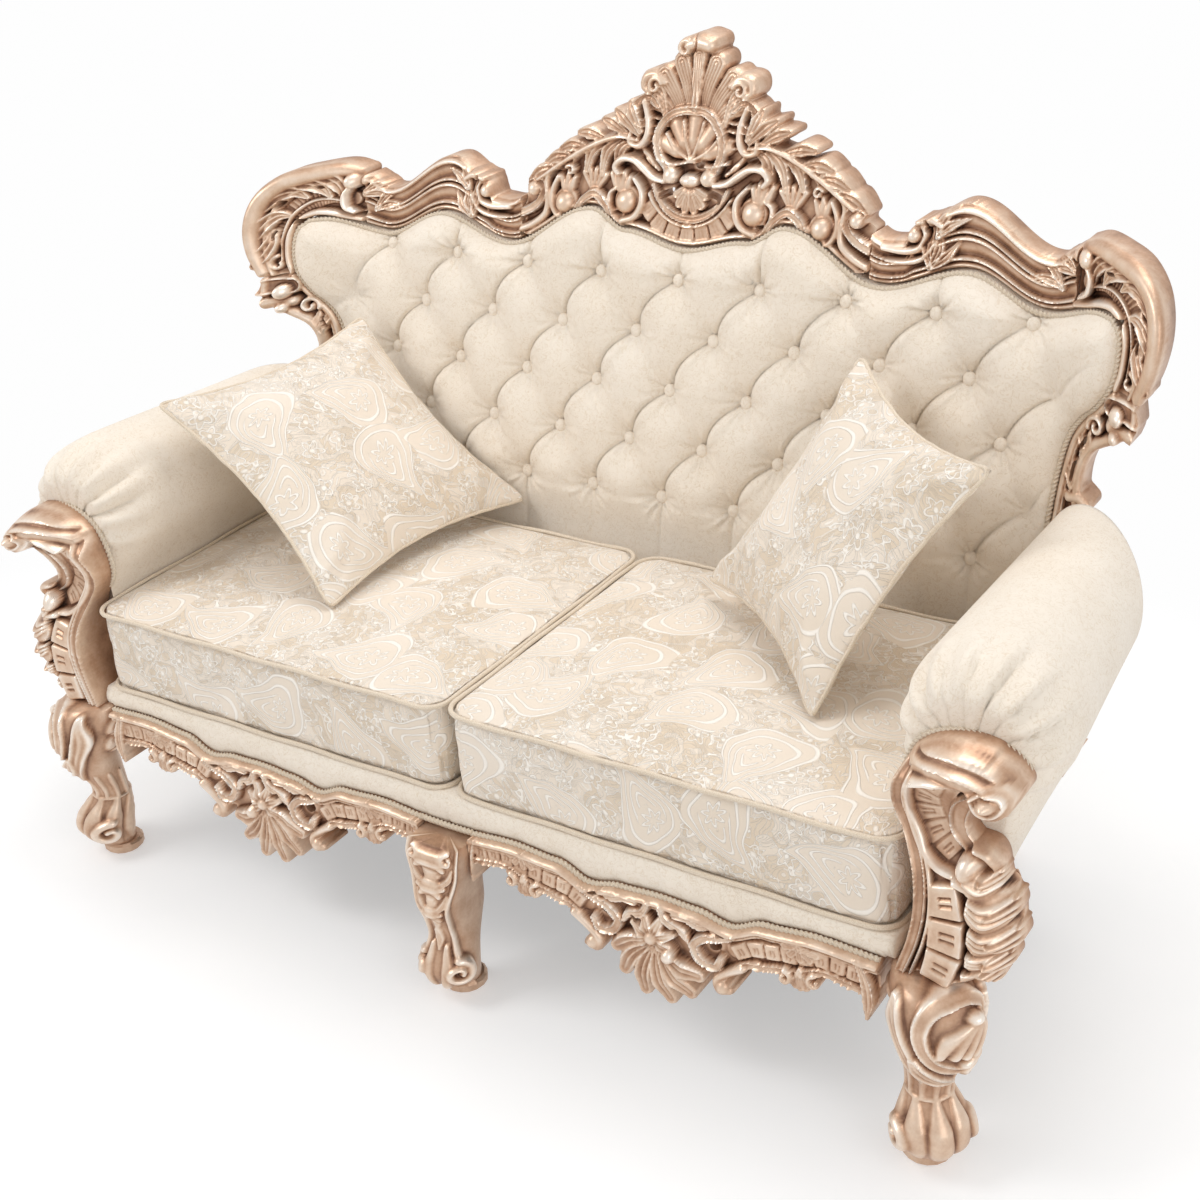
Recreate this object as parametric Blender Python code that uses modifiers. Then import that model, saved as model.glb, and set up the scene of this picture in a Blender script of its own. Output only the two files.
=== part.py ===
"""Carved two-seater sofa with a tufted back, loose seat cushions and two throw pillows.

X runs to the sitter's left-hand arm as seen from the front, Y from the front to the back, Z up.
The back and its carved frame lean: their pieces are laid out upright as (x, relief, z), where
relief counts forward from the back's front plane, and lean() carries them to their place.
"""
import math

import bmesh
import bpy
from mathutils import Matrix, Vector
from mathutils.bvhtree import BVHTree

# Clearances (metres)
FIT = 0.0003
SLIDE_CLEARANCE = 0.003

# Faces that meet at more than this angle keep a sharp edge
SHARP_ANGLE = math.radians(40)

# Seat: its half width and depth carry the arms, the legs, the ends of the back and the cushions
SEAT_HALF_WIDTH = 0.7036
DECK_DEPTH = 0.566
CUSHION_WIDTH = SEAT_HALF_WIDTH - 0.0046
CUSHION_DEPTH = DECK_DEPTH - 0.006
CUSHION_EDGE = 0.140
CUSHION_CROWN = 0.026
CUSHION_BOTTOM = 0.330
BORDER_THICKNESS = 0.030

# Seat frame
RAIL_TOP = 0.2977
RAIL_HEIGHT = 0.072
RAIL_THICKNESS = 0.026
SIDE_RAIL_X = SEAT_HALF_WIDTH - 0.0414
SIDE_RAIL_FRONT = SEAT_HALF_WIDTH + 0.0864
SIDE_RAIL_REAR_TOP = SEAT_HALF_WIDTH + 0.0334
SIDE_RAIL_REAR_LOW = SEAT_HALF_WIDTH - 0.0036
BACK_RAIL_Y = DECK_DEPTH + 0.0095
CROSS_RAIL_WIDTH = 0.045
STRAP_COUNT = 5
STRAP_WIDTH = 0.050
STRAP_THICKNESS = 0.002
BLOCK_LEG = 0.060
DUST_COVER_THICKNESS = 0.0020

# Back: a plane that leans, with ends that curve forward
BACK_FOOT_Y = DECK_DEPTH - 0.066
BACK_LEAN = 0.257
WRAP_START = SEAT_HALF_WIDTH - 0.1036
WRAP_SLOPE = 0.837
WRAP_EASE = 0.030
CARVING_DEPTH = 0.035
CARVING_GRID = 0.003
INNER_BACK_THICKNESS = 0.025
BACK_POST_X = SEAT_HALF_WIDTH - 0.1636
BACK_POST_WIDTH = 0.045
BACK_RAIL_HEIGHT = 0.050
BACK_RAIL_LOW_Z = 0.350
BACK_RAIL_HIGH_Z = 0.840
COVER_THICKNESS = 0.005
COVER_HALF_WIDTH = SEAT_HALF_WIDTH - 0.0486
TRIM_GAP = 0.003

# Serpentine edge where the upholstery meets the carving: half of a symmetric curve
TRIM_MIDDLE_Z = 0.932
TRIM_PEAK = (0.175, 0.980)
TRIM_VALLEY = (0.340, 0.911)
TRIM_HUMP = (0.475, 0.946)
TRIM_DIP = (SEAT_HALF_WIDTH - 0.1036, 0.903)
TRIM_EAR = (SEAT_HALF_WIDTH - 0.0036, 0.932)

# Outer edge of the top rail
RAIL_VALLEY = (0.342, 0.977)
RAIL_STEP = (0.372, 0.979)
RAIL_SHOULDER = (0.392, 1.010)
RAIL_HUMP = (0.462, 1.038)
RAIL_DIP = (SEAT_HALF_WIDTH - 0.1036, 0.976)
RAIL_INNER_END = 0.318
RAIL_OUTER_END = SEAT_HALF_WIDTH - 0.0636
RAIL_END_Z = 0.998

# Crest
CREST_TOP = 1.250
CREST_SHOULDER = (0.095, 1.150)
CREST_LEAVES = 7
SHELL_CENTRE_Z = 1.062
SHELL_RADIUS = 0.070
SHELL_LOBES = 5
CRESCENT_RADIUS = 0.088
CRESCENT_WIDTH = 0.046
CRESCENT_BLOCKS = 8
BEAD_LARGE = 0.019
BEAD_SMALL = 0.013
CREST_TRIANGLES = 2700

# Ear scrolls at the ends of the back
EAR_CENTRE = (SEAT_HALF_WIDTH + 0.0084, 0.905)
EAR_RADIUS = 0.110
EAR_END_Z = 0.8427
EAR_RIBS = 10

# Back tufting
TUFT_ROWS = 5
TUFT_TOP_Z = 0.886
TUFT_BOTTOM_Z = 0.545
TUFT_PITCH_TOP = 0.1458
TUFT_PITCH_BOTTOM = 0.134
TUFT_CROWN = 0.024
TUFT_PIT = 0.018
PAD_RISE = 0.014
PAD_BOTTOM_Z = 0.345
PAD_HALF_WIDTH = EAR_CENTRE[0] + 0.025
PAD_SIDE_X = SEAT_HALF_WIDTH - 0.0516

# Arms
ARM_ROLL_X_FRONT = SEAT_HALF_WIDTH + 0.0614
ARM_ROLL_X_BACK = SEAT_HALF_WIDTH + 0.0474
ARM_ROLL_Z = 0.600
ARM_ROLL_RADIUS = 0.108
ARM_ROLL_RADIUS_BACK = 0.095
ARM_FRONT_Y = 0.0515
ARM_BOARD_X = SEAT_HALF_WIDTH + 0.0080
ARM_BOARD_THICKNESS = 0.018
ARM_FOOT_FRONT = SEAT_HALF_WIDTH + 0.0924
ARM_FOOT_REAR = SEAT_HALF_WIDTH + 0.0354
ARM_DRAW_LENGTH = 0.250
ARM_BOARD_TOP = 0.545
POST_FRONT_Y = -0.010
POST_DEPTH = 0.061

# Legs and apron
LEG_X = SEAT_HALF_WIDTH + 0.0399
LEG_Y = 0.0034
LEG_TOP = 0.2977
LEG_HALF_WIDTH = 0.0555
FOOT_PAD_HEIGHT = 0.018
FOOT_PAD_RADIUS = 0.034
FOOT_LOBES = 6
MIDDLE_LEG_HALF_WIDTH = 0.0445
MIDDLE_LEG_Y = -0.009
APRON_FRONT_Y = -0.012
APRON_BACK_Y = 0.0297
APRON_CENTRE_X = SEAT_HALF_WIDTH / 2 + 0.0052
APRON_BLOCKS = 18
APRON_TRIANGLES = 1250
REAR_LEG_X = SEAT_HALF_WIDTH - 0.1206
REAR_LEG_TOP_SIZE = 0.050
REAR_LEG_FOOT_SIZE = 0.038
REAR_LEG_RAKE = 0.055

# Pillows: side, distance in from the arm and out from the back, way it faces, way its edge runs
PILLOW_LEFT = (0.460, 0.240, 0.108, (0.592, -0.113, 0.798), (0.143, 0.989, 0.034))
PILLOW_RIGHT = (0.420, 0.280, 0.095, (-0.496, -0.630, 0.598), (0.756, -0.652, -0.060))
PILLOW_THICKNESS = 0.135
PILLOW_WAIST = 0.035
PILLOW_GAP = 0.0006
PILLOW_SINK = 0.010

# Colours (linear RGB) and surface values
WOOD = ((0.52, 0.30, 0.18), 0.38, 0.75)
INNER_WOOD = ((0.42, 0.27, 0.14), 0.70, 0.0)
PLAIN_FABRIC = ((0.72, 0.64, 0.54), 0.88, 0.0)
DAMASK = ((0.70, 0.60, 0.49), 0.80, 0.0)
WEBBING = ((0.36, 0.25, 0.15), 0.92, 0.0)
DUST_CLOTH = ((0.05, 0.05, 0.05), 0.95, 0.0)


def start_scene():
    for old in list(bpy.data.objects):
        bpy.data.objects.remove(old, do_unlink=True)
    collection = bpy.data.collections.new("two_seater_sofa")
    bpy.context.scene.collection.children.link(collection)
    return collection


PARTS = start_scene()


def material(name, values):
    """A Principled material from (linear colour, roughness, metallic)."""
    colour, roughness, metallic = values
    made = bpy.data.materials.new(name)
    made.use_nodes = True
    shader = made.node_tree.nodes["Principled BSDF"]
    shader.inputs["Base Color"].default_value = (*colour, 1.0)
    shader.inputs["Roughness"].default_value = roughness
    shader.inputs["Metallic"].default_value = metallic
    made.diffuse_color = (*colour, 1.0)
    return made


def add_object(name, bm, finish, smooth=False):
    """Turn a bmesh into a named object with its own material."""
    bmesh.ops.recalc_face_normals(bm, faces=bm.faces[:])
    if bm.calc_volume(signed=True) < 0.0:
        bmesh.ops.reverse_faces(bm, faces=bm.faces[:])
    mesh = bpy.data.meshes.new(name)
    bm.to_mesh(mesh)
    bm.free()
    if smooth:
        mesh.shade_smooth()
        mesh.set_sharp_from_angle(angle=SHARP_ANGLE)
    made = bpy.data.objects.new(name, mesh)
    made.data.materials.append(material(name + "_finish", finish))
    PARTS.objects.link(made)
    return made


def lerp(a, b, t):
    return a + (b - a) * t


def ease(t):
    return 0.5 - 0.5 * math.cos(math.pi * min(max(t, 0.0), 1.0))


def eased(knots, x):
    """Height at x of a wave that turns level at each (x, height) knot."""
    if x <= knots[0][0]:
        return knots[0][1]
    for (x0, h0), (x1, h1) in zip(knots, knots[1:]):
        if x <= x1:
            return lerp(h0, h1, ease((x - x0) / (x1 - x0)))
    return knots[-1][1]


def through(points, count):
    """Evenly numbered samples of a smooth curve through the points."""
    points = [Vector(p) for p in points]
    first = points[0] * 2 - points[1]
    last = points[-1] * 2 - points[-2]
    padded = [first] + points + [last]
    spans = len(points) - 1
    samples = []
    for k in range(count):
        at = spans * k / (count - 1)
        i = min(int(at), spans - 1)
        t = at - i
        p0, p1, p2, p3 = padded[i:i + 4]
        samples.append(0.5 * (2 * p1 + (p2 - p0) * t + (2 * p0 - 5 * p1 + 4 * p2 - p3) * t * t
                              + (3 * p1 - p0 - 3 * p2 + p3) * t ** 3))
    return samples


def wrap(x):
    """How far the back's ends come forward at x."""
    t = max(abs(x) - WRAP_START, 0.0)
    return WRAP_SLOPE * (math.hypot(t, WRAP_EASE) - WRAP_EASE)


def lean(x, relief, z):
    """Place a point of the back, given upright, on the leaning and wrapped back."""
    return Vector((x, BACK_FOOT_Y + BACK_LEAN * z - wrap(x) - relief, z))


def upright(front_y):
    """Placement for pieces that stand upright, with relief counted forward from front_y."""
    return lambda x, relief, z: Vector((x, front_y - relief, z))


def loft(rings):
    """A closed bmesh through rings of equal count, with its two end rings as caps."""
    bm = bmesh.new()
    loops = [[bm.verts.new(p) for p in ring] for ring in rings]
    count = len(rings[0])
    for a, b in zip(loops, loops[1:]):
        for i in range(count):
            j = (i + 1) % count
            bm.faces.new((a[i], a[j], b[j], b[i]))
    bm.faces.new(loops[0][::-1])
    bm.faces.new(loops[-1])
    return bm


def box(name, low, high, finish, bevel=0.0):
    bm = bmesh.new()
    bmesh.ops.create_cube(bm, size=1.0)
    low, high = Vector(low), Vector(high)
    for vert in bm.verts:
        vert.co = Vector(lerp(low[i], high[i], vert.co[i] + 0.5) for i in range(3))
    made = add_object(name, bm, finish)
    if bevel:
        modifier = made.modifiers.new("edge", "BEVEL")
        modifier.width = bevel
        modifier.segments = 1
    return made


def egg(centre, radii, turn, place, segments=10, rings=6):
    """A bead, lobe or petal: an ellipsoid in upright (x, relief, z), turned in its plane."""
    bm = bmesh.new()
    bmesh.ops.create_uvsphere(bm, u_segments=segments, v_segments=rings, radius=1.0)
    cosine, sine = math.cos(turn), math.sin(turn)
    for vert in bm.verts:
        # The sphere's poles point forward, so that its rings face the viewer.
        along, across, rise = vert.co.x * radii[0], vert.co.y * radii[2], vert.co.z * radii[1]
        vert.co = place(centre[0] + along * cosine - across * sine, centre[1] + rise,
                        centre[2] + along * sine + across * cosine)
    return bm


def moulding(path, half_width, rise, base, place):
    """A rounded band that follows a path of (x, z) points, tapering with half_width(t)."""
    rings = []
    for k, point in enumerate(path):
        before, after = path[max(k - 1, 0)], path[min(k + 1, len(path) - 1)]
        along = (after - before).normalized()
        side = Vector((-along.y, along.x))
        half = half_width(k / (len(path) - 1))
        ring = []
        for across, height in ((-1.0, 0.0), (-0.75, 0.75), (0.0, 1.0), (0.75, 0.75), (1.0, 0.0)):
            at = point + side * (across * half)
            ring.append(place(at.x, base + height * rise, at.y))
        for across in (1.0, -1.0):
            at = point + side * (across * half)
            ring.append(place(at.x, base - rise, at.y))
        rings.append(ring)
    return loft(rings)


def ribbon(inner, outer, relief, back, place, across):
    """A carved band between two edges, with relief(t, s) on its face and a flat back."""
    rings = []
    for k, (a, b) in enumerate(zip(inner, outer)):
        s = k / (len(inner) - 1)
        ring = []
        for t in across:
            at = a.lerp(b, t)
            ring.append(place(at.x, relief(t, s), at.y))
        ring.append(place(b.x, -back, b.y))
        ring.append(place(a.x, -back, a.y))
        rings.append(ring)
    return loft(rings)


def ridges(t, centres, half_width, height):
    """Relief of rounded ridges that run along a band."""
    total = 0.0
    for centre in centres:
        away = abs(t - centre) / half_width
        if away < 1.0:
            total = max(total, height * math.cos(away * math.pi / 2))
    return total


def put_in_order(mesh):
    """Renumber a cut mesh by place alone, because a cut numbers its corners differently each run."""
    smooth = mesh.polygons[0].use_smooth
    corners = [tuple(vert.co) for vert in mesh.vertices]
    order = sorted(range(len(corners)), key=corners.__getitem__)
    rank = {old: new for new, old in enumerate(order)}
    faces = []
    for face in mesh.polygons:
        loop = [rank[corner] for corner in face.vertices]
        first = loop.index(min(loop))
        faces.append(loop[first:] + loop[:first])
    mesh.clear_geometry()
    mesh.from_pydata([corners[old] for old in order], [], sorted(faces))
    if smooth:
        mesh.shade_smooth()
        mesh.set_sharp_from_angle(angle=SHARP_ANGLE)


def settle(piece):
    """Replace a piece's mesh with what its modifiers make of it."""
    graph = bpy.context.evaluated_depsgraph_get()
    result = bpy.data.meshes.new_from_object(piece.evaluated_get(graph))
    put_in_order(result)
    piece.modifiers.clear()
    old = piece.data
    piece.data = result
    bpy.data.meshes.remove(old)


def combine(base, tools, operation, solver="EXACT"):
    """Apply one Boolean per tool to the base object and drop the tools."""
    for tool_mesh in tools:
        bmesh.ops.recalc_face_normals(tool_mesh, faces=tool_mesh.faces[:])
        mesh = bpy.data.meshes.new("tool")
        tool_mesh.to_mesh(mesh)
        tool_mesh.free()
        tool = bpy.data.objects.new("tool", mesh)
        PARTS.objects.link(tool)
        modifier = base.modifiers.new("join", "BOOLEAN")
        modifier.operation = operation
        modifier.solver = solver
        modifier.object = tool
        settle(base)
        bpy.data.objects.remove(tool, do_unlink=True)
    return base


def carve(name, solids, openings, envelope, triangles, seat_y=0.0):
    """One carving: overlapping solids fused on a fine grid, pierced, thinned and trimmed flush.

    It is cut about its own plane and then moved back to seat_y, so that its shape never depends
    on where it sits.
    """
    for shape in [*solids, *openings, envelope]:
        bmesh.ops.translate(shape, vec=(0.0, -seat_y, 0.0), verts=shape.verts[:])
    joined = bmesh.new()
    for solid in solids:
        bmesh.ops.recalc_face_normals(solid, faces=solid.faces[:])
        mesh = bpy.data.meshes.new("solid")
        solid.to_mesh(mesh)
        solid.free()
        joined.from_mesh(mesh)
        bpy.data.meshes.remove(mesh)
    piece = add_object(name, joined, WOOD)
    fuse = piece.modifiers.new("fuse", "REMESH")
    fuse.mode = "VOXEL"
    fuse.voxel_size = CARVING_GRID
    settle(piece)
    if openings:
        combine(piece, openings, "DIFFERENCE", "MANIFOLD")
    thin = piece.modifiers.new("thin", "DECIMATE")
    thin.ratio = min(triangles / (2 * len(piece.data.polygons)), 1.0)
    settle(piece)
    combine(piece, [envelope], "INTERSECT")
    piece.data.transform(Matrix.Translation((0.0, seat_y, 0.0)))
    piece.data.shade_smooth()
    piece.data.set_sharp_from_angle(angle=math.radians(50))
    return piece


def mirrored(source, name):
    """The opposite-hand copy of a piece, on the other side of the plane X = 0."""
    bm = bmesh.new()
    bm.from_mesh(source.data)
    bm.transform(source.matrix_world)
    bm.transform(Matrix.Scale(-1.0, 4, (1.0, 0.0, 0.0)))
    bmesh.ops.reverse_faces(bm, faces=bm.faces[:])
    mesh = bpy.data.meshes.new(name)
    bm.to_mesh(mesh)
    bm.free()
    made = bpy.data.objects.new(name, mesh)
    finish = source.data.materials[0].copy()
    finish.name = name + "_finish"
    mesh.materials.clear()
    mesh.materials.append(finish)
    PARTS.objects.link(made)
    for modifier in source.modifiers:
        copied = made.modifiers.new(modifier.name, modifier.type)
        copied.width = modifier.width
        copied.segments = modifier.segments
    return made


def pair(source, stem):
    source.name = stem + "_right"
    source.data.name = source.name
    source.data.materials[0].name = source.name + "_finish"
    return source, mirrored(source, stem + "_left")


def trim_z(x):
    """Height of the upholstered back's serpentine top edge."""
    half_peak = (TRIM_PEAK[0] * 0.63, lerp(TRIM_MIDDLE_Z, TRIM_PEAK[1], 0.42))
    knots = ((0.0, TRIM_MIDDLE_Z), half_peak, TRIM_PEAK, TRIM_VALLEY, TRIM_HUMP, TRIM_DIP, TRIM_EAR)
    return eased(knots, abs(x))


def rail_top_z(x):
    """Height of the carved top rail's outer edge."""
    knots = (RAIL_VALLEY, RAIL_STEP, RAIL_SHOULDER, RAIL_HUMP, RAIL_DIP, (RAIL_OUTER_END, RAIL_END_Z))
    rise = max(RAIL_VALLEY[0] - abs(x), 0.0) / (RAIL_VALLEY[0] - RAIL_INNER_END)
    return eased(knots, abs(x)) + 0.010 * rise ** 2


ACROSS = (0.0, 0.05, 0.12, 0.19, 0.34, 0.44, 0.52, 0.60, 0.76, 0.85, 0.93, 1.0)


def top_rail():
    """Serpentine rail with three mouldings, from the crest to the ear scroll."""
    count = 21
    inner, outer = [], []
    for k in range(count):
        x = lerp(RAIL_INNER_END, RAIL_OUTER_END, k / (count - 1))
        inner.append(Vector((x, trim_z(x) + TRIM_GAP)))
        outer.append(Vector((x, rail_top_z(x))))

    def relief(t, s):
        return ridges(t, (0.12, 0.52, 0.93), 0.09, 0.013) + 0.010 * t

    rail = add_object("top_rail", ribbon(inner, outer, relief, CARVING_DEPTH, lean, ACROSS), WOOD, True)
    ball_x = RAIL_SHOULDER[0] - 0.006
    ball = egg((ball_x, 0.012, RAIL_SHOULDER[1] - 0.021), (0.013, 0.016, 0.013), 0.0, lean)
    combine(rail, [ball], "UNION")
    return pair(rail, "top_rail")


def ear_scroll():
    """Large pierced C-scroll that turns each end of the back down and forward."""
    cx, cz = EAR_CENTRE
    start_x = RAIL_OUTER_END + FIT
    inner = ((start_x, trim_z(start_x) + TRIM_GAP), (cx - 0.030, trim_z(cx - 0.030) + 0.006),
             (cx - 0.006, TRIM_EAR[1] + 0.008), (cx + 0.022, TRIM_EAR[1] - 0.002),
             (cx + 0.034, cz), (cx + 0.033, cz - 0.035), (cx + 0.024, EAR_END_Z))
    outer = [(start_x, rail_top_z(start_x))]
    for degrees in (112, 84, 56, 28, 0, -20):
        angle = math.radians(degrees)
        outer.append((cx + EAR_RADIUS * math.cos(angle) * 0.90, cz + EAR_RADIUS * math.sin(angle) * 1.02))
    outer[-1] = (cx + 0.080, EAR_END_Z + 0.014)
    outer.append((cx + 0.068, EAR_END_Z))
    count = 2 * EAR_RIBS + 1

    def relief(t, s):
        flute = 0.004 if round(s * (count - 1)) % 2 else -0.003
        recess = 0.0 if t < 0.2 or t > 0.58 else flute - 0.004
        rolled = 0.030 * math.sin(math.pi * min(max((t - 0.58) / 0.42, 0.0), 1.0)) ** 0.6
        return ridges(t, (0.09,), 0.10, 0.012) + recess + rolled

    across = (0.0, 0.05, 0.12, 0.20, 0.34, 0.50, 0.58, 0.68, 0.80, 0.92, 1.0)
    body = ribbon(through(inner, count), through(outer, count), relief, CARVING_DEPTH, lean, across)
    ear = add_object("ear_scroll", body, WOOD, True)
    knob = egg((start_x + 0.016, 0.012, RAIL_END_Z - 0.010), (0.013, 0.018, 0.013), 0.0, lean)
    combine(ear, [knob], "UNION")
    openings = []
    for degrees, reach, length, width in ((100, 0.082, 0.012, 0.006), (40, 0.070, 0.014, 0.007)):
        angle = math.radians(degrees)
        at = (cx + reach * math.cos(angle) * 0.90, 0.0, cz + reach * math.sin(angle) * 1.02)
        openings.append(egg(at, (length, 0.12, width), angle + math.pi / 2, lean))
    combine(ear, openings, "DIFFERENCE")
    return pair(ear, "ear_scroll")


def stile():
    """Waisted upright below each ear scroll, down to the seat rail."""
    top = EAR_END_Z - FIT
    cx = EAR_CENTRE[0]
    foot = RAIL_TOP + FIT
    hidden = SEAT_HALF_WIDTH + 0.0015
    inner = ((cx + 0.024, top), (cx, 0.812), (cx - 0.027, 0.782), (cx - 0.047, 0.745), (cx - 0.053, 0.700),
             (cx - 0.051, 0.640), (cx - 0.040, 0.585), (hidden, 0.520), (hidden + 0.002, 0.400),
             (hidden, foot))
    outer = ((cx + 0.068, top), (cx + 0.055, 0.806), (cx + 0.034, 0.782), (cx + 0.004, 0.755),
             (cx - 0.012, 0.715), (cx - 0.008, 0.660), (cx + 0.012, 0.600), (cx + 0.038, 0.520),
             (hidden + 0.040, 0.400), (hidden + 0.036, foot))

    def relief(t, s):
        collar = 0.010 * math.exp(-((s - 0.09) / 0.035) ** 2)
        return ridges(t, (0.12, 0.88), 0.14, 0.010) + collar

    across = (0.0, 0.12, 0.26, 0.5, 0.74, 0.88, 1.0)
    body = ribbon(through(inner, 25), through(outer, 25), relief, CARVING_DEPTH, lean, across)
    return pair(add_object("stile", body, WOOD, True), "stile")


def crest_outline():
    """Half outline of the crest, from the rail's end up stepped leaves to the finial."""
    start = Vector((RAIL_INNER_END + CARVING_GRID, rail_top_z(RAIL_INNER_END)))
    shoulder = Vector(CREST_SHOULDER)
    run = shoulder - start
    out = Vector((-run.y, run.x)).normalized() * -1.0
    points = []
    for leaf in range(CREST_LEAVES):
        size = lerp(0.012, 0.020, leaf / (CREST_LEAVES - 1))
        for step in range(4):
            t = (leaf + step / 4) / CREST_LEAVES
            points.append(start + run * t + out * size * math.sin(math.pi * step / 4) ** 0.7)
    points.append(shoulder)
    curls = ((0.103, 1.166, 0.014), (0.074, 1.186, 0.012), (0.050, 1.203, 0.010))
    for x, z, radius in curls:
        for degrees in (-30, 30, 90):
            angle = math.radians(degrees)
            points.append(Vector((x - 0.010 + radius * math.cos(angle), z + radius * math.sin(angle))))
    points.append(Vector((0.030, 1.218)))
    points.append(Vector((0.037, 1.232)))
    points.append(Vector((0.026, 1.246)))
    return points


def crest_plate():
    """The pierced board that the crest's leaves and shell are carved from."""
    half = crest_outline()
    top = half + [Vector((-p.x, p.y)) for p in reversed(half)]
    count = 28
    lower = []
    for k in range(count + 1):
        x = (RAIL_INNER_END + CARVING_GRID) * lerp(-1.0, 1.0, k / count)
        lower.append(Vector((x, trim_z(x) + TRIM_GAP + CARVING_GRID / 2)))
    outline = top + lower
    curve = bpy.data.curves.new("crest_plate", "CURVE")
    curve.dimensions = "2D"
    curve.fill_mode = "BOTH"
    curve.extrude = 0.5
    holes = [(0.0, SHELL_CENTRE_Z - 0.006, 0.014, 0.007), (0.046, 1.008, 0.020, 0.010),
             (0.100, 1.066, 0.014, 0.007), (0.130, 0.978, 0.008, 0.005)]
    holes += [(-x, z, a, b) for x, z, a, b in holes[1:]]
    loops = [outline]
    for x, z, a, b in holes:
        ring = []
        for k in range(10):
            angle = 2 * math.pi * k / 10
            ring.append(Vector((x + a * math.cos(angle), z + b * math.sin(angle))))
        loops.append(ring)
    for loop in loops:
        spline = curve.splines.new("POLY")
        spline.points.add(len(loop) - 1)
        for point, at in zip(spline.points, loop):
            point.co = (at.x, at.y, 0.0, 1.0)
        spline.use_cyclic_u = True
    holder = bpy.data.objects.new("crest_plate", curve)
    PARTS.objects.link(holder)
    graph = bpy.context.evaluated_depsgraph_get()
    mesh = bpy.data.meshes.new_from_object(holder.evaluated_get(graph))
    bm = bmesh.new()
    bm.from_mesh(mesh)
    bmesh.ops.remove_doubles(bm, verts=bm.verts[:], dist=0.00001)
    front, back = -0.004, -CARVING_DEPTH - CARVING_GRID
    for vert in bm.verts:
        vert.co = lean(vert.co.x, front if vert.co.z > 0 else back, vert.co.y)
    bpy.data.objects.remove(holder, do_unlink=True)
    bpy.data.meshes.remove(mesh)
    bpy.data.curves.remove(curve)
    return bm


def arc(centre, radius, start, end, count, flatten=1.0):
    """(x, z) points of an arc given in degrees."""
    points = []
    for k in range(count):
        angle = math.radians(lerp(start, end, k / (count - 1)))
        points.append(Vector((centre[0] + radius * math.cos(angle),
                              centre[1] + radius * flatten * math.sin(angle))))
    return points


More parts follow.
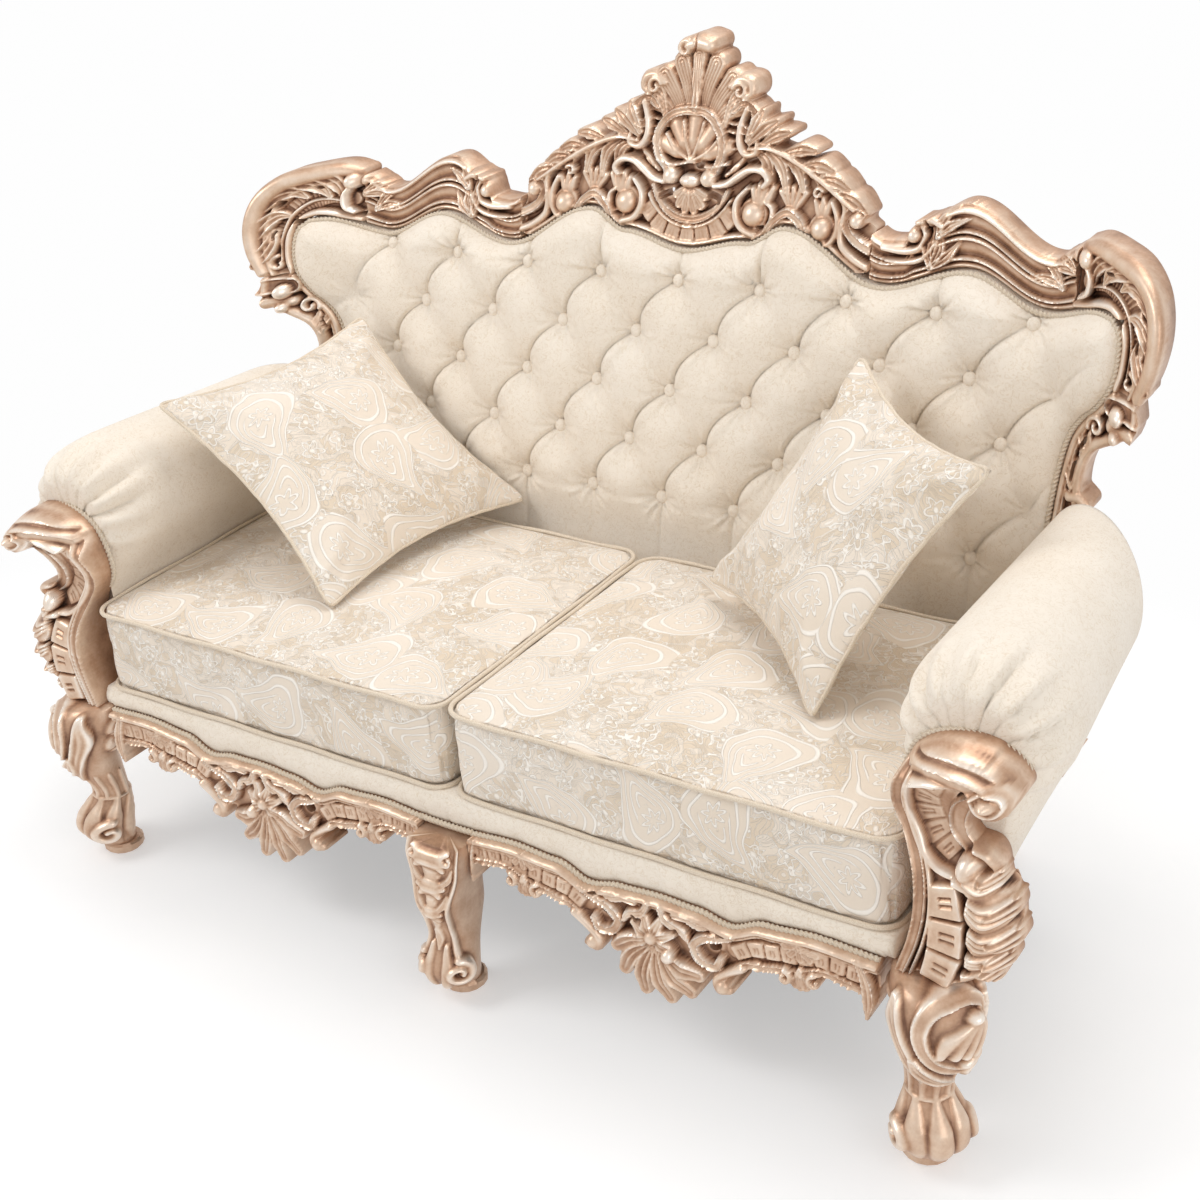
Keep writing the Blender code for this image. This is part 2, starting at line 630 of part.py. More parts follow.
def crest():
    """Cartouche: shell in a ring, plume and finial, crescent of blocks, leaves and beads."""
    tools = [crest_plate()]

    # Scallop shell: lobes that fan out from its hinge
    hinge = (0.0, SHELL_CENTRE_Z + 0.006)
    for k in range(SHELL_LOBES):
        angle = math.radians(lerp(20, 160, k / (SHELL_LOBES - 1)))
        reach = SHELL_RADIUS * lerp(0.38, 0.50, math.sin(angle))
        centre = (hinge[0] + reach * math.cos(angle), 0.004, hinge[1] + reach * math.sin(angle))
        tools.append(egg(centre, (SHELL_RADIUS * 0.48, 0.020, SHELL_RADIUS * 0.21), angle, lean))
    ring = arc((0.0, SHELL_CENTRE_Z + 0.016), SHELL_RADIUS * 0.82, -28, 208, 13, 1.02)
    tools.append(moulding(ring, lambda t: 0.006, 0.016, 0.0, lean))

    # Plume above the ring, with the rolled finial
    for degrees, length in ((55, 0.030), (73, 0.036), (90, 0.040), (107, 0.036), (125, 0.030)):
        angle = math.radians(degrees)
        reach = 0.086 + length * 0.55
        centre = (reach * math.cos(angle) * 0.95, -0.002, SHELL_CENTRE_Z + 0.010 + reach * math.sin(angle))
        tools.append(egg(centre, (length, 0.014, 0.0125), angle, lean, 8, 6))
    tools.append(egg((0.0, 0.004, 1.231), (0.0385, 0.024, 0.0185), 0.0, lean, 12, 6))

    # Crescent band of blocks below, inside its own ring moulding
    arc_centre = (0.0, SHELL_CENTRE_Z - 0.016)
    inner = arc(arc_centre, CRESCENT_RADIUS - 0.010, 218, 322, 2 * CRESCENT_BLOCKS + 1)
    outer_radius = CRESCENT_RADIUS - 0.010 + CRESCENT_WIDTH * 0.62
    outer = arc(arc_centre, outer_radius, 218, 322, 2 * CRESCENT_BLOCKS + 1)

    def blocks(t, s):
        groove = -0.004 if round(s * 2 * CRESCENT_BLOCKS) % 2 == 0 else 0.006
        return groove if 0.0 < t < 1.0 else -0.003

    tools.append(ribbon(inner, outer, blocks, CARVING_DEPTH * 0.6, lean, (0.0, 0.15, 0.85, 1.0)))
    ridge = arc(arc_centre, CRESCENT_RADIUS - 0.016, 205, 335, 15)
    tools.append(moulding(ridge, lambda t: 0.0055, 0.018, 0.0, lean))

    # Rosette and palmette that hang from the shell
    tools.append(egg((0.0, 0.008, SHELL_CENTRE_Z - 0.027), (0.018, 0.016, 0.011), 0.0, lean))
    for degrees in (250, 270, 290):
        angle = math.radians(degrees)
        centre = (0.028 * math.cos(angle), 0.002, SHELL_CENTRE_Z - 0.030 + 0.028 * math.sin(angle))
        tools.append(egg(centre, (0.022, 0.012, 0.0085), angle, lean, 8, 6))

    # Beads, S-stems, hoods over the upholstery's peaks, and acanthus leaves, on both sides
    for side in (-1.0, 1.0):
        for x, z, radius in ((0.115, 0.993, BEAD_LARGE), (0.233, 0.981, BEAD_LARGE * 0.95),
                             (0.032, 1.040, BEAD_SMALL), (0.292, 1.000, BEAD_SMALL)):
            tools.append(egg((side * x, 0.006, z), (radius, radius * 1.1, radius), 0.0, lean))
        stem = through([(side * 0.046, 1.028), (side * 0.072, 1.036), (side * 0.098, 1.056),
                        (side * 0.122, 1.058), (side * 0.128, 1.044)], 9)
        tools.append(moulding(stem, lambda t: 0.006, 0.016, 0.0, lean))
        hood = arc((side * TRIM_PEAK[0], TRIM_PEAK[1] + 0.004), 0.026, 15, 165, 8)
        tools.append(moulding(hood, lambda t: 0.005, 0.018, 0.0, lean))
        turned = 0 if side > 0 else 180
        cup = arc((side * 0.233, 0.982), 0.034, turned - side * 35, turned + side * 120, 9)
        tools.append(moulding(cup, lambda t: 0.0055, 0.014, 0.0, lean))
        for x, z, length, degrees in ((0.262, 1.018, 0.034, 152), (0.208, 1.052, 0.040, 146),
                                      (0.166, 1.080, 0.036, 128), (0.118, 1.110, 0.030, 112),
                                      (0.186, 1.030, 0.030, 95), (0.140, 1.030, 0.026, 85)):
            angle = math.radians(degrees if side > 0 else 180 - degrees)
            tools.append(egg((side * x, 0.002, z), (length, 0.014, 0.012), angle, lean, 8, 6))
        tools.append(egg((side * 0.086, 0.004, 1.172), (0.015, 0.016, 0.013), 0.0, lean, 8, 6))
        tools.append(egg((side * 0.088, 0.004, 1.136), (0.014, 0.016, 0.012), 0.0, lean, 8, 6))
    end = RAIL_INNER_END - FIT
    envelope = loft([[lean(x, 0.1, 0.85), lean(x, 0.1, 1.35), lean(x, -CARVING_DEPTH, 1.35),
                      lean(x, -CARVING_DEPTH, 0.85)] for x in (-end, end)])
    piece = carve("crest_cartouche", tools, [], envelope, CREST_TRIANGLES, BACK_FOOT_Y)

    # The carving is drawn for one height, and above the rails' ends it is stretched to the wanted one
    drawn_top = max(vert.co.z for vert in piece.data.vertices)
    stretch = (CREST_TOP - RAIL_END_Z) / (drawn_top - RAIL_END_Z)
    for vert in piece.data.vertices:
        growth = max(vert.co.z - RAIL_END_Z, 0.0) * (stretch - 1.0)
        vert.co += Vector((0.0, BACK_LEAN * growth, growth))
    return piece


def tuft_height(x, z):
    """Height of the tufted surface over its folds, from the diamond lattice of the buttons."""
    row_pitch = (TUFT_TOP_Z - TUFT_BOTTOM_Z) / (TUFT_ROWS - 1)
    row = (z - TUFT_BOTTOM_Z) / row_pitch
    level = min(max(row / (TUFT_ROWS - 1), 0.0), 1.0)
    pitch = lerp(TUFT_PITCH_BOTTOM, TUFT_PITCH_TOP, level)
    column = x / pitch
    if row < 0.0 or row > TUFT_ROWS - 1:
        fade = max(-row, row - (TUFT_ROWS - 1), 0.0)
        fold = abs(math.sin(math.pi * column)) ** 0.6
        fold = lerp(fold, 1.0, min(fade * 0.35, 1.0))
    else:
        u, v = column + row / 2, column - row / 2
        fold = abs(math.sin(math.pi * u) * math.sin(math.pi * v)) ** 0.45
    nearest_row = min(max(round(row), 0), TUFT_ROWS - 1)
    shift = 0.5 if nearest_row % 2 else 0.0
    nearest = round(column - shift) + shift
    away = math.hypot((column - nearest) * pitch, (row - nearest_row) * row_pitch)
    pit = 1.0 - math.exp(-(away / 0.028) ** 2)
    beyond = min(max((abs(x) - 4.0 * pitch) / (0.6 * pitch), 0.0), 1.0)
    fold, pit = lerp(fold, 1.0, beyond), lerp(pit, 1.0, beyond)
    return TUFT_CROWN * fold + TUFT_PIT * pit


def back_pad():
    """Deep-buttoned back upholstery that fills the carved frame."""
    rows = 23
    side = PAD_SIDE_X
    peak = TRIM_PEAK[0]
    xs = [side * k / 18 for k in range(19) if abs(side * k / 18 - peak) > 0.015]
    xs += [peak - 0.016, peak, peak + 0.018]
    xs += [lerp(side, PAD_HALF_WIDTH, t) for t in (0.035, 0.16, 0.42, 0.72, 0.94)]
    xs.sort()
    xs = [-x for x in reversed(xs[1:])] + xs
    row_pitch = (TUFT_TOP_Z - TUFT_BOTTOM_Z) / (TUFT_ROWS - 1)

    def limits(x):
        """Lowest and highest point of the pad at x."""
        if abs(x) <= side + 0.0001:
            return PAD_BOTTOM_Z, trim_z(x)
        t = (abs(x) - side) / (PAD_HALF_WIDTH - side)
        low = lerp(0.735, 0.880, t ** 1.25)
        high = lerp(trim_z(x), 0.880, t ** 9)
        return low + 0.008, high

    rings = []
    for x in xs:
        low, high = limits(x)
        heights = []
        if abs(x) <= side + 0.0001:
            heights += [lerp(low, TUFT_BOTTOM_Z, k / 4) for k in range(4)]
            heights += [TUFT_BOTTOM_Z + row_pitch * k / 4 for k in range(4 * (TUFT_ROWS - 1) + 1)]
            heights += [lerp(TUFT_TOP_Z, high, t) for t in (0.6, 1.0)]
        else:
            heights = [lerp(low, high, k / (rows - 1)) for k in range(rows)]
        ring = []
        for z in heights:
            from_edge = min(high - z, (z - low) if abs(x) > side else 1.0, PAD_HALF_WIDTH - abs(x))
            from_side = (side + 0.02 - abs(x)) if z < 0.70 else 1.0
            soft = min(max(min(from_edge, from_side) / 0.05, 0.0), 1.0) ** 0.6
            thin = lerp(0.25, 1.0, ease((z - 0.46) / 0.12))
            relief = -0.010 + soft * (PAD_RISE + tuft_height(x, z) * thin)
            ring.append(lean(x, relief, z))
        ring.append(lean(x, -CARVING_DEPTH, high))
        ring.append(lean(x, -CARVING_DEPTH, low))
        rings.append(ring)
    return add_object("back_pad", loft(rings), PLAIN_FABRIC, True)


def inner_back():
    """Posts and rails behind the upholstery, and the cloth-covered outer back."""
    near, far = -CARVING_DEPTH - FIT, -CARVING_DEPTH - FIT - INNER_BACK_THICKNESS

    def leaning_bar(name, x0, x1, z0, z1, relief0, relief1, finish):
        rings = []
        for z in (z0, z1):
            rings.append([lean(x0, relief0, z), lean(x1, relief0, z),
                          lean(x1, relief1, z), lean(x0, relief1, z)])
        return add_object(name, loft(rings), finish)

    right = BACK_POST_X
    post = leaning_bar("back_post", right, right + BACK_POST_WIDTH, RAIL_TOP + FIT, BACK_RAIL_HIGH_Z
                       + BACK_RAIL_HEIGHT, near, far, INNER_WOOD)
    pair(post, "back_post")
    span = BACK_POST_X - FIT
    for name, low in (("back_rail_lower", BACK_RAIL_LOW_Z), ("back_rail_upper", BACK_RAIL_HIGH_Z)):
        leaning_bar(name, -span, span, low, low + BACK_RAIL_HEIGHT, near, far, INNER_WOOD)
    count = 41
    rings = []
    for k in range(count):
        x = lerp(-COVER_HALF_WIDTH, COVER_HALF_WIDTH, k / (count - 1))
        low, high = RAIL_TOP + FIT, trim_z(x) + 0.012
        cover = far - FIT
        rings.append([lean(x, cover, low), lean(x, cover, high),
                      lean(x, cover - COVER_THICKNESS, high), lean(x, cover - COVER_THICKNESS, low)])
    add_object("outer_back_cover", loft(rings), PLAIN_FABRIC)


def border_low_z(x):
    """Lower edge of the fabric border, which the apron's top follows."""
    away = abs(abs(x) - APRON_CENTRE_X)
    knots = ((0.0, 0.280), (0.060, 0.277), (0.110, 0.267), (0.165, 0.287), (0.240, 0.293), (0.330, 0.288))
    return eased(knots, away) + 0.020 * (abs(x) - APRON_CENTRE_X)


def apron_stations():
    """The x places, between the legs, that the apron and the border above it share."""
    first = MIDDLE_LEG_HALF_WIDTH + FIT
    last = LEG_X - LEG_HALF_WIDTH - 0.0035
    count = 2 * APRON_BLOCKS + 1
    return [lerp(first, last, k / (count - 1)) for k in range(count)]


def seat_deck():
    """Padded deck under the cushions, with the border that drops in front of the rail."""
    deck_low = RAIL_TOP + FIT + STRAP_THICKNESS + FIT
    deck_top = CUSHION_BOTTOM - FIT
    half = SEAT_HALF_WIDTH - SLIDE_CLEARANCE - FIT
    at_leg = LEG_X - LEG_HALF_WIDTH - 0.0015
    xs = apron_stations() + [at_leg, half]
    rings = []
    for x in [-x for x in reversed(xs)] + [0.0] + xs:
        low = (border_low_z(x) if abs(x) < at_leg else LEG_TOP) + FIT
        back = BORDER_THICKNESS - FIT
        rings.append([Vector((x, DECK_DEPTH, deck_top)), Vector((x, DECK_DEPTH, deck_low)),
                      Vector((x, back, deck_low)), Vector((x, back, low)), Vector((x, 0.004, low)),
                      Vector((x, -0.004, low + 0.012)), Vector((x, -0.004, deck_top - 0.010)),
                      Vector((x, 0.006, deck_top))])
    return add_object("seat_deck", loft(rings), PLAIN_FABRIC, True)


def seat_cushions():
    """Two loose box cushions: crowned, with drawn-in sides and rounded corners."""
    half_x, half_y = CUSHION_WIDTH / 2, CUSHION_DEPTH / 2
    count = 17
    across = 9
    cushions = {}
    for side, hand in ((1.0, "right"), (-1.0, "left")):
        centre = Vector((side * (half_x + SLIDE_CLEARANCE / 2), half_y, 0.0))
        rings = []
        for k in range(count):
            s = -math.cos(math.pi * lerp(0.045, 0.955, k / (count - 1)))
            depth = half_y * (1.0 - abs(s) ** 14) ** (1 / 6)
            ring = []
            for face, order in ((1.0, 1.0), (-1.0, -1.0)):
                for j in range(across):
                    t = order * -math.cos(math.pi * j / (across - 1))
                    y = depth * t * 0.996
                    bulge = max((1.0 - abs(s) ** 3) * (1.0 - abs(t) ** 3), 0.0)
                    if face > 0:
                        z = CUSHION_BOTTOM + CUSHION_EDGE + CUSHION_CROWN * bulge ** 0.8
                    else:
                        z = CUSHION_BOTTOM
                    round_off = 0.010 * (abs(s) ** 20 + abs(t) ** 20)
                    ring.append(centre + Vector((half_x * s, y, z - face * min(round_off, 0.012))))
                middle = order * half_y * (1.0 - abs(s) ** 14) ** (1 / 6)
                pull = 0.004
                offset = (half_x * s, middle - order * pull, CUSHION_BOTTOM + CUSHION_EDGE / 2)
                ring.append(centre + Vector(offset))
            rings.append(ring)
        cushions[hand] = add_object("seat_cushion_" + hand, loft(rings), DAMASK, True)
    return cushions


def pillow_mesh(side):
    """A knife-edge pillow, puffed in the middle, waisted on its sides, with pointed corners."""
    bm = bmesh.new()
    steps = 12
    for face in (1.0, -1.0):
        sheet = bmesh.ops.create_grid(bm, x_segments=steps, y_segments=steps, size=1.0)
        for vert in sheet["verts"]:
            u, v = vert.co.x, vert.co.y
            puff = max((1.0 - u * u) * (1.0 - v * v), 0.0) ** 0.55
            x = u * (side / 2 - PILLOW_WAIST * (1.0 - v * v))
            y = v * (side / 2 - PILLOW_WAIST * (1.0 - u * u))
            vert.co = Vector((x, y, face * PILLOW_THICKNESS / 2 * puff))
    bmesh.ops.remove_doubles(bm, verts=bm.verts[:], dist=0.00001)
    return bm


def placed_mesh(piece):
    """A piece as it stands, as a bmesh of triangles."""
    bm = bmesh.new()
    bm.from_mesh(piece.data)
    bm.transform(piece.matrix_world)
    bmesh.ops.triangulate(bm, faces=bm.faces[:])
    return bm


def rest_on(piece, support, gap, sink):
    """Lower a piece onto its support, and flatten by the sink what presses on it."""
    bpy.context.view_layer.update()
    upper, lower = placed_mesh(piece), placed_mesh(support)
    upper_tree, lower_tree = BVHTree.FromBMesh(upper), BVHTree.FromBMesh(lower)
    falls = []
    for mesh, tree, way in ((upper, lower_tree, -1.0), (lower, upper_tree, 1.0)):
        for vert in mesh.verts:
            distance = tree.ray_cast(vert.co, Vector((0.0, 0.0, way)))[3]
            if distance is not None:
                falls.append(distance)
        mesh.free()
    fall = min(falls) + sink
    back = piece.matrix_world.inverted()
    for vert in piece.data.vertices:
        at = piece.matrix_world @ vert.co
        distance = lower_tree.ray_cast(at, Vector((0.0, 0.0, -1.0)))[3]
        if distance is not None and distance - fall < gap:
            at.z += gap - (distance - fall)
            vert.co = back @ at
    piece.location.z -= fall


def pillows(cushions):
    """Two throw pillows that lean in the corners of the seat."""
    clear_of_seat = CUSHION_BOTTOM + CUSHION_EDGE + PILLOW_LEFT[0]
    for sign, hand, pillow in ((-1.0, "left", PILLOW_LEFT), (1.0, "right", PILLOW_RIGHT)):
        side, from_arm, from_back, normal, edge = pillow
        normal = Vector(normal).normalized()
        edge = Vector(edge)
        across = (edge - normal * edge.dot(normal)).normalized()
        turn = Matrix((across, normal.cross(across), normal)).transposed().to_4x4()
        centre = (sign * (SEAT_HALF_WIDTH - from_arm), BACK_FOOT_Y - from_back, clear_of_seat)
        made = add_object("pillow_" + hand, pillow_mesh(side), DAMASK, True)
        made.matrix_world = Matrix.Translation(centre) @ turn
        rest_on(made, cushions[hand], PILLOW_GAP, PILLOW_SINK)


def arm_end_y(x, z):
    """Where an arm's upholstery stops in front of the back's curving end."""
    slope = WRAP_SLOPE * 0.98
    turn = SEAT_HALF_WIDTH - 0.0386
    return BACK_FOOT_Y + BACK_LEAN * z - wrap(turn) - slope * (x - turn) - 0.028


def drawn_in(y):
    """How far the outside of an arm and its rail has drawn in behind the front leg, 0 to 1."""
    return ease(min(max((y - ARM_FRONT_Y) / ARM_DRAW_LENGTH, 0.0), 1.0))


def arm_pad():
    """Fat rolled arm, gathered at its front behind the carved volute."""
    floor = RAIL_TOP + FIT
    inner_x = SEAT_HALF_WIDTH
    slot = (ARM_BOARD_X - FIT, ARM_BOARD_X + ARM_BOARD_THICKNESS + FIT)
    slot_top = ARM_BOARD_TOP + FIT
    arc_steps = 12
    front_stations = ((0.0, 0.60), (0.010, 0.80), (0.030, 0.93), (0.060, 0.99), (0.100, 1.0))
    rings = []
    rear = (0.25, 0.5, 0.75, 1.0)
    for k in range(len(front_stations) + len(rear)):
        if k < len(front_stations):
            advance, swell = front_stations[k]
            base_y, share = ARM_FRONT_Y + advance, 0.0
        else:
            base_y, share = ARM_FRONT_Y + front_stations[-1][0], rear[k - len(front_stations)]
            swell = 1.0
        radius = lerp(ARM_ROLL_RADIUS, ARM_ROLL_RADIUS_BACK, share) * swell
        centre_x = lerp(ARM_ROLL_X_FRONT, ARM_ROLL_X_BACK, share)
        centre_z = ARM_ROLL_Z - 0.010 * (1.0 - swell)
        section = [(inner_x, floor), (inner_x, 0.400), (inner_x - 0.002, 0.486)]
        for j in range(arc_steps):
            angle = math.radians(lerp(205.0, -35.0, j / (arc_steps - 1)))
            section.append((centre_x + radius * math.cos(angle), centre_z + radius * math.sin(angle)))
        outer_top = section[-1]
        drawn = drawn_in(lerp(base_y, arm_end_y(ARM_FOOT_REAR, floor), share))
        foot_x = lerp(ARM_FOOT_FRONT, ARM_FOOT_REAR, drawn)
        waist_x = foot_x + lerp(0.004, 0.034, drawn)
        section.append((lerp(outer_top[0], waist_x, 0.45), 0.470))
        section.append((waist_x, 0.380))
        section.append((foot_x, floor))
        section += [(slot[1], floor), (slot[1], slot_top), (slot[0], slot_top), (slot[0], floor)]
        ring = []
        for x, z in section:
            ring.append(Vector((x, lerp(base_y, arm_end_y(x, z), share), z)))
        rings.append(ring)
    return pair(add_object("arm_pad", loft(rings), PLAIN_FABRIC, True), "arm_pad")


def arm_board():
    """The plain board inside each arm, standing on the side rail."""
    end = arm_end_y(ARM_BOARD_X + ARM_BOARD_THICKNESS, RAIL_TOP) - 0.004
    low = (ARM_BOARD_X, LEG_Y + LEG_HALF_WIDTH + 0.013, RAIL_TOP + FIT)
    high = (ARM_BOARD_X + ARM_BOARD_THICKNESS, end, ARM_BOARD_TOP)
    return pair(box("arm_board", low, high, INNER_WOOD), "arm_board")


def arm_post():
    """Carved S-shaped arm front: leaf-edged body below, ribbed C-scroll and volute above."""
    foot = LEG_TOP + FIT
    place = upright(POST_FRONT_Y)
    body_inner = ((0.0019, foot), (0.0184, 0.352), (0.0254, 0.400), (0.0204, 0.440), (0.0034, 0.480),
                  (-0.0156, 0.520), (-0.0116, 0.558), (0.0044, 0.592), (0.0344, 0.612), (0.0744, 0.618),
                  (0.1144, 0.608), (0.1394, 0.588))
    body_outer = ((0.1114, foot), (0.1344, 0.345), (0.1464, 0.395), (0.1344, 0.440), (0.0864, 0.468),
                  (0.0484, 0.505), (0.0424, 0.535), (0.0484, 0.558), (0.0644, 0.570), (0.0824, 0.572),
                  (0.0964, 0.568), (0.1024, 0.562))
    count = 31

    def relief(t, s):
        setback = -0.036 * ease((s - 0.36) / 0.12) * (1.0 - ease((s - 0.68) / 0.2))
        rib = 0.0025 if round(s * (count - 1)) % 2 else -0.0025
        face = rib if 0.3 < t < 0.7 else 0.0
        return setback + face + ridges(t, (0.14, 0.86), 0.16, 0.010)

    across = (0.0, 0.06, 0.14, 0.30, 0.5, 0.70, 0.86, 0.94, 1.0)
    inner, outer = ([(SEAT_HALF_WIDTH + x, z) for x, z in edge] for edge in (body_inner, body_outer))
    body = ribbon(through(inner, count), through(outer, count), relief, POST_DEPTH, place, across)
    post = add_object("arm_post", body, WOOD, True)
    volute = egg((SEAT_HALF_WIDTH + 0.1164, -0.008, 0.582), (0.030, 0.030, 0.024), 0.0, place, 12, 8)
    ball = egg((SEAT_HALF_WIDTH + 0.0854, 0.004, 0.462), (0.020, 0.022, 0.018), 0.0, place)
    combine(post, [volute, ball], "UNION")
    return pair(post, "arm_post")


def leg_rings(stations, heading, centre, lobes):
    """Rings of a cabriole leg from (height, reach along heading, half width, half depth, squareness)."""
    rings = []
    sides = 16
    cosine, sine = math.cos(heading), math.sin(heading)
    for z, reach, half_width, half_depth, square in stations:
        ring = []
        for k in range(sides):
            angle = 2 * math.pi * (k + 0.5) / sides
            c, s = math.cos(angle), math.sin(angle)
            along = half_depth * math.copysign(abs(c) ** square, c)
            across = half_width * math.copysign(abs(s) ** square, s)
            flute = 1.0 + (0.05 * math.cos(lobes * angle) if z < 0.10 else 0.0)
            along, across = along * flute + reach, across * flute
            ring.append(Vector((centre[0] + along * cosine - across * sine,
                                centre[1] + along * sine + across * cosine, z)))
        rings.append(ring)
    return loft(rings)


def foot_pad(name, x, y):
    """Turned disc under a leg."""
    bm = bmesh.new()
    bmesh.ops.create_cone(bm, cap_ends=True, segments=16, radius1=FOOT_PAD_RADIUS,
                          radius2=FOOT_PAD_RADIUS, depth=FOOT_PAD_HEIGHT)
    bmesh.ops.translate(bm, verts=bm.verts[:], vec=(x, y, FOOT_PAD_HEIGHT / 2))
    made = add_object(name, bm, WOOD)
    bevel = made.modifiers.new("edge", "BEVEL")
    bevel.width = 0.004
    bevel.segments = 1
    return made


def legs():
    """Front cabriole legs, the middle leg, and the plain raked rear legs."""
    foot = FOOT_PAD_HEIGHT + FIT
    front = ((LEG_TOP, 0.004, 0.052, 0.052, 0.45), (0.275, 0.010, 0.054, 0.055, 0.55),
             (0.235, 0.020, 0.052, 0.054, 0.75), (0.195, 0.020, 0.045, 0.047, 0.9),
             (0.160, 0.010, 0.037, 0.038, 1.0), (0.132, 0.002, 0.031, 0.031, 1.0),
             (0.108, 0.002, 0.030, 0.031, 1.0), (0.085, 0.012, 0.035, 0.037, 1.0),
             (0.058, 0.022, 0.041, 0.044, 1.0), (0.034, 0.020, 0.038, 0.041, 1.0),
             (foot, 0.008, 0.029, 0.030, 1.0))
    rings = leg_rings(front, math.radians(-50), (LEG_X + 0.004, LEG_Y), FOOT_LOBES)
    pair(add_object("front_leg", rings, WOOD, True), "front_leg")
    pad = foot_pad("foot_pad", LEG_X + 0.004, LEG_Y)
    pair(pad, "foot_pad")

    top_depth = 0.038
    middle = ((border_low_z(0.0) - FIT, 0.000, MIDDLE_LEG_HALF_WIDTH, top_depth, 0.3),
              (0.250, 0.004, MIDDLE_LEG_HALF_WIDTH, top_depth + 0.004, 0.3),
              (0.215, 0.006, 0.040, 0.042, 0.4), (0.175, 0.006, 0.034, 0.052, 0.5),
              (0.140, 0.000, 0.030, 0.050, 0.6), (0.110, 0.002, 0.030, 0.044, 0.8),
              (0.085, 0.012, 0.036, 0.044, 1.0), (0.058, 0.022, 0.043, 0.045, 1.0),
              (0.034, 0.018, 0.039, 0.042, 1.0), (foot, 0.006, 0.029, 0.030, 1.0))
    middle_y = MIDDLE_LEG_Y
    add_object("middle_leg", leg_rings(middle, math.radians(-90), (0.0, middle_y), FOOT_LOBES), WOOD, True)
    foot_pad("foot_pad_middle", 0.0, middle_y)

    top = RAIL_TOP
    front_y = BACK_RAIL_Y + RAIL_THICKNESS + 2 * FIT
    rings = []
    for z, size, shift in ((0.0, REAR_LEG_FOOT_SIZE, REAR_LEG_RAKE),
                           (RAIL_TOP - RAIL_HEIGHT, REAR_LEG_TOP_SIZE, 0.0),
                           (top, REAR_LEG_TOP_SIZE, 0.0)):
        half = size / 2
        y0, y1 = front_y + shift, front_y + shift + size
        rings.append([Vector((REAR_LEG_X - half, y0, z)), Vector((REAR_LEG_X + half, y0, z)),
                      Vector((REAR_LEG_X + half, y1, z)), Vector((REAR_LEG_X - half, y1, z))])
    pair(add_object("rear_leg", loft(rings), WOOD), "rear_leg")


def apron_low_z(x):
    """Lower edge of the apron between two legs."""
    away = abs(x - APRON_CENTRE_X)
    knots = ((0.0, 0.150), (0.050, 0.153), (0.085, 0.170), (0.150, 0.220), (0.200, 0.228), (0.255, 0.246),
             (0.300, 0.238), (0.320, 0.215))
    return eased(knots, away)


def aprons():
    """Carved and pierced front aprons, one on each side of the middle leg."""
    place = upright(APRON_FRONT_Y)
    xs = apron_stations()
    count = len(xs)
    inner, outer = [], []
    for k in range(count):
        x = lerp(xs[0] - CARVING_GRID, xs[-1] + CARVING_GRID, k / (count - 1))
        inner.append(Vector((x, apron_low_z(x))))
        outer.append(Vector((x, border_low_z(x) + CARVING_GRID)))

    def relief(t, s):
        groove = -0.004 if round(s * (count - 1)) % 2 == 0 else 0.0
        face = groove if 0.35 < t < 0.75 else 0.0
        return face + ridges(t, (0.16, 0.88), 0.14, 0.008) - 0.004

    depth = APRON_BACK_Y - APRON_FRONT_Y
    across = (0.0, 0.08, 0.16, 0.30, 0.42, 0.66, 0.80, 0.88, 1.0)
    tools = [ribbon(inner, outer, relief, depth + CARVING_GRID, place, across)]

    # Fan of petals that hangs from the middle
    petals = ((222, 0.036), (242, 0.042), (262, 0.044), (282, 0.044), (302, 0.041), (322, 0.036))
    for degrees, length in petals:
        angle = math.radians(degrees)
        reach = 0.052
        centre = (APRON_CENTRE_X + reach * math.cos(angle), -0.006, 0.204 + reach * math.sin(angle))
        tools.append(egg(centre, (length, 0.018, 0.0125), angle, place, 8, 6))
    tools.append(egg((APRON_CENTRE_X, 0.002, 0.212), (0.026, 0.018, 0.020), 0.0, place))
    for side in (-1.0, 1.0):
        swirl = arc((APRON_CENTRE_X + side * 0.080, 0.196), 0.022, 90 - side * 150, 90 + side * 60, 8)
        tools.append(moulding(swirl, lambda t: 0.006, 0.012, -0.004, place))
        bud = (APRON_CENTRE_X + side * 0.100, 0.0, 0.170)
        tools.append(egg(bud, (0.014, 0.014, 0.012), 0.0, place, 8, 6))
        flower = APRON_CENTRE_X + side * 0.218
        tools.append(egg((flower, 0.002, 0.266), (0.022, 0.012, 0.010), 0.0, place, 8, 6))
        tools.append(egg((flower, 0.000, 0.226), (0.015, 0.012, 0.016), 0.0, place, 8, 6))
    openings = []
    for side in (-1.0, 1.0):
        for x, z, a, b in ((0.104, 0.246, 0.020, 0.0075), (0.050, 0.226, 0.010, 0.006)):
            openings.append(egg((APRON_CENTRE_X + side * x, -0.02, z), (a, 0.08, b), 0.0, place, 10, 6))
    rings = []
    for x in xs:
        rings.append([place(x, 0.1, 0.05), place(x, 0.1, border_low_z(x)),
                      place(x, -depth, border_low_z(x)), place(x, -depth, 0.05)])
    return pair(carve("apron", tools, openings, loft(rings), APRON_TRIANGLES), "apron")


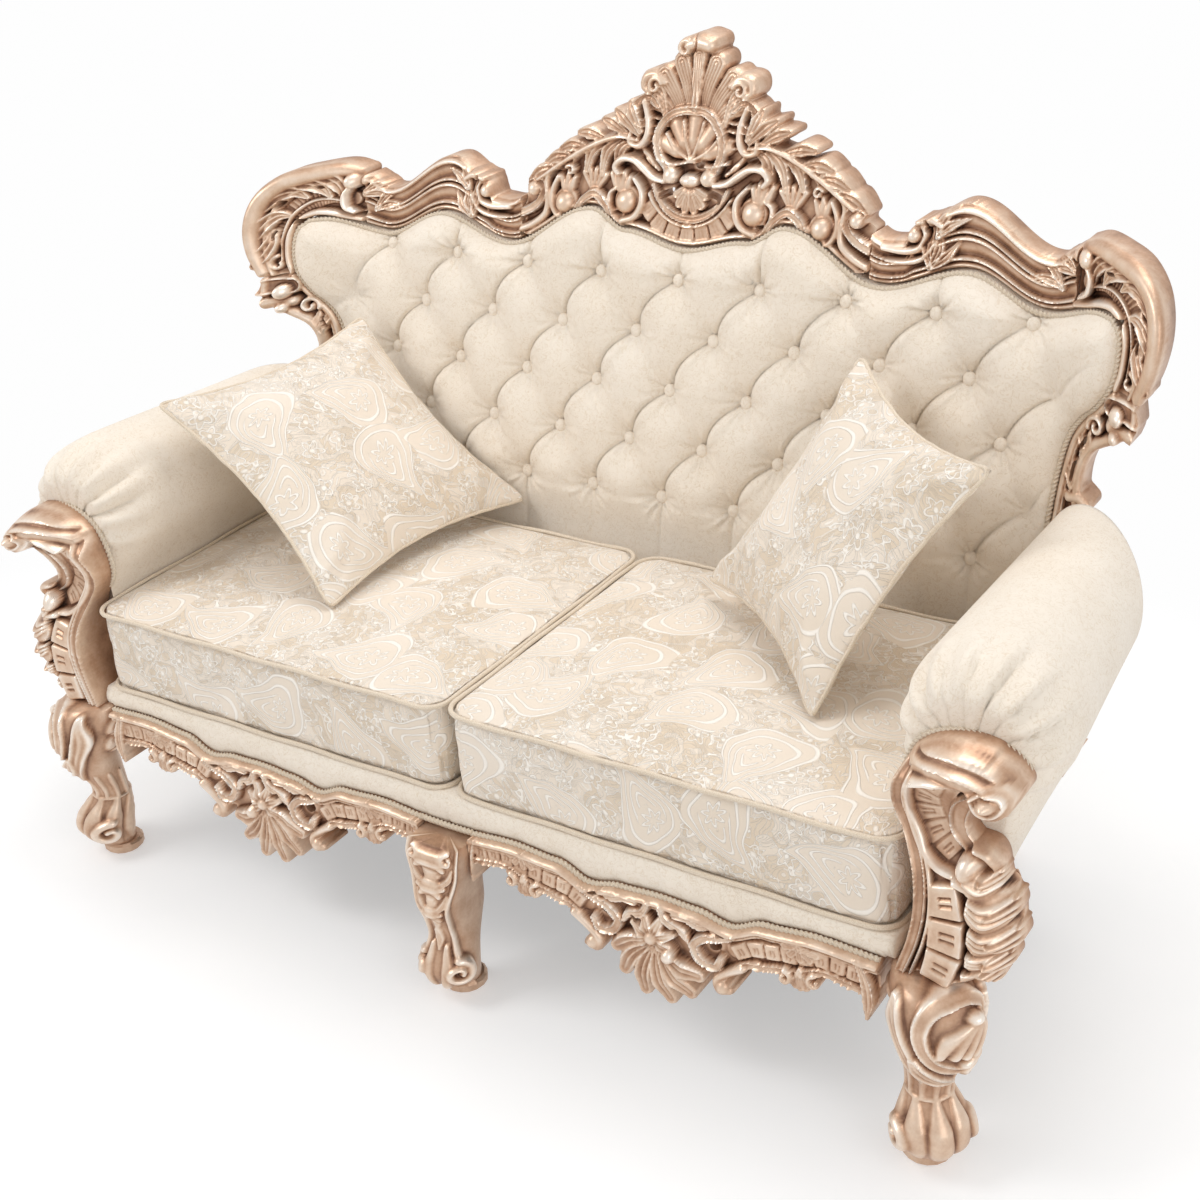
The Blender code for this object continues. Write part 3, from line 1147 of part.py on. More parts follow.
def side_rails(front, back, low):
    """Side rails of the seat, drawn in and sloped under the arms from the front leg backwards."""
    rings = []
    for k in range(8):
        y = lerp(front, front + ARM_DRAW_LENGTH, k / 6) if k < 7 else back
        drawn = drawn_in(y)
        top_x = lerp(SIDE_RAIL_FRONT, SIDE_RAIL_REAR_TOP, drawn)
        low_x = lerp(SIDE_RAIL_FRONT, SIDE_RAIL_REAR_LOW, drawn)
        rings.append([Vector((SIDE_RAIL_X, y, low)), Vector((SIDE_RAIL_X, y, RAIL_TOP)),
                      Vector((top_x, y, RAIL_TOP)), Vector((low_x, y, low))])
    pair(add_object("seat_rail", loft(rings), WOOD), "seat_rail")


def seat_frame():
    """Plain rails, corner blocks, cross rail and webbing inside the seat, and the dust cover."""
    low = RAIL_TOP - RAIL_HEIGHT
    front_y = APRON_BACK_Y + FIT
    front_back = front_y + RAIL_THICKNESS
    leg_inner = LEG_X - LEG_HALF_WIDTH - 0.004
    side_front = LEG_Y + LEG_HALF_WIDTH + 0.012
    box("seat_rail_front", (-leg_inner, front_y, low), (leg_inner, front_back, RAIL_TOP), INNER_WOOD)
    back_end = BACK_RAIL_Y + RAIL_THICKNESS
    inner = SIDE_RAIL_X - FIT
    box("seat_rail_back", (-inner, BACK_RAIL_Y, low), (inner, back_end, RAIL_TOP), INNER_WOOD)
    side_rails(side_front, back_end, low)
    box("cross_rail", (-CROSS_RAIL_WIDTH / 2, front_back + FIT, low),
        (CROSS_RAIL_WIDTH / 2, BACK_RAIL_Y - FIT, RAIL_TOP), INNER_WOOD)
    for stem, y, toward in (("corner_block_rear", BACK_RAIL_Y - FIT, -1.0),
                            ("corner_block_front", side_front + 0.001, 1.0)):
        rings = []
        for z in (low + 0.006, RAIL_TOP - 0.006):
            rings.append([Vector((inner, y, z)), Vector((inner, y + toward * BLOCK_LEG, z)),
                          Vector((inner - BLOCK_LEG, y, z))])
        pair(add_object(stem, loft(rings), INNER_WOOD), stem)
    spacing = 2 * leg_inner / (STRAP_COUNT + 0.4)
    for k in range(STRAP_COUNT):
        x = (k - (STRAP_COUNT - 1) / 2) * spacing
        base = RAIL_TOP + FIT
        box("seat_strap_%d" % (k + 1), (x - STRAP_WIDTH / 2, front_y + 0.002, base),
            (x + STRAP_WIDTH / 2, back_end - 0.002, base + STRAP_THICKNESS), WEBBING)
    cover_top = low - FIT
    cover_x = SIDE_RAIL_X + 0.020
    box("dust_cover", (-cover_x, side_front + 0.004, cover_top - DUST_COVER_THICKNESS),
        (cover_x, back_end - 0.004, cover_top), DUST_CLOTH)


def centre_on_floor():
    """Move the whole sofa so that its bounding box is centred over the origin."""
    bpy.context.view_layer.update()
    graph = bpy.context.evaluated_depsgraph_get()
    low, high = math.inf, -math.inf
    for part in PARTS.objects:
        evaluated = part.evaluated_get(graph)
        for vert in evaluated.data.vertices:
            y = (part.matrix_world @ vert.co).y
            low, high = min(low, y), max(high, y)
    for part in PARTS.objects:
        part.location.y -= (low + high) / 2


def main():
    crest()
    top_rail()
    ear_scroll()
    stile()
    arm_post()
    legs()
    aprons()
    seat_frame()
    inner_back()
    seat_deck()
    back_pad()
    arm_board()
    arm_pad()
    pillows(seat_cushions())
    centre_on_floor()


main()
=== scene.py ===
import math

import bmesh
import bpy
import numpy as np
from mathutils import Matrix, Vector
from mathutils.bvhtree import BVHTree
from mathutils.kdtree import KDTree


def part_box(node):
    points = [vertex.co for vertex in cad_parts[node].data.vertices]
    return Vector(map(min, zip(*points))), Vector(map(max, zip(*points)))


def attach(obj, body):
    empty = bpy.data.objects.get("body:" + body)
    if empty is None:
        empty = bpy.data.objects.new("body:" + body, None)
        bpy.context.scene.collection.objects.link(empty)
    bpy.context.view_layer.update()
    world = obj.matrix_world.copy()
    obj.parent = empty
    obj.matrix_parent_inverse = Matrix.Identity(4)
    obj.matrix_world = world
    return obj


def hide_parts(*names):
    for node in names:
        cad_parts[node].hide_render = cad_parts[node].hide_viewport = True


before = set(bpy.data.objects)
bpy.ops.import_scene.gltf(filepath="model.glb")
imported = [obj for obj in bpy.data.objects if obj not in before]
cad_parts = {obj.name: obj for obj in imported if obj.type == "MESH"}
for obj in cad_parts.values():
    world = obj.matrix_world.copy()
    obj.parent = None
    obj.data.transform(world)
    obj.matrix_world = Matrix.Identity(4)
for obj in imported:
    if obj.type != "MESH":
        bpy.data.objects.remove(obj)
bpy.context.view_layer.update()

bl_info = {
    "name": "Carved Two-Seater Sofa",
    "version": (1, 0, 0),
    "blender": (4, 5, 0),
    "location": "3D View > Sidebar > Sofa",
    "description": "Dresses a carved, gilded and tufted two-seater sofa around its fixed frame",
    "category": "Object",
}

BODY = "sofa_frame"

# The sofa is laid out from the front edge of its seat cushions, and SHIFT carries it to the frame.
MIDDLE_LEG_Y = -0.009
_low, _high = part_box("foot_pad_middle")
SHIFT = np.array((0.0, (_low[1] + _high[1]) / 2 - MIDDLE_LEG_Y, 0.0))

# Back: a plane that leans, with ends that curve forward (metres)
BACK_FOOT_Y = 0.500
BACK_LEAN = 0.257
WRAP_START = 0.600
WRAP_SLOPE = 0.837
WRAP_EASE = 0.030
CARVING_DEPTH = 0.035
TRIM_KNOTS = ((0.0, 0.932), (0.110, 0.952), (0.175, 0.980), (0.340, 0.911), (0.475, 0.946),
              (0.600, 0.903), (0.700, 0.932))
RAIL_KNOTS = ((0.342, 0.977), (0.372, 0.979), (0.392, 1.010), (0.462, 1.038), (0.600, 0.976),
              (0.640, 0.998))

# Upholstered back
TUFT_ROWS = 5
TUFT_TOP_Z = 0.886
TUFT_BOTTOM_Z = 0.545
TUFT_PITCH = (0.134, 0.1458)
PAD_RISE = 0.014
PAD_BOTTOM_Z = 0.3315
PAD_SIDE_X = 0.652

# Arms, seat and fronts
SEAT_HALF_WIDTH = 0.7036
RAIL_TOP = 0.2977
POST_FRONT_Y = -0.010
POST_DEPTH = 0.061
APRON_FRONT_Y = -0.012
APRON_DEPTH = 0.0417
APRON_CENTRE_X = 0.357
CUSHION_BOTTOM = 0.330
CUSHION_EDGE = 0.140


def lerp(a, b, t):
    return a + (b - a) * t


def ease(t):
    return 0.5 - 0.5 * np.cos(np.pi * np.clip(t, 0.0, 1.0))


def eased(knots, x):
    """Height at x, or at each x of an array, of a wave that turns level at each knot."""
    x = np.asarray(x, float)
    height = np.full(x.shape, float(knots[0][1]))
    for (x0, h0), (x1, h1) in zip(knots, knots[1:]):
        height = np.where(x > x0, lerp(h0, h1, ease((x - x0) / (x1 - x0))), height)
    return height


def trim_z(x):
    """Height of the upholstered back's serpentine top edge."""
    return eased(TRIM_KNOTS, np.abs(x))


def rail_top_z(x):
    """Height of the carved top rail's outer edge."""
    rise = np.maximum(0.342 - np.abs(x), 0.0) / 0.024
    return eased(RAIL_KNOTS, np.abs(x)) + 0.010 * rise ** 2


def wrap(x):
    """How far the back's ends come forward at x."""
    t = np.maximum(np.abs(x) - WRAP_START, 0.0)
    return WRAP_SLOPE * (np.hypot(t, WRAP_EASE) - WRAP_EASE)


def lean(x, relief, z):
    """Points of the back, given upright, on the leaning and wrapped back."""
    return np.stack([x, BACK_FOOT_Y + BACK_LEAN * z - wrap(x) - relief, z], -1)


def upright(front_y):
    """Placement for fronts that stand upright, with relief counted forward from front_y."""
    return lambda x, relief, z: np.stack([x, front_y - relief, z], -1)


def border_low_z(x):
    """Lower edge of the fabric border, which the apron's top follows."""
    away = np.abs(np.abs(x) - APRON_CENTRE_X)
    knots = ((0.0, 0.280), (0.060, 0.277), (0.110, 0.267), (0.165, 0.287), (0.240, 0.293), (0.330, 0.288))
    return eased(knots, away) + 0.020 * (np.abs(x) - APRON_CENTRE_X)


def through(points, count=0):
    """A smooth path through control points, as an array."""
    knots = np.array(points, float)
    count = count or 8 * (len(knots) - 1) + 1
    padded = np.vstack([2 * knots[0] - knots[1], knots, 2 * knots[-1] - knots[-2]])
    at = np.linspace(0, len(knots) - 1, count)
    i = np.minimum(at.astype(int), len(knots) - 2)
    t = (at - i)[:, None]
    p0, p1, p2, p3 = (padded[i + k] for k in range(4))
    return 0.5 * (2 * p1 + (p2 - p0) * t + (2 * p0 - 5 * p1 + 4 * p2 - p3) * t * t
                  + (3 * p1 - p0 - 3 * p2 + p3) * t ** 3)


def arc(centre, radius, start, end):
    """Path of an arc given in degrees."""
    angle = np.radians(np.linspace(start, end, max(int(abs(end - start) / 9), 4)))
    return np.stack([centre[0] + radius * np.cos(angle), centre[1] + radius * np.sin(angle)], -1)


def volute(centre, radius, start, turns, tight=0.25):
    """Path of a scroll that winds in to its eye, from the angle start in degrees."""
    t = np.linspace(0.0, 1.0, max(int(abs(turns) * 36), 8))
    angle = np.radians(start + 360.0 * turns * t)
    reach = radius * lerp(1.0, tight, t)
    return np.stack([centre[0] + reach * np.cos(angle), centre[1] + reach * np.sin(angle)], -1)


def one_side(field, side, centre=0.0):
    """A stroke function that takes its points outwards from a centre line."""
    return lambda points, *section: field.stroke([(centre + side * x, z) for x, z in points], *section)


def rays(draw, directions, stages, *section):
    """Draw one stroke in each direction, in degrees, through stages that are each a centre and
    two half axes (x, z, a, b)."""
    for degrees in directions:
        c, s = math.cos(math.radians(degrees)), math.sin(math.radians(degrees))
        draw([(x + a * c, z + b * s) for x, z, a, b in stages], *section)


def petal(root, degrees, reach, bend=0.0):
    """Points of a petal from its root, the middle one set aside by the bend."""
    c, s = math.cos(math.radians(degrees)), math.sin(math.radians(degrees))
    x, z = root
    middle = (x + 0.55 * reach * c + bend * s, z + 0.55 * reach * s - bend * c)
    return [root, middle, (x + reach * c, z + reach * s)]


# Cross-sections of carved strokes: u runs from edge to edge (-1 to 1), v from start to end

def rim(u, width=0.14):
    return np.sqrt(np.clip((1.0 - np.abs(u)) / width, 0.0, 1.0))


def rounded(u, v):
    return np.sqrt(np.maximum(1.0 - u * u, 0.0))


def coved(u, v):
    """Two fillets with a hollow between."""
    fillet = np.exp(-((np.abs(u) - 0.74) / 0.17) ** 2)
    return np.maximum(fillet, 0.34 + 0.22 * u * u) * rim(u)


def leafy(u, v):
    """A finger of a leaf: its rims turned up, and hollow on both sides of a low midrib."""
    hollow = 0.50 + 0.50 * np.exp(-((np.abs(u) - 0.72) / 0.24) ** 2)
    midrib = 0.34 * np.exp(-(u / 0.15) ** 2)
    return rim(u, 0.24) * np.minimum(hollow + midrib, 1.0) * (1.0 - 0.25 * v * v)


def fluted(u, v):
    """Three narrow flutes side by side."""
    return rim(u) * (0.66 + 0.34 * np.cos(3.0 * np.pi * u) ** 2)


def ribbed(count):
    """Ribs that cross the stroke."""
    return lambda u, v: rim(u) * (0.55 + 0.45 * np.cos(2 * np.pi * count * v))


def blocks(count, scored=0.45):
    """A row of blocks, each scored twice across its middle."""
    def shape(u, v):
        phase = np.mod(v * count, 1.0)
        gap = np.clip(np.minimum(phase, 1.0 - phase) / 0.09, 0.0, 1.0) ** 0.6
        score = np.exp(-((phase - 0.40) / 0.05) ** 2) + np.exp(-((phase - 0.60) / 0.05) ** 2)
        return rim(u, 0.1) * gap * (1.0 - scored * score * (np.abs(u + 0.1) < 0.42))
    return shape


class Carving:
    """A carved relief: heights on a fine upright grid, and how far each point is inside its outline."""

    def __init__(self, low, high, step):
        self.step = step
        self.x, self.z = np.meshgrid(np.arange(low[0], high[0] + step, step),
                                     np.arange(low[1], high[1] + step, step))
        self.height = np.full_like(self.x, -0.004)
        self.inside = np.full_like(self.x, -4.0 * step)
        self.drawn_back = 0.0

    def window(self, low, high):
        """The part of the grid between two corners."""
        spans = []
        for grid, a, b, axis in ((self.z, low[1], high[1], 0), (self.x, low[0], high[0], 1)):
            first = int((a - grid[0, 0]) / self.step) - 1
            last = int((b - grid[0, 0]) / self.step) + 3
            spans.append(slice(min(max(first, 0), grid.shape[axis] - 1), max(last, 1)))
        return tuple(spans)

    def near(self, path, reach):
        """The part of the grid round a path, with its distance, side and place along it."""
        window = self.window(path.min(0) - reach, path.max(0) + reach)
        x, z = self.x[window], self.z[window]
        best = np.full(x.shape, np.inf)
        side, along = np.zeros(x.shape), np.zeros(x.shape)
        for k, (a, b) in enumerate(zip(path[:-1], path[1:])):
            run = b - a
            t = np.clip(((x - a[0]) * run[0] + (z - a[1]) * run[1]) / max(run @ run, 1e-12), 0.0, 1.0)
            off_x, off_z = x - a[0] - t * run[0], z - a[1] - t * run[1]
            away = np.hypot(off_x, off_z)
            closer = away < best
            best = np.where(closer, away, best)
            side = np.where(closer, np.sign(run[0] * off_z - run[1] * off_x), side)
            along = np.where(closer, (k + t) / (len(path) - 1), along)
        return window, best, side, along

    def stroke(self, path, half, rise, base=0.0, shape=rounded):
        """Add a band of wood along a path; half width and rise may be lists, for a taper."""
        path = np.asarray(path, float) if len(path) > 9 else through(path)
        half, rise = np.atleast_1d(half), np.atleast_1d(rise)
        window, away, side, along = self.near(path, half.max() + 3 * self.step)
        width = np.interp(along, np.linspace(0, 1, len(half)), half)
        lift = np.interp(along, np.linspace(0, 1, len(rise)), rise)
        across = np.clip(side * away / np.maximum(width, 1e-6), -1.0, 1.0)
        top = base + lift * shape(across, along)
        self.raise_to(window, width - away, top)

    def raise_to(self, window, margin, top):
        """Raise part of the grid to a height, where its margin inside the new shape is positive."""
        lifted = (margin > -0.2 * self.step) & (top > self.height[window])
        self.height[window] = np.where(lifted, top, self.height[window])
        self.inside[window] = np.maximum(self.inside[window], margin)

    def bead(self, centre, radius, rise, base=0.0, flatten=1.0):
        """Add a dome."""
        window = self.window(np.array(centre) - radius * 1.3, np.array(centre) + radius * 1.3)
        away = np.hypot(self.x[window] - centre[0], (self.z[window] - centre[1]) / flatten)
        self.raise_to(window, radius - away, base + rise * np.sqrt(np.maximum(1.0 - (away / radius) ** 2, 0.0)))

    def groove(self, path, half, depth):
        """Cut a channel along a path."""
        window, away, _, _ = self.near(through(path), half + self.step)
        self.height[window] -= depth * np.maximum(1.0 - (away / half) ** 2, 0.0)

    def pierce(self, path, half):
        """Cut right through along a path."""
        window, away, _, _ = self.near(np.array(path, float), half + 3 * self.step)
        self.inside[window] = np.minimum(self.inside[window], away - half)

    def fill(self, outline, top):
        """Add a plate inside a closed outline."""
        outline = np.vstack([outline, outline[:1]])
        window, away, _, _ = self.near(outline, 3 * self.step)
        x, z = self.x[window], self.z[window]
        odd = np.zeros(x.shape, bool)
        for a, b in zip(outline[:-1], outline[1:]):
            crosses = (a[1] > z) != (b[1] > z)
            run = b[1] - a[1] if b[1] != a[1] else 1.0
            odd ^= crosses & (x < (b[0] - a[0]) * (z - a[1]) / run + a[0])
        self.raise_to(window, np.where(odd, away, -away), np.full(x.shape, top))

    def band(self, low, high, shape, span):
        """Add a moulding between two curves low(x) and high(x), with shape(t) as its section."""
        bottom, top = low(self.x), high(self.x)
        t = (self.z - bottom) / np.maximum(top - bottom, 1e-6)
        slope = np.hypot(1.0, np.gradient(top, self.step, axis=1))
        margin = np.minimum(np.minimum(self.z - bottom, top - self.z) / slope,
                            np.minimum(self.x - span[0], span[1] - self.x))
        self.raise_to((slice(None), slice(None)), margin, shape(np.clip(t, 0.0, 1.0)))

    def trim(self, margin):
        """Keep only what is also inside another outline."""
        self.inside = np.minimum(self.inside, margin)

    def blurred(self, values, size):
        """Values averaged over a square of the given size, inside the outline only."""
        cells = max(int(size / self.step / 2), 1)
        weight = (self.inside > 0.0).astype(float)
        totals = []
        for field in (values * weight, weight):
            for axis in (0, 1):
                field = np.concatenate([np.zeros_like(np.take(field, [0], axis)), np.cumsum(field, axis)], axis)
                n = field.shape[axis] - 1
                high = np.minimum(np.arange(n) + cells + 1, n)
                low = np.maximum(np.arange(n) - cells, 0)
                field = np.take(field, high, axis) - np.take(field, low, axis)
            totals.append(field)
        return totals[0] / np.maximum(totals[1], 1e-9)

    def patina_and_painted_light(self):
        """Signed height over the surroundings, kept as a tone: the recesses darker, as wax patina and painted shade,
        and the high edges lighter, as rubbed leaf and a painted highlight.
        """
        fine = (self.height - self.blurred(self.height, 0.007)) / 0.0040
        broad = (self.height - self.blurred(self.height, 0.024)) / 0.0090
        return lerp(0.15, np.tanh(0.60 * fine + 0.65 * broad), np.clip(self.inside / 0.005, 0.0, 1.0))

    def kept_cells(self):
        """Grid cells of the one connected carving, with no cells that meet at a corner only."""
        inside = self.inside
        cells = (inside[:-1, :-1] + inside[1:, :-1] + inside[:-1, 1:] + inside[1:, 1:]) > 0.0
        a, b, c, d = cells[:-1, :-1], cells[1:, 1:], cells[1:, :-1], cells[:-1, 1:]
        for _ in range(3):
            c |= a & b & ~c & ~d
            a |= c & d & ~a & ~b
        labels = np.where(cells, np.arange(cells.size).reshape(cells.shape) + 1, 0)
        while True:
            grown = np.pad(labels, 1)
            grown = np.maximum(np.maximum(grown[:-2], grown[1:-1]), grown[2:])
            grown = np.where(cells, np.maximum(np.maximum(grown[:, :-2], grown[:, 1:-1]), grown[:, 2:]), 0)
            if (grown == labels).all():
                break
            labels = grown
        names, counts = np.unique(labels[labels > 0], return_counts=True)
        return labels == names[counts.argmax()]

    def solid(self, place, depth):
        """Points, faces and per-point patina and painted light of the carving, cut out and given its thickness."""
        self.height = lerp(self.height, self.blurred(self.height, 2 * self.step), 0.5)
        patina_and_painted_light = self.patina_and_painted_light()
        self.height = self.height - self.drawn_back
        cells = self.kept_cells()
        rows, columns = cells.shape
        used = np.zeros(self.x.shape, bool)
        open_side = np.zeros(self.x.shape, bool)
        padded = np.pad(cells, 1)
        for dj in (0, 1):
            for di in (0, 1):
                neighbour = padded[dj:dj + rows + 1, di:di + columns + 1]
                used |= neighbour
                open_side |= ~neighbour
        edge = used & open_side
        slope_z, slope_x = np.gradient(self.inside, self.step)
        steep = np.maximum(slope_x ** 2 + slope_z ** 2, 0.25)
        reach = np.clip(self.inside, -self.step, self.step) / steep
        x = np.where(edge, self.x - reach * slope_x, self.x)
        z = np.where(edge, self.z - reach * slope_z, self.z)
        index = np.full(self.x.shape, -1)
        index[used] = np.arange(used.sum())
        count = int(used.sum())
        j, i = np.nonzero(cells)
        a, b, c, d = index[j, i], index[j, i + 1], index[j + 1, i + 1], index[j + 1, i]
        faces = [np.stack([a, b, c, d], 1), np.stack([d, c, b, a], 1) + count]
        walls = []
        for dj, di, p, q in ((-1, 0, (0, 0), (0, 1)), (1, 0, (1, 1), (1, 0)),
                             (0, -1, (1, 0), (0, 0)), (0, 1, (0, 1), (1, 1))):
            lone = cells & ~padded[1 + dj:1 + dj + rows, 1 + di:1 + di + columns]
            j, i = np.nonzero(lone)
            walls.append(np.stack([index[j + p[0], i + p[1]], index[j + q[0], i + q[1]]], 1))
        start, end = np.vstack(walls).T
        faces.append(np.stack([start + count, end + count, end, start], 1))
        # The cut edge is faired along its own line, so that the walls behind it come out clean
        flat = np.stack([x[used], self.height[used], z[used]], 1)
        for _ in range(5):
            total = np.zeros_like(flat)
            np.add.at(total, start, flat[end])
            np.add.at(total, end, flat[start])
            share = np.zeros(count)
            np.add.at(share, np.concatenate([start, end]), 1.0)
            rim_points = share > 0
            flat[rim_points] = 0.5 * (flat[rim_points] + total[rim_points] / share[rim_points, None])
        x, height, z = flat.T
        front, back = place(x, height, z), place(x, np.full(count, -depth), z)
        # The cut rim gets a set tone, and the back face a dark one: painted shade that also darkens the walls towards
        # the back.
        patina_and_light_per_point = np.where(rim_points, 0.1, patina_and_painted_light[used])
        return np.vstack([front, back]), np.vstack(faces), np.concatenate([patina_and_light_per_point, np.full(count, -0.35)])


# Meshes and materials

def linked(name, data):
    """A new object in the scene."""
    made = bpy.data.objects.new(name, data)
    bpy.context.scene.collection.objects.link(made)
    return made


def linear(code):
    """An sRGB hex colour as the linear colour that a shader takes."""
    values = [int(code[k:k + 2], 16) / 255 for k in (1, 3, 5)]
    return tuple(v / 12.92 if v <= 0.04045 else ((v + 0.055) / 1.055) ** 2.4 for v in values) + (1.0,)


def build(name, points, faces, finish, slot="gilt_wood", body=BODY, stands_for=(), patina_and_painted_light=None):
    """A finished piece: its mesh in place, its material, and what it rides on and stands for."""
    mesh = bpy.data.meshes.new(name)
    mesh.from_pydata((np.asarray(points) + SHIFT).tolist(), [], listed(faces))
    mesh.shade_smooth()
    mesh.materials.append(finish)
    if patina_and_painted_light is not None:
        mesh.set_sharp_from_angle(angle=math.radians(62))
        # The carving's tone: wax patina and painted shade in its recesses, rubbed leaf and a painted highlight on its
        # high edges.
        mesh.attributes.new("patina_and_painted_light", "FLOAT", "POINT").data.foreach_set("value", patina_and_painted_light.astype(np.float32))
    return settle_in(linked(name, mesh), slot, body, stands_for)


def listed(faces):
    return faces.tolist() if isinstance(faces, np.ndarray) else faces


def settle_in(piece, slot, body=BODY, stands_for=()):
    """Say what a piece rides on and hide the CAD nodes that it stands for; its slot is not used."""
    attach(piece, body)
    if stands_for:
        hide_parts(*stands_for)
    return piece


def build_pair(stem, points, faces, finish, slot="gilt_wood", stands_for=(), patina_and_painted_light=None):
    """A piece on the +X side and its mirror image on the other side."""
    names = [[node + "_" + hand for node in stands_for] for hand in ("right", "left")]
    turned = [face[::-1] for face in listed(faces)]
    right = build(stem + "_right", points, faces, finish, slot, BODY, names[0], patina_and_painted_light)
    left = build(stem + "_left", np.asarray(points) * (-1, 1, 1), turned, finish, slot, BODY, names[1], patina_and_painted_light)
    return right, left


def tube(rings):
    """Points and quads of a closed shell through rings of equal count, with fanned end caps."""
    rings = np.asarray(rings)
    rows, count = rings.shape[:2]
    k = np.arange(rows * count).reshape(rows, count)
    after = np.roll(k, -1, 1)
    quads = np.stack([k[:-1], after[:-1], after[1:], k[1:]], -1).reshape(-1, 4)
    points = np.vstack([rings.reshape(-1, 3), rings[0].mean(0), rings[-1].mean(0)])
    first, last = rows * count, rows * count + 1
    low = np.stack([after[0], k[0], np.full(count, first)], 1)
    high = np.stack([k[-1], after[-1], np.full(count, last)], 1)
    return points, [list(q) for q in quads.tolist() + low.tolist() + high.tolist()]


def slab(face, back):
    """Points and quads of a closed sheet between two grids of equal size; face looks forward."""
    rows, columns = face.shape[:2]
    count = rows * columns
    k = np.arange(count).reshape(rows, columns)
    near = np.stack([k[:-1, :-1], k[1:, :-1], k[1:, 1:], k[:-1, 1:]], -1).reshape(-1, 4)
    edge = np.concatenate([k[0, :-1], k[:-1, -1], k[-1, :0:-1], k[::-1, 0][:-1]])
    after = np.roll(edge, -1)
    walls = np.stack([edge, after, after + count, edge + count], 1)
    points = np.vstack([face.reshape(-1, 3), back.reshape(-1, 3)])
    return points, np.vstack([near, near[:, ::-1] + count, walls])


def add(tree, kind, inputs=None, stops=(), **settings):
    """Add one node, with its settings, a ramp's colour stops, and what each input holds or is fed by."""
    node = tree.nodes.new(kind)
    while stops and len(node.color_ramp.elements) < len(stops):
        node.color_ramp.elements.new(0.5)
    for k, (place, colour) in enumerate(stops):
        node.color_ramp.elements[k].position = place
        node.color_ramp.elements[k].color = linear(colour) if isinstance(colour, str) else colour
    for name, value in settings.items():
        setattr(node, name, value)
    for key, value in (inputs or {}).items():
        if isinstance(value, bpy.types.NodeSocket):
            tree.links.new(value, node.inputs[key])
        else:
            node.inputs[key].default_value = value
    return node


def work(tree, sockets, steps):
    """Carry out a table of sums, (name, operation, value or name, ...), on named sockets."""
    for name, operation, *values in steps:
        given = {k: sockets.get(value, value) for k, value in enumerate(values)}
        sockets[name] = add(tree, "ShaderNodeMath", given, operation=operation).outputs[0]
    return sockets


def dress(tree, shader, colour, height, strength, distance, gloss=None):
    """Join a shader to its colour, its bump and, where it varies, its roughness."""
    tree.links.new(colour, shader.inputs["Base Color"])
    if gloss is not None:
        tree.links.new(gloss, shader.inputs["Roughness"])
    bump = add(tree, "ShaderNodeBump", {"Height": height, "Strength": strength, "Distance": distance})
    tree.links.new(bump.outputs[0], shader.inputs["Normal"])


def surface(name, **values):
    """A new material, its tree and its shader, with fixed values on the shader's own sockets."""
    made = bpy.data.materials.new(name)
    made.use_nodes = True
    shader = made.node_tree.nodes["Principled BSDF"]
    for key, value in values.items():
        shader.inputs[key.replace("_", " ")].default_value = value
    return made, made.node_tree, shader


def rose_gold_leaf(colours):
    """Carved beech under rose-gold leaf: satin metal, lightened to champagne on the high edges by rubbed leaf and a
    painted highlight, with brown wax and painted shade in the recesses, and the faint cracks and blotches of hand-laid
    leaf."""
    made, tree, shader = surface("rose_gold_leaf_on_carved_beech", Metallic=0.55)
    where = add(tree, "ShaderNodeTexCoord").outputs["Object"]
    # The carving's tone: wax patina and painted shade below zero, rubbed leaf and a painted highlight above.
    patina_and_painted_light = add(tree, "ShaderNodeAttribute", attribute_name="patina_and_painted_light").outputs["Fac"]
    blotch = add(tree, "ShaderNodeTexNoise", {"Vector": where, "Scale": 34.0, "Detail": 3.0}).outputs[0]
    leaf = add(tree, "ShaderNodeTexNoise", {"Vector": where, "Scale": 210.0, "Detail": 4.0,
                                            "Roughness": 0.65}).outputs[0]
    sockets = work(tree, {"patina_and_painted_light": patina_and_painted_light, "blotch": blotch, "leaf": leaf}, (
        ("toned", "MULTIPLY_ADD", "patina_and_painted_light", 0.42, 0.50),
        ("cloud", "MULTIPLY_ADD", "blotch", 0.26, -0.13),
        ("flake", "MULTIPLY_ADD", "leaf", 0.12, -0.06),
        ("mixed", "ADD", "toned", "cloud"),
        ("tone", "ADD", "mixed", "flake"),
        ("gloss", "MULTIPLY_ADD", "tone", -0.28, 0.52),
    ))
    # Stops from the recesses to the high edges: the darker ones are painted shade as well as wax, the lighter ones a
    # painted highlight as well as leaf on the swells and rubbed edges.
    colour = add(tree, "ShaderNodeValToRGB", {0: sockets["tone"]}, stops=(
        (0.08, colours.gilt_wax_and_shade), (0.26, colours.gilt_shade), (0.43, colours.gilt_leaf),
        (0.58, colours.gilt_swell_highlight), (0.82, colours.gilt_rubbed_highlight))).outputs[0]
    dress(tree, shader, colour, leaf, 0.22, 0.0012, sockets["gloss"])
    return made


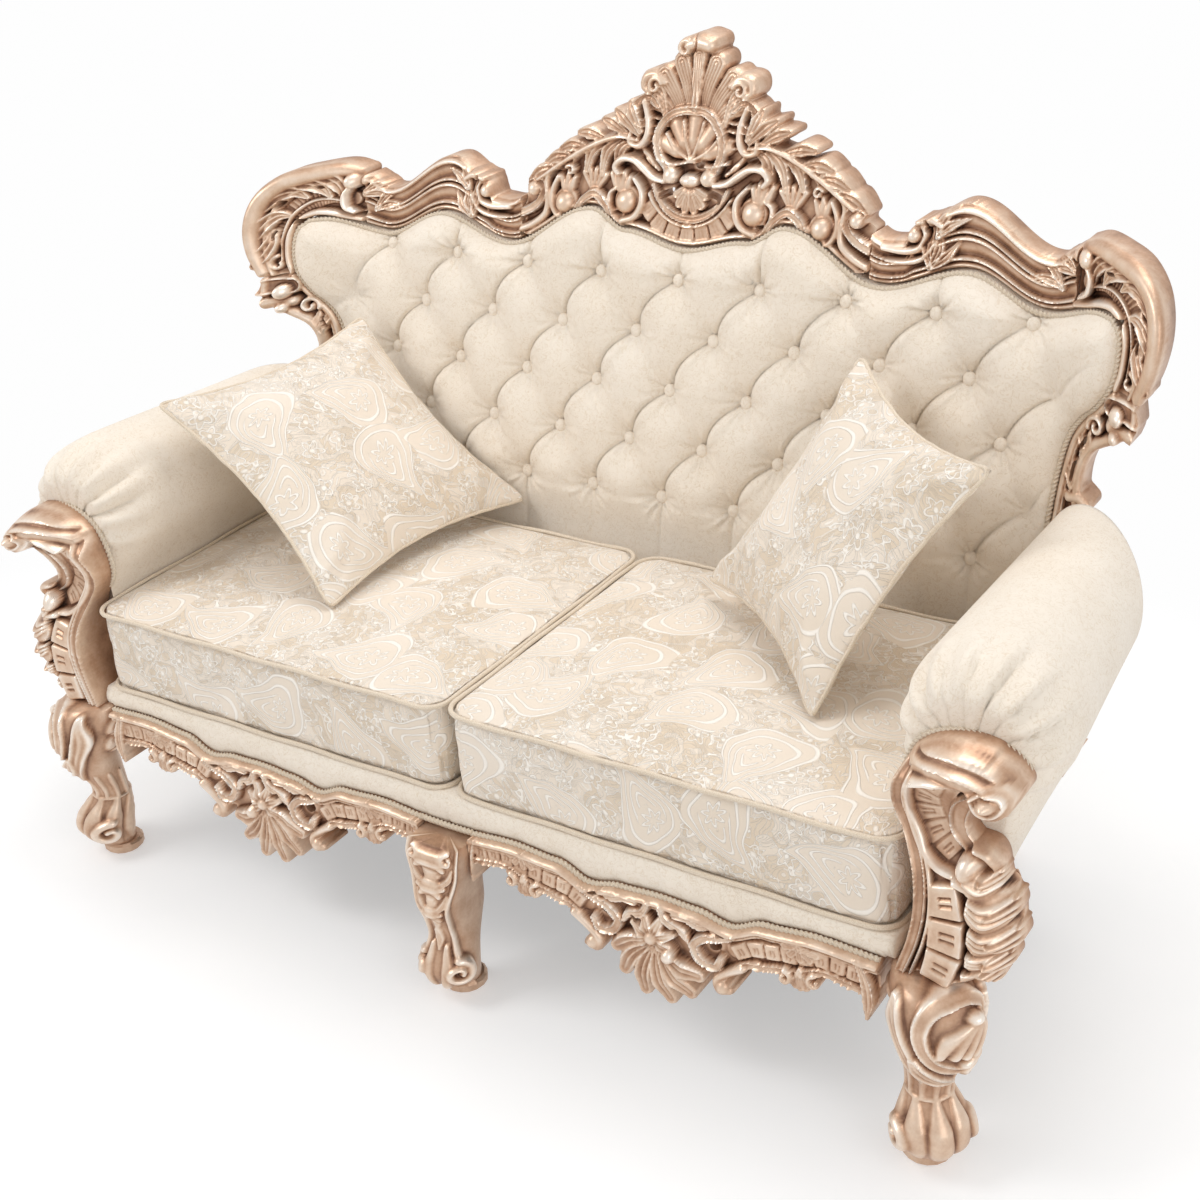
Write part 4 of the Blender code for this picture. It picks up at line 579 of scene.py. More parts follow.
def cream_plain_weave(colours):
    """Cream upholstery cloth: a plain weave, matt, with the small worm-like figure of its embossed
    ground, drawn at 7 mm so that it shows, and the soft bloom of its nap."""
    made, tree, shader = surface("cream_cotton_plain_weave", Roughness=0.92, Sheen_Weight=0.25,
                                 Sheen_Roughness=0.6)
    where = add(tree, "ShaderNodeTexCoord").outputs["Object"]
    fleck = add(tree, "ShaderNodeTexNoise", {"Vector": where, "Scale": 95.0, "Detail": 1.0,
                                             "Distortion": 1.6}).outputs[0]
    shade = add(tree, "ShaderNodeTexNoise", {"Vector": where, "Scale": 9.0, "Detail": 2.0}).outputs[0]
    thread = add(tree, "ShaderNodeTexNoise", {"Vector": where, "Scale": 620.0, "Detail": 1.0}).outputs[0]
    sockets = work(tree, {"fleck": fleck, "shade": shade, "thread": thread}, (
        ("from_middle", "SUBTRACT", "fleck", 0.5),
        ("line", "ABSOLUTE", "from_middle"),
        ("thin", "DIVIDE", "line", 0.045),
        ("worm", "MINIMUM", "thin", 1.0),
        ("tone", "MULTIPLY_ADD", "shade", 0.30, 0.26),
        ("marked", "MULTIPLY_ADD", "worm", 0.24, "tone"),
        ("relief", "MULTIPLY_ADD", "thread", 0.25, "worm"),
    ))
    colour = add(tree, "ShaderNodeValToRGB", {0: sockets["marked"]}, stops=(
        (0.25, colours.weave_dark), (0.50, colours.weave), (0.75, colours.weave_light))).outputs[0]
    dress(tree, shader, colour, sockets["relief"], 0.45, 0.0007)
    return made


def scattered(tree, where, pitch, loose):
    """Motif places strewn over the cloth: local coordinates in motif sizes, turned at random."""
    cell = add(tree, "ShaderNodeTexVoronoi", {"Vector": where, "Scale": 1.0 / pitch, "Randomness": loose},
               voronoi_dimensions="2D", feature="F1")
    local = add(tree, "ShaderNodeVectorMath", {0: where, 1: cell.outputs["Position"]}, operation="SUBTRACT")
    chance = add(tree, "ShaderNodeSeparateColor", {0: cell.outputs["Color"]}).outputs
    angle = work(tree, {"chance": chance[0]}, (("angle", "MULTIPLY", "chance", 2 * math.pi),))["angle"]
    turned = add(tree, "ShaderNodeVectorRotate", {"Vector": local.outputs[0], "Angle": angle},
                 rotation_type="Z_AXIS")
    axes = add(tree, "ShaderNodeSeparateXYZ", {0: turned.outputs[0]}).outputs
    return work(tree, {"x0": axes[0], "y0": axes[1]}, (
        ("x", "DIVIDE", "x0", pitch / 2),
        ("y", "DIVIDE", "y0", pitch / 2),
    ))


def jacquard(colours):
    """Tone-on-tone jacquard: a satin figure of paisleys, small flowers and tendrils, woven raised on
    a duller ground, so that it shows by its sheen and its relief more than by its colour."""
    made, tree, shader = surface("cream_jacquard_weave", Sheen_Weight=0.2, Sheen_Roughness=0.5)
    flat = add(tree, "ShaderNodeUVMap", uv_map="cloth").outputs[0]
    stir = add(tree, "ShaderNodeTexNoise", {"Vector": flat, "Scale": 14.0, "Detail": 1.0},
               noise_dimensions="2D").outputs["Color"]
    sway = add(tree, "ShaderNodeVectorMath", {0: stir, 1: (0.022, 0.022, 0.0)}, operation="MULTIPLY")
    where = add(tree, "ShaderNodeVectorMath", {0: flat, 1: sway.outputs[0]}, operation="ADD").outputs[0]

    paisley = work(tree, scattered(tree, where, 0.145, 0.55), (
        ("y2", "MULTIPLY", "y", "y"),
        ("bent", "MULTIPLY_ADD", "y2", 0.42, "x"),
        ("taper", "MULTIPLY_ADD", "y", -0.44, 0.58),
        ("width", "MAXIMUM", "taper", 0.07),
        ("q", "DIVIDE", "bent", "width"),
        ("q2", "MULTIPLY", "q", "q"),
        ("sum", "MULTIPLY_ADD", "y2", 1.15, "q2"),
        ("d", "SQRT", "sum"),
        ("wave", "MULTIPLY", "d", 25.0),
        ("ring", "SINE", "wave"),
        ("line", "SUBTRACT", "ring", 0.45),
        ("within", "LESS_THAN", "d", 1.12),
        ("outlines", "MULTIPLY", "line", "within"),
        ("low_y", "ADD", "y", 0.28),
        ("angle", "ARCTAN2", "bent", "low_y"),
        ("turns", "MULTIPLY", "angle", 7.0),
        ("petal", "COSINE", "turns"),
        ("ly2", "MULTIPLY", "low_y", "low_y"),
        ("r2", "MULTIPLY_ADD", "bent", "bent", "ly2"),
        ("r", "SQRT", "r2"),
        ("edge", "MULTIPLY_ADD", "petal", 0.07, 0.20),
        ("off", "SUBTRACT", "r", "edge"),
        ("away", "ABSOLUTE", "off"),
        ("flower", "MULTIPLY_ADD", "away", -22.0, 1.0),
        ("heart", "GREATER_THAN", "r", 0.36),
        ("rings", "MULTIPLY", "outlines", "heart"),
        ("figure", "MAXIMUM", "rings", "flower"),
    ))
    small = work(tree, dict(scattered(tree, where, 0.050, 0.8), outside=paisley["within"]), (
        ("angle", "ARCTAN2", "x", "y"),
        ("turns", "MULTIPLY", "angle", 5.0),
        ("petal", "COSINE", "turns"),
        ("y2", "MULTIPLY", "y", "y"),
        ("r2", "MULTIPLY_ADD", "x", "x", "y2"),
        ("r", "SQRT", "r2"),
        ("edge", "MULTIPLY_ADD", "petal", 0.16, 0.50),
        ("off", "SUBTRACT", "r", "edge"),
        ("away", "ABSOLUTE", "off"),
        ("line", "MULTIPLY_ADD", "away", -12.0, 1.0),
        ("dot", "MULTIPLY_ADD", "r", -6.0, 1.1),
        ("flower", "MAXIMUM", "line", "dot"),
        ("free", "SUBTRACT", 1.0, "outside"),
        ("figure", "MULTIPLY", "flower", "free"),
    ))
    vine = add(tree, "ShaderNodeTexNoise", {"Vector": where, "Scale": 21.0, "Detail": 0.0,
                                            "Distortion": 2.2}, noise_dimensions="2D").outputs[0]
    leaf = add(tree, "ShaderNodeTexNoise", {"Vector": where, "Scale": 34.0, "Detail": 0.0,
                                            "Distortion": 1.4}, noise_dimensions="2D").outputs[0]
    spread = add(tree, "ShaderNodeTexNoise", {"Vector": flat, "Scale": 7.0, "Detail": 1.0},
                 noise_dimensions="2D").outputs[0]
    thread = add(tree, "ShaderNodeTexNoise", {"Vector": flat, "Scale": 560.0}, noise_dimensions="2D").outputs[0]
    sockets = work(tree, {"paisley": paisley["figure"], "small": small["figure"], "free": small["free"],
                          "vine": vine, "leaf": leaf, "spread": spread, "thread": thread}, (
        ("phase", "MULTIPLY", "vine", 37.0),
        ("swirl", "SINE", "phase"),
        ("thin", "SUBTRACT", "swirl", 0.72),
        ("tendril", "MULTIPLY", "thin", "free"),
        ("both", "MAXIMUM", "paisley", "small"),
        ("lines", "MAXIMUM", "both", "tendril"),
        # Massed leaves, duller than the ground, each with a raised outline
        ("gather", "MULTIPLY_ADD", "spread", 0.55, "leaf"),
        ("over", "SUBTRACT", "gather", 0.775),
        ("steep", "MULTIPLY", "over", 34.0),
        ("some", "MAXIMUM", "steep", 0.0),
        ("full", "MINIMUM", "some", 1.0),
        ("mass", "MULTIPLY", "full", "free"),
        ("rim", "ABSOLUTE", "over"),
        ("thread_line", "MULTIPLY_ADD", "rim", -26.0, 0.8),
        ("outline", "MULTIPLY", "thread_line", "free"),
        ("all", "MAXIMUM", "lines", "outline"),
        ("sharp", "MULTIPLY", "all", 2.4),
        ("low", "MAXIMUM", "sharp", 0.0),
        ("raised", "MINIMUM", "low", 1.0),
        ("duller", "MULTIPLY_ADD", "mass", -0.14, 0.45),
        ("ground", "MULTIPLY_ADD", "spread", -0.16, "duller"),
        ("tone", "MULTIPLY_ADD", "raised", 0.38, "ground"),
        ("gloss", "MULTIPLY_ADD", "raised", -0.14, 0.82),
        ("relief", "MULTIPLY_ADD", "thread", 0.22, "raised"),
    ))
    colour = add(tree, "ShaderNodeValToRGB", {0: sockets["tone"]}, stops=(
        (0.10, colours.figure_dark), (0.40, colours.figure_ground), (0.72, colours.figure_light))).outputs[0]
    dress(tree, shader, colour, sockets["relief"], 0.85, 0.0015, sockets["gloss"])
    return made


def viscose_cord(colours):
    """Twisted viscose cord: silky, with the fine lay of its yarns."""
    made, tree, shader = surface("cream_viscose_cord", Roughness=0.62, Sheen_Weight=0.3)
    where = add(tree, "ShaderNodeTexCoord").outputs["Object"]
    yarn = add(tree, "ShaderNodeTexNoise", {"Vector": where, "Scale": 900.0, "Detail": 1.0}).outputs[0]
    colour = add(tree, "ShaderNodeValToRGB", {0: yarn}, stops=(
        (0.3, colours.cord_dark), (0.7, colours.cord_light))).outputs[0]
    dress(tree, shader, colour, yarn, 0.3, 0.0004)
    return made


def planed_beech(colours):
    """Planed beech of the inner frame: pale brown, with a straight grain and short dark flecks."""
    made, tree, shader = surface("planed_beech", Roughness=0.6)
    where = add(tree, "ShaderNodeTexCoord").outputs["Object"]
    along = add(tree, "ShaderNodeMapping", {"Vector": where, "Scale": (1.0, 14.0, 14.0)}).outputs[0]
    grain = add(tree, "ShaderNodeTexNoise", {"Vector": along, "Scale": 16.0, "Detail": 6.0}).outputs[0]
    colour = add(tree, "ShaderNodeValToRGB", {0: grain}, stops=(
        (0.3, colours.beech_dark), (0.7, colours.beech_light))).outputs[0]
    dress(tree, shader, colour, grain, 0.15, 0.0006)
    return made


def woven(name, dark, light, pitch, roughness):
    """A coarse over-and-under weave of the given thread pitch in metres, for webbing and the
    spun cloth under the seat."""
    made, tree, shader = surface(name, Roughness=roughness)
    where = add(tree, "ShaderNodeTexCoord").outputs["Object"]
    weave = add(tree, "ShaderNodeTexChecker", {"Vector": where, "Scale": 1.0 / pitch}).outputs["Fac"]
    fuzz = add(tree, "ShaderNodeTexNoise", {"Vector": where, "Scale": 0.35 / pitch, "Detail": 3.0}).outputs[0]
    tone = work(tree, {"weave": weave, "fuzz": fuzz}, (("tone", "MULTIPLY_ADD", "weave", 0.3, "fuzz"),))["tone"]
    colour = add(tree, "ShaderNodeValToRGB", {0: tone}, stops=((0.3, dark), (0.9, light))).outputs[0]
    dress(tree, shader, colour, tone, 0.4, 0.0006)
    return made


FINISHES = {}


def finishes(colours):
    """The sofa's materials, made once."""
    if not FINISHES:
        FINISHES.update(
            gilt=rose_gold_leaf(colours), plain=cream_plain_weave(colours), figured=jacquard(colours),
            cord=viscose_cord(colours), beech=planed_beech(colours),
            jute=woven("jute_webbing", colours.jute_dark, colours.jute_light, 0.003, 0.9),
            dust=woven("spun_bonded_polypropylene", colours.dust_dark, colours.dust_light, 0.002, 0.95))


def finish_node(node, finish):
    """Give a CAD node, whose shape stays, one of the sofa's materials."""
    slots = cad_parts[node].data.materials
    slots.clear()
    slots.append(finish)


# Carved pieces

RAIL_ENDS = (0.3184, 0.6398)
STILE_ENDS = (0.298, 0.8424)


def gilded(make, name, node, points, faces, patina_and_painted_light):
    """A carved piece, or a pair of them, in gilt wood, for its CAD node or nodes."""
    return make(name, points, faces, FINISHES["gilt"], stands_for=[node], patina_and_painted_light=patina_and_painted_light)


def crest_half(field, side):
    """The strokes of one side of the crest, from the back layer to the front."""
    stroke = one_side(field, side)
    # Plume: fluted leaves that fan up from behind the ring
    for k, (degrees, reach) in enumerate(((50, 0.116), (64, 0.137), (78, 0.147))):
        angle = math.radians(degrees)
        start = (0.040 * math.cos(angle), 1.068 + 0.048 * math.sin(angle))
        end = (reach * math.cos(angle), 1.062 + reach * math.sin(angle))
        bend = (lerp(start[0], end[0], 0.55) - 0.005, lerp(start[1], end[1], 0.55))
        stroke((start, bend, end), (0.004, 0.0125, 0.0165), (0.006, 0.011, 0.014), 0.001 + 0.0012 * k, fluted)
    # Curl beside the plume, and its stem down to the ring
    stroke(((0.050, 1.112), (0.058, 1.138), (0.066, 1.158), (0.080, 1.170)), (0.004, 0.008, 0.010), 0.010,
           0.006, leafy)
    stroke(((0.058, 1.175), (0.074, 1.186), (0.092, 1.182), (0.096, 1.168), (0.085, 1.160)),
           (0.006, 0.009, 0.007), 0.014, 0.005)
    field.stroke(volute((side * 0.076, 1.169), 0.013, 90 + side * 70, -side * 1.1), (0.0045, 0.003), 0.009,
                 0.012)
    # Double C curls over the slope, with combs of short bars between them and the ring
    stroke(((0.068, 1.140), (0.084, 1.152), (0.104, 1.143), (0.109, 1.123), (0.094, 1.112), (0.082, 1.121)),
           (0.005, 0.008, 0.006), 0.014, 0.008, coved)
    stroke(((0.092, 1.146), (0.083, 1.120), (0.083, 1.096), (0.095, 1.080), (0.113, 1.083), (0.114, 1.096)),
           (0.005, 0.007, 0.004), 0.013, 0.009)
    for k in range(5):
        z = 1.083 + 0.012 * k
        stroke(((0.058, z + 0.002), (0.068, z), (0.080, z + 0.003)), (0.0032, 0.0026), 0.007, 0.003)

    # Acanthus spray down the slope: lobes that hang from its spine, lobes that stand up from it
    # and give the silhouette, and the spine over their roots
    hanging = (((0.110, 1.084), (0.140, 1.040)), ((0.132, 1.086), (0.167, 1.031)),
               ((0.156, 1.082), (0.197, 1.034)), ((0.182, 1.070), (0.231, 1.038)))
    standing = (((0.250, 1.036), (0.304, 1.010)), ((0.220, 1.054), (0.273, 1.040)),
                ((0.190, 1.070), (0.245, 1.064)), ((0.158, 1.084), (0.212, 1.091)),
                ((0.120, 1.094), (0.166, 1.114)), ((0.100, 1.096), (0.143, 1.129)),
                ((0.096, 1.100), (0.118, 1.142)))
    for k, (root, tip) in enumerate(hanging + standing):
        sag = 0.010 if k < len(hanging) else 0.005
        middle = (lerp(root[0], tip[0], 0.55) + sag * 0.6, lerp(root[1], tip[1], 0.55) + sag)
        stroke((root, middle, tip), (0.0050, 0.0118, 0.0060), (0.010, 0.016, 0.011), 0.002 + 0.0008 * k, leafy)
    stroke(((0.100, 1.088), (0.140, 1.090), (0.190, 1.072), (0.236, 1.046), (0.286, 1.014)),
           (0.003, 0.0048, 0.0045, 0.0030), 0.010, 0.012)
    field.stroke(volute((side * 0.224, 1.033), 0.009, 90 - side * 60, side * 0.9), (0.0035, 0.0025), 0.008, 0.012)

    # S-stem from the small bead out to its curl, over the cabochon
    stroke(((0.046, 1.030), (0.066, 1.034), (0.084, 1.046), (0.104, 1.058), (0.126, 1.058), (0.138, 1.046),
            (0.131, 1.036)), (0.005, 0.0065, 0.0065, 0.005), 0.012, 0.011)
    stroke(((0.060, 1.044), (0.078, 1.058), (0.094, 1.076)), (0.003, 0.005, 0.003), 0.008, 0.004, fluted)
    # Cabochon of petals, fluted fan, and outer petals
    rays(stroke, (62, 84, 106, 130), ((0.122, 1.003, 0, 0), (0.128, 1.003, 0.018, 0.016),
                                      (0.131, 1.004, 0.031, 0.033)), (0.004, 0.009, 0.006), 0.012, 0.002)
    rays(stroke, (58, 75, 92, 109, 124), [(0.180, 0.996, r, r) for r in (0, 0.019, 0.040)],
         (0.002, 0.004, 0.0055), 0.009, 0.001)
    rays(stroke, (64, 92, 120), ((0.232, 0.988, 0, 0), (0.232, 0.990, 0.014, 0.018), (0.232, 0.990, 0.028, 0.036)),
         (0.004, 0.0085, 0.005), 0.011, 0.001)
    # Beads in their cups
    for x, z, radius in ((0.115, 0.993, 0.0195), (0.233, 0.982, 0.0178)):
        field.stroke(arc((side * x, z), radius + 0.002, 0, 359), 0.0028, 0.006, 0.004)
        field.bead((side * x, z), radius, 0.021, 0.004)
    stroke(((0.214, 0.956), (0.244, 0.960), (0.258, 0.978), (0.258, 1.000), (0.248, 1.022)),
           (0.003, 0.006, 0.0045), 0.012, 0.005)
    stroke(((0.258, 1.034), (0.270, 1.014), (0.266, 0.985), (0.270, 0.962), (0.292, 0.944), (0.320, 0.932)),
           (0.004, 0.006, 0.007, 0.006), 0.012, 0.006)
    # Scroll end over the rail
    stroke(((0.300, 1.008), (0.284, 1.012), (0.273, 1.000), (0.280, 0.982), (0.297, 0.968), (0.320, 0.958)),
           (0.006, 0.007, 0.0075, 0.0075), 0.013, 0.008, coved)
    field.bead((side * 0.292, 1.000), 0.0125, 0.016, 0.010)
    # Hood over the upholstery's peak, with an inner fillet
    stroke(((0.120, 0.955), (0.139, 0.966), (0.152, 0.986), (0.175, 1.001), (0.198, 0.988), (0.212, 0.966),
            (0.234, 0.951)), (0.004, 0.006, 0.0075, 0.006, 0.004), 0.015, 0.008, coved)
    # Cup that holds the large bead, and the block band's side
    stroke(((0.102, 1.030), (0.087, 1.012), (0.086, 0.990), (0.098, 0.972), (0.120, 0.964)),
           (0.004, 0.007, 0.006), 0.013, 0.007)
    stroke(((0.135, 1.012), (0.147, 1.003), (0.146, 0.985), (0.135, 0.972)), (0.003, 0.005, 0.003), 0.010, 0.006)
    # Small bead of the S-stem's root
    field.bead((side * 0.034, 1.040), 0.0138, 0.016, 0.012)


def crest():
    """Cartouche of the top rail: plume, finial, ringed shell, crescent of blocks and acanthus."""
    field = Carving((-0.325, 0.928), (0.325, 1.256), 0.0018)
    slope = ((0.322, 0.985), (0.298, 1.000), (0.262, 1.020), (0.232, 1.040), (0.206, 1.058), (0.150, 1.090),
             (0.108, 1.118), (0.088, 1.142), (0.066, 1.160), (0.042, 1.180), (0.020, 1.206), (0.0, 1.218))
    right = np.array(slope)
    base = np.linspace(-slope[0][0], slope[0][0], 81)
    field.fill(np.vstack([right, right[::-1] * (-1, 1), np.stack([base, trim_z(base)], -1)]), -0.003)
    for side in (1.0, -1.0):
        crest_half(field, side)

    # Shell: concave lobes with thin ribs between, inside its ring
    rays(field.stroke, (22, 56, 90, 124, 158), [(0.0, 1.064, r, r) for r in (0, 0.030, 0.060)],
         (0.004, 0.0135, 0.0155), (0.008, 0.018, 0.015), 0.001)
    for degrees in (0, 39, 73, 107, 141, 180):
        c, s = math.cos(math.radians(degrees)), math.sin(math.radians(degrees))
        field.stroke([(0.0, 1.062), (0.032 * c + 0.006 * s * c, 1.062 + 0.032 * s - 0.006 * c * c),
                      (0.062 * c, 1.062 + 0.062 * s)], 0.0030, 0.008, 0.011)
    field.stroke([(-0.040, 1.050), (-0.061, 1.074), (-0.062, 1.104), (-0.040, 1.129), (-0.006, 1.137),
                  (0.026, 1.132), (0.048, 1.108), (0.054, 1.078), (0.044, 1.050)], 0.0068, 0.015, 0.010, coved)
    field.bead((0.0, 1.034), 0.018, 0.012, 0.013, 0.58)
    field.bead((0.0, 1.034), 0.009, 0.005, 0.022, 0.6)
    # Palmette below the shell
    for degrees, length in ((212, 0.030), (236, 0.036), (258, 0.038), (282, 0.038), (304, 0.036), (328, 0.030)):
        field.stroke(petal((0.0, 1.026), degrees, length), (0.003, 0.0065, 0.0075), (0.008, 0.011, 0.007),
                     0.005, leafy)
    # Ring moulding and the crescent of scored blocks
    field.stroke(arc((0.0, 1.046), 0.071, 200, 340), (0.004, 0.0065, 0.0065, 0.004), 0.014, 0.005, coved)
    field.stroke(arc((0.0, 1.048), 0.096, 214, 326), 0.0165, 0.010, 0.001, blocks(7, 0.12))
    field.stroke(arc((0.0, 1.048), 0.0835, 208, 332), 0.0030, 0.012, 0.004)
    # Rolled finial with its curled leaf
    field.stroke([(0.0, 1.140), (0.0, 1.180), (0.001, 1.218)], (0.006, 0.0095, 0.0125), 0.015, 0.006, fluted)
    field.stroke([(-0.016, 1.232), (0.002, 1.2355), (0.019, 1.2325)], (0.0125, 0.0145, 0.0135), 0.022, 0.006)
    field.stroke(volute((-0.021, 1.227), 0.0125, 60, 1.1), (0.0050, 0.0030), 0.010, 0.018)
    field.groove([(-0.006, 1.246), (-0.002, 1.232), (-0.012, 1.218)], 0.0022, 0.006)
    # Double fillet along the upholstery
    along = np.linspace(-0.316, 0.316, 90)
    field.stroke(np.stack([along, trim_z(along) + 0.008], -1), 0.0042, 0.011, 0.004)
    field.pierce([(0.006, 1.054), (0.018, 1.056)], 0.006)
    for side in (1.0, -1.0):
        field.pierce([(side * 0.036, 1.012), (side * 0.052, 1.006)], 0.0055)
        field.pierce([(side * 0.098, 1.068), (side * 0.108, 1.069)], 0.0045)
        field.pierce([(side * 0.124, 0.974), (side * 0.134, 0.975)], 0.0035)
    field.trim(field.z - trim_z(field.x) - 0.003)
    field.trim(0.3175 - np.abs(field.x))
    gilded(build, "crest_carving", "crest_cartouche", *field.solid(lean, CARVING_DEPTH))


def flames(field, root, fan, length, half, rise, base):
    """A fan of curved pointed leaves from one root; fan lists (direction, bend) in degrees."""
    for degrees, bend in fan:
        a, b = math.radians(degrees), math.radians(degrees + bend)
        middle = (root[0] + 0.5 * length * math.cos(a), root[1] + 0.5 * length * math.sin(a))
        tip = (middle[0] + 0.55 * length * math.cos(b), middle[1] + 0.55 * length * math.sin(b))
        field.stroke([root, middle, tip], (half * 0.5, half, half * 0.25), (rise, rise, rise * 0.5),
                     base, leafy)


def top_rails():
    """Serpentine rails with three mouldings and coves, broken by flame leaves."""
    field = Carving((0.312, 0.900), (0.646, 1.046), 0.0016)

    def section(t):
        ridges = np.zeros_like(t)
        for centre, half, height in ((0.05, 0.045, 0.010), (0.15, 0.040, 0.013), (0.47, 0.045, 0.014),
                                     (0.57, 0.040, 0.012), (0.90, 0.060, 0.015)):
            away = np.abs(t - centre) / half
            ridges = np.maximum(ridges, height * np.sqrt(np.maximum(1.0 - away * away, 0.0)))
        cove = 0.006 * np.cos(2 * np.pi * (t - 0.15) / 0.42)
        return np.maximum(ridges, 0.002 + np.where((t > 0.15) & (t < 0.95), -cove * 0.5, 0.0)) + 0.007 * t

    field.band(lambda x: trim_z(x) + 0.003, rail_top_z, section, RAIL_ENDS)
    # The rail's first part ends in a ball, and its second starts over it with a broken corner
    field.bead((0.387, 0.990), 0.0125, 0.018, 0.012)
    field.stroke([(0.340, 0.968), (0.372, 0.966), (0.396, 0.972), (0.405, 0.990), (0.398, 1.004)],
                 (0.006, 0.007, 0.006, 0.003), 0.014, 0.010)
    field.stroke([(0.345, 0.950), (0.375, 0.950), (0.402, 0.958), (0.420, 0.980)], (0.003, 0.006, 0.003), 0.013, 0.008)
    field.stroke([(0.392, 1.008), (0.412, 1.014), (0.430, 1.006)], (0.005, 0.007, 0.004), 0.012, 0.016)
    flames(field, (0.416, 0.946), ((104, -26), (66, 28), (36, 16)), 0.054, 0.0095, 0.018, 0.005)
    flames(field, (0.424, 0.990), ((76, -34), (44, -22)), 0.050, 0.0085, 0.016, 0.010)
    flames(field, (0.620, 0.940), ((160, 20), (126, 30)), 0.052, 0.0085, 0.015, 0.007)
    flames(field, (0.642, 0.966), ((176, 16), (144, 26)), 0.046, 0.0080, 0.015, 0.010)
    field.bead((0.640, 0.990), 0.010, 0.016, 0.010)
    field.groove([(0.404, 1.012), (0.410, 0.992), (0.404, 0.976)], 0.0025, 0.010)
    field.trim(rail_top_z(field.x) + 0.002 - field.z)
    field.trim(np.minimum(field.x - RAIL_ENDS[0], RAIL_ENDS[1] - field.x))
    field.trim(field.z - trim_z(field.x) - 0.003)
    gilded(build_pair, "top_rail_carving", "top_rail", *field.solid(lean, CARVING_DEPTH))


def ear_scrolls():
    """Pierced C-scroll at each end of the back: a rolled outer band, ribs and flame leaves."""
    field = Carving((0.636, 0.838), (0.822, 1.026), 0.0012)
    outer = through([(0.652, 1.001), (0.678, 1.008), (0.718, 1.004), (0.754, 0.995), (0.781, 0.970),
                     (0.7925, 0.930), (0.7895, 0.888), (0.777, 0.850)])
    field.fill(through([(0.641, 0.935), (0.641, 0.995), (0.690, 1.004), (0.745, 0.996), (0.782, 0.965),
                        (0.793, 0.920), (0.786, 0.870), (0.775, 0.845), (0.733, 0.843), (0.740, 0.880),
                        (0.735, 0.915), (0.715, 0.936), (0.690, 0.934)]), -0.003)
    field.stroke(outer, (0.010, 0.0135, 0.0150, 0.0150, 0.0150, 0.013, 0.011),
                 (0.014, 0.022, 0.025, 0.025, 0.023, 0.018), 0.005)
    field.stroke(outer + (-0.0175, -0.0165), (0.003, 0.0048, 0.0048, 0.004), 0.014, 0.005)
    field.stroke([(0.660, 0.958), (0.692, 0.968), (0.723, 0.959), (0.748, 0.932), (0.757, 0.896), (0.754, 0.850)],
                 (0.012, 0.018, 0.018, 0.015), 0.004, 0.001, ribbed(30))
    field.stroke([(0.641, 0.924), (0.664, 0.931), (0.690, 0.940), (0.712, 0.941), (0.732, 0.929), (0.7425, 0.905),
                  (0.7425, 0.870), (0.736, 0.846)], (0.004, 0.0055, 0.0055, 0.0055), 0.013, 0.007)
    field.stroke([(0.660, 0.952), (0.690, 0.962), (0.716, 0.960), (0.741, 0.940), (0.753, 0.906), (0.753, 0.866)],
                 (0.002, 0.003, 0.002), 0.008, 0.006)
    # Long flame leaves that lick inwards from the band
    for leaf in (((0.788, 0.862), (0.776, 0.880), (0.766, 0.900), (0.768, 0.918)),
                 ((0.790, 0.905), (0.777, 0.928), (0.760, 0.942), (0.744, 0.940)),
                 ((0.780, 0.955), (0.760, 0.975), (0.738, 0.980), (0.722, 0.968)),
                 ((0.744, 0.992), (0.720, 0.992), (0.700, 0.982), (0.690, 0.966)),
                 ((0.700, 1.000), (0.682, 0.992), (0.672, 0.978), (0.672, 0.962))):
        field.stroke(leaf, (0.0085, 0.0135, 0.0115, 0.0035), (0.012, 0.018, 0.018, 0.010), 0.007, leafy)
    field.stroke([(0.655, 0.985), (0.666, 0.968), (0.664, 0.948), (0.651, 0.938)], (0.005, 0.0065, 0.003),
                 0.015, 0.012)
    field.bead((0.655, 0.990), 0.0135, 0.020, 0.014)
    field.stroke(volute((0.757, 0.862), 0.013, 80, -0.8), (0.004, 0.003), 0.010, 0.008)
    field.pierce([(0.752, 0.966), (0.760, 0.958)], 0.0036)
    field.pierce([(0.697, 0.984), (0.706, 0.985)], 0.0030)
    field.pierce([(0.764, 0.915), (0.765, 0.903)], 0.0026)
    field.trim(np.minimum(field.x - 0.6403, field.z - 0.8427))
    field.trim(np.where(field.x < 0.735, field.z - trim_z(np.minimum(field.x, 0.70)) - 0.003, 1.0))
    gilded(build_pair, "ear_carving", "ear_scroll", *field.solid(lean, CARVING_DEPTH))


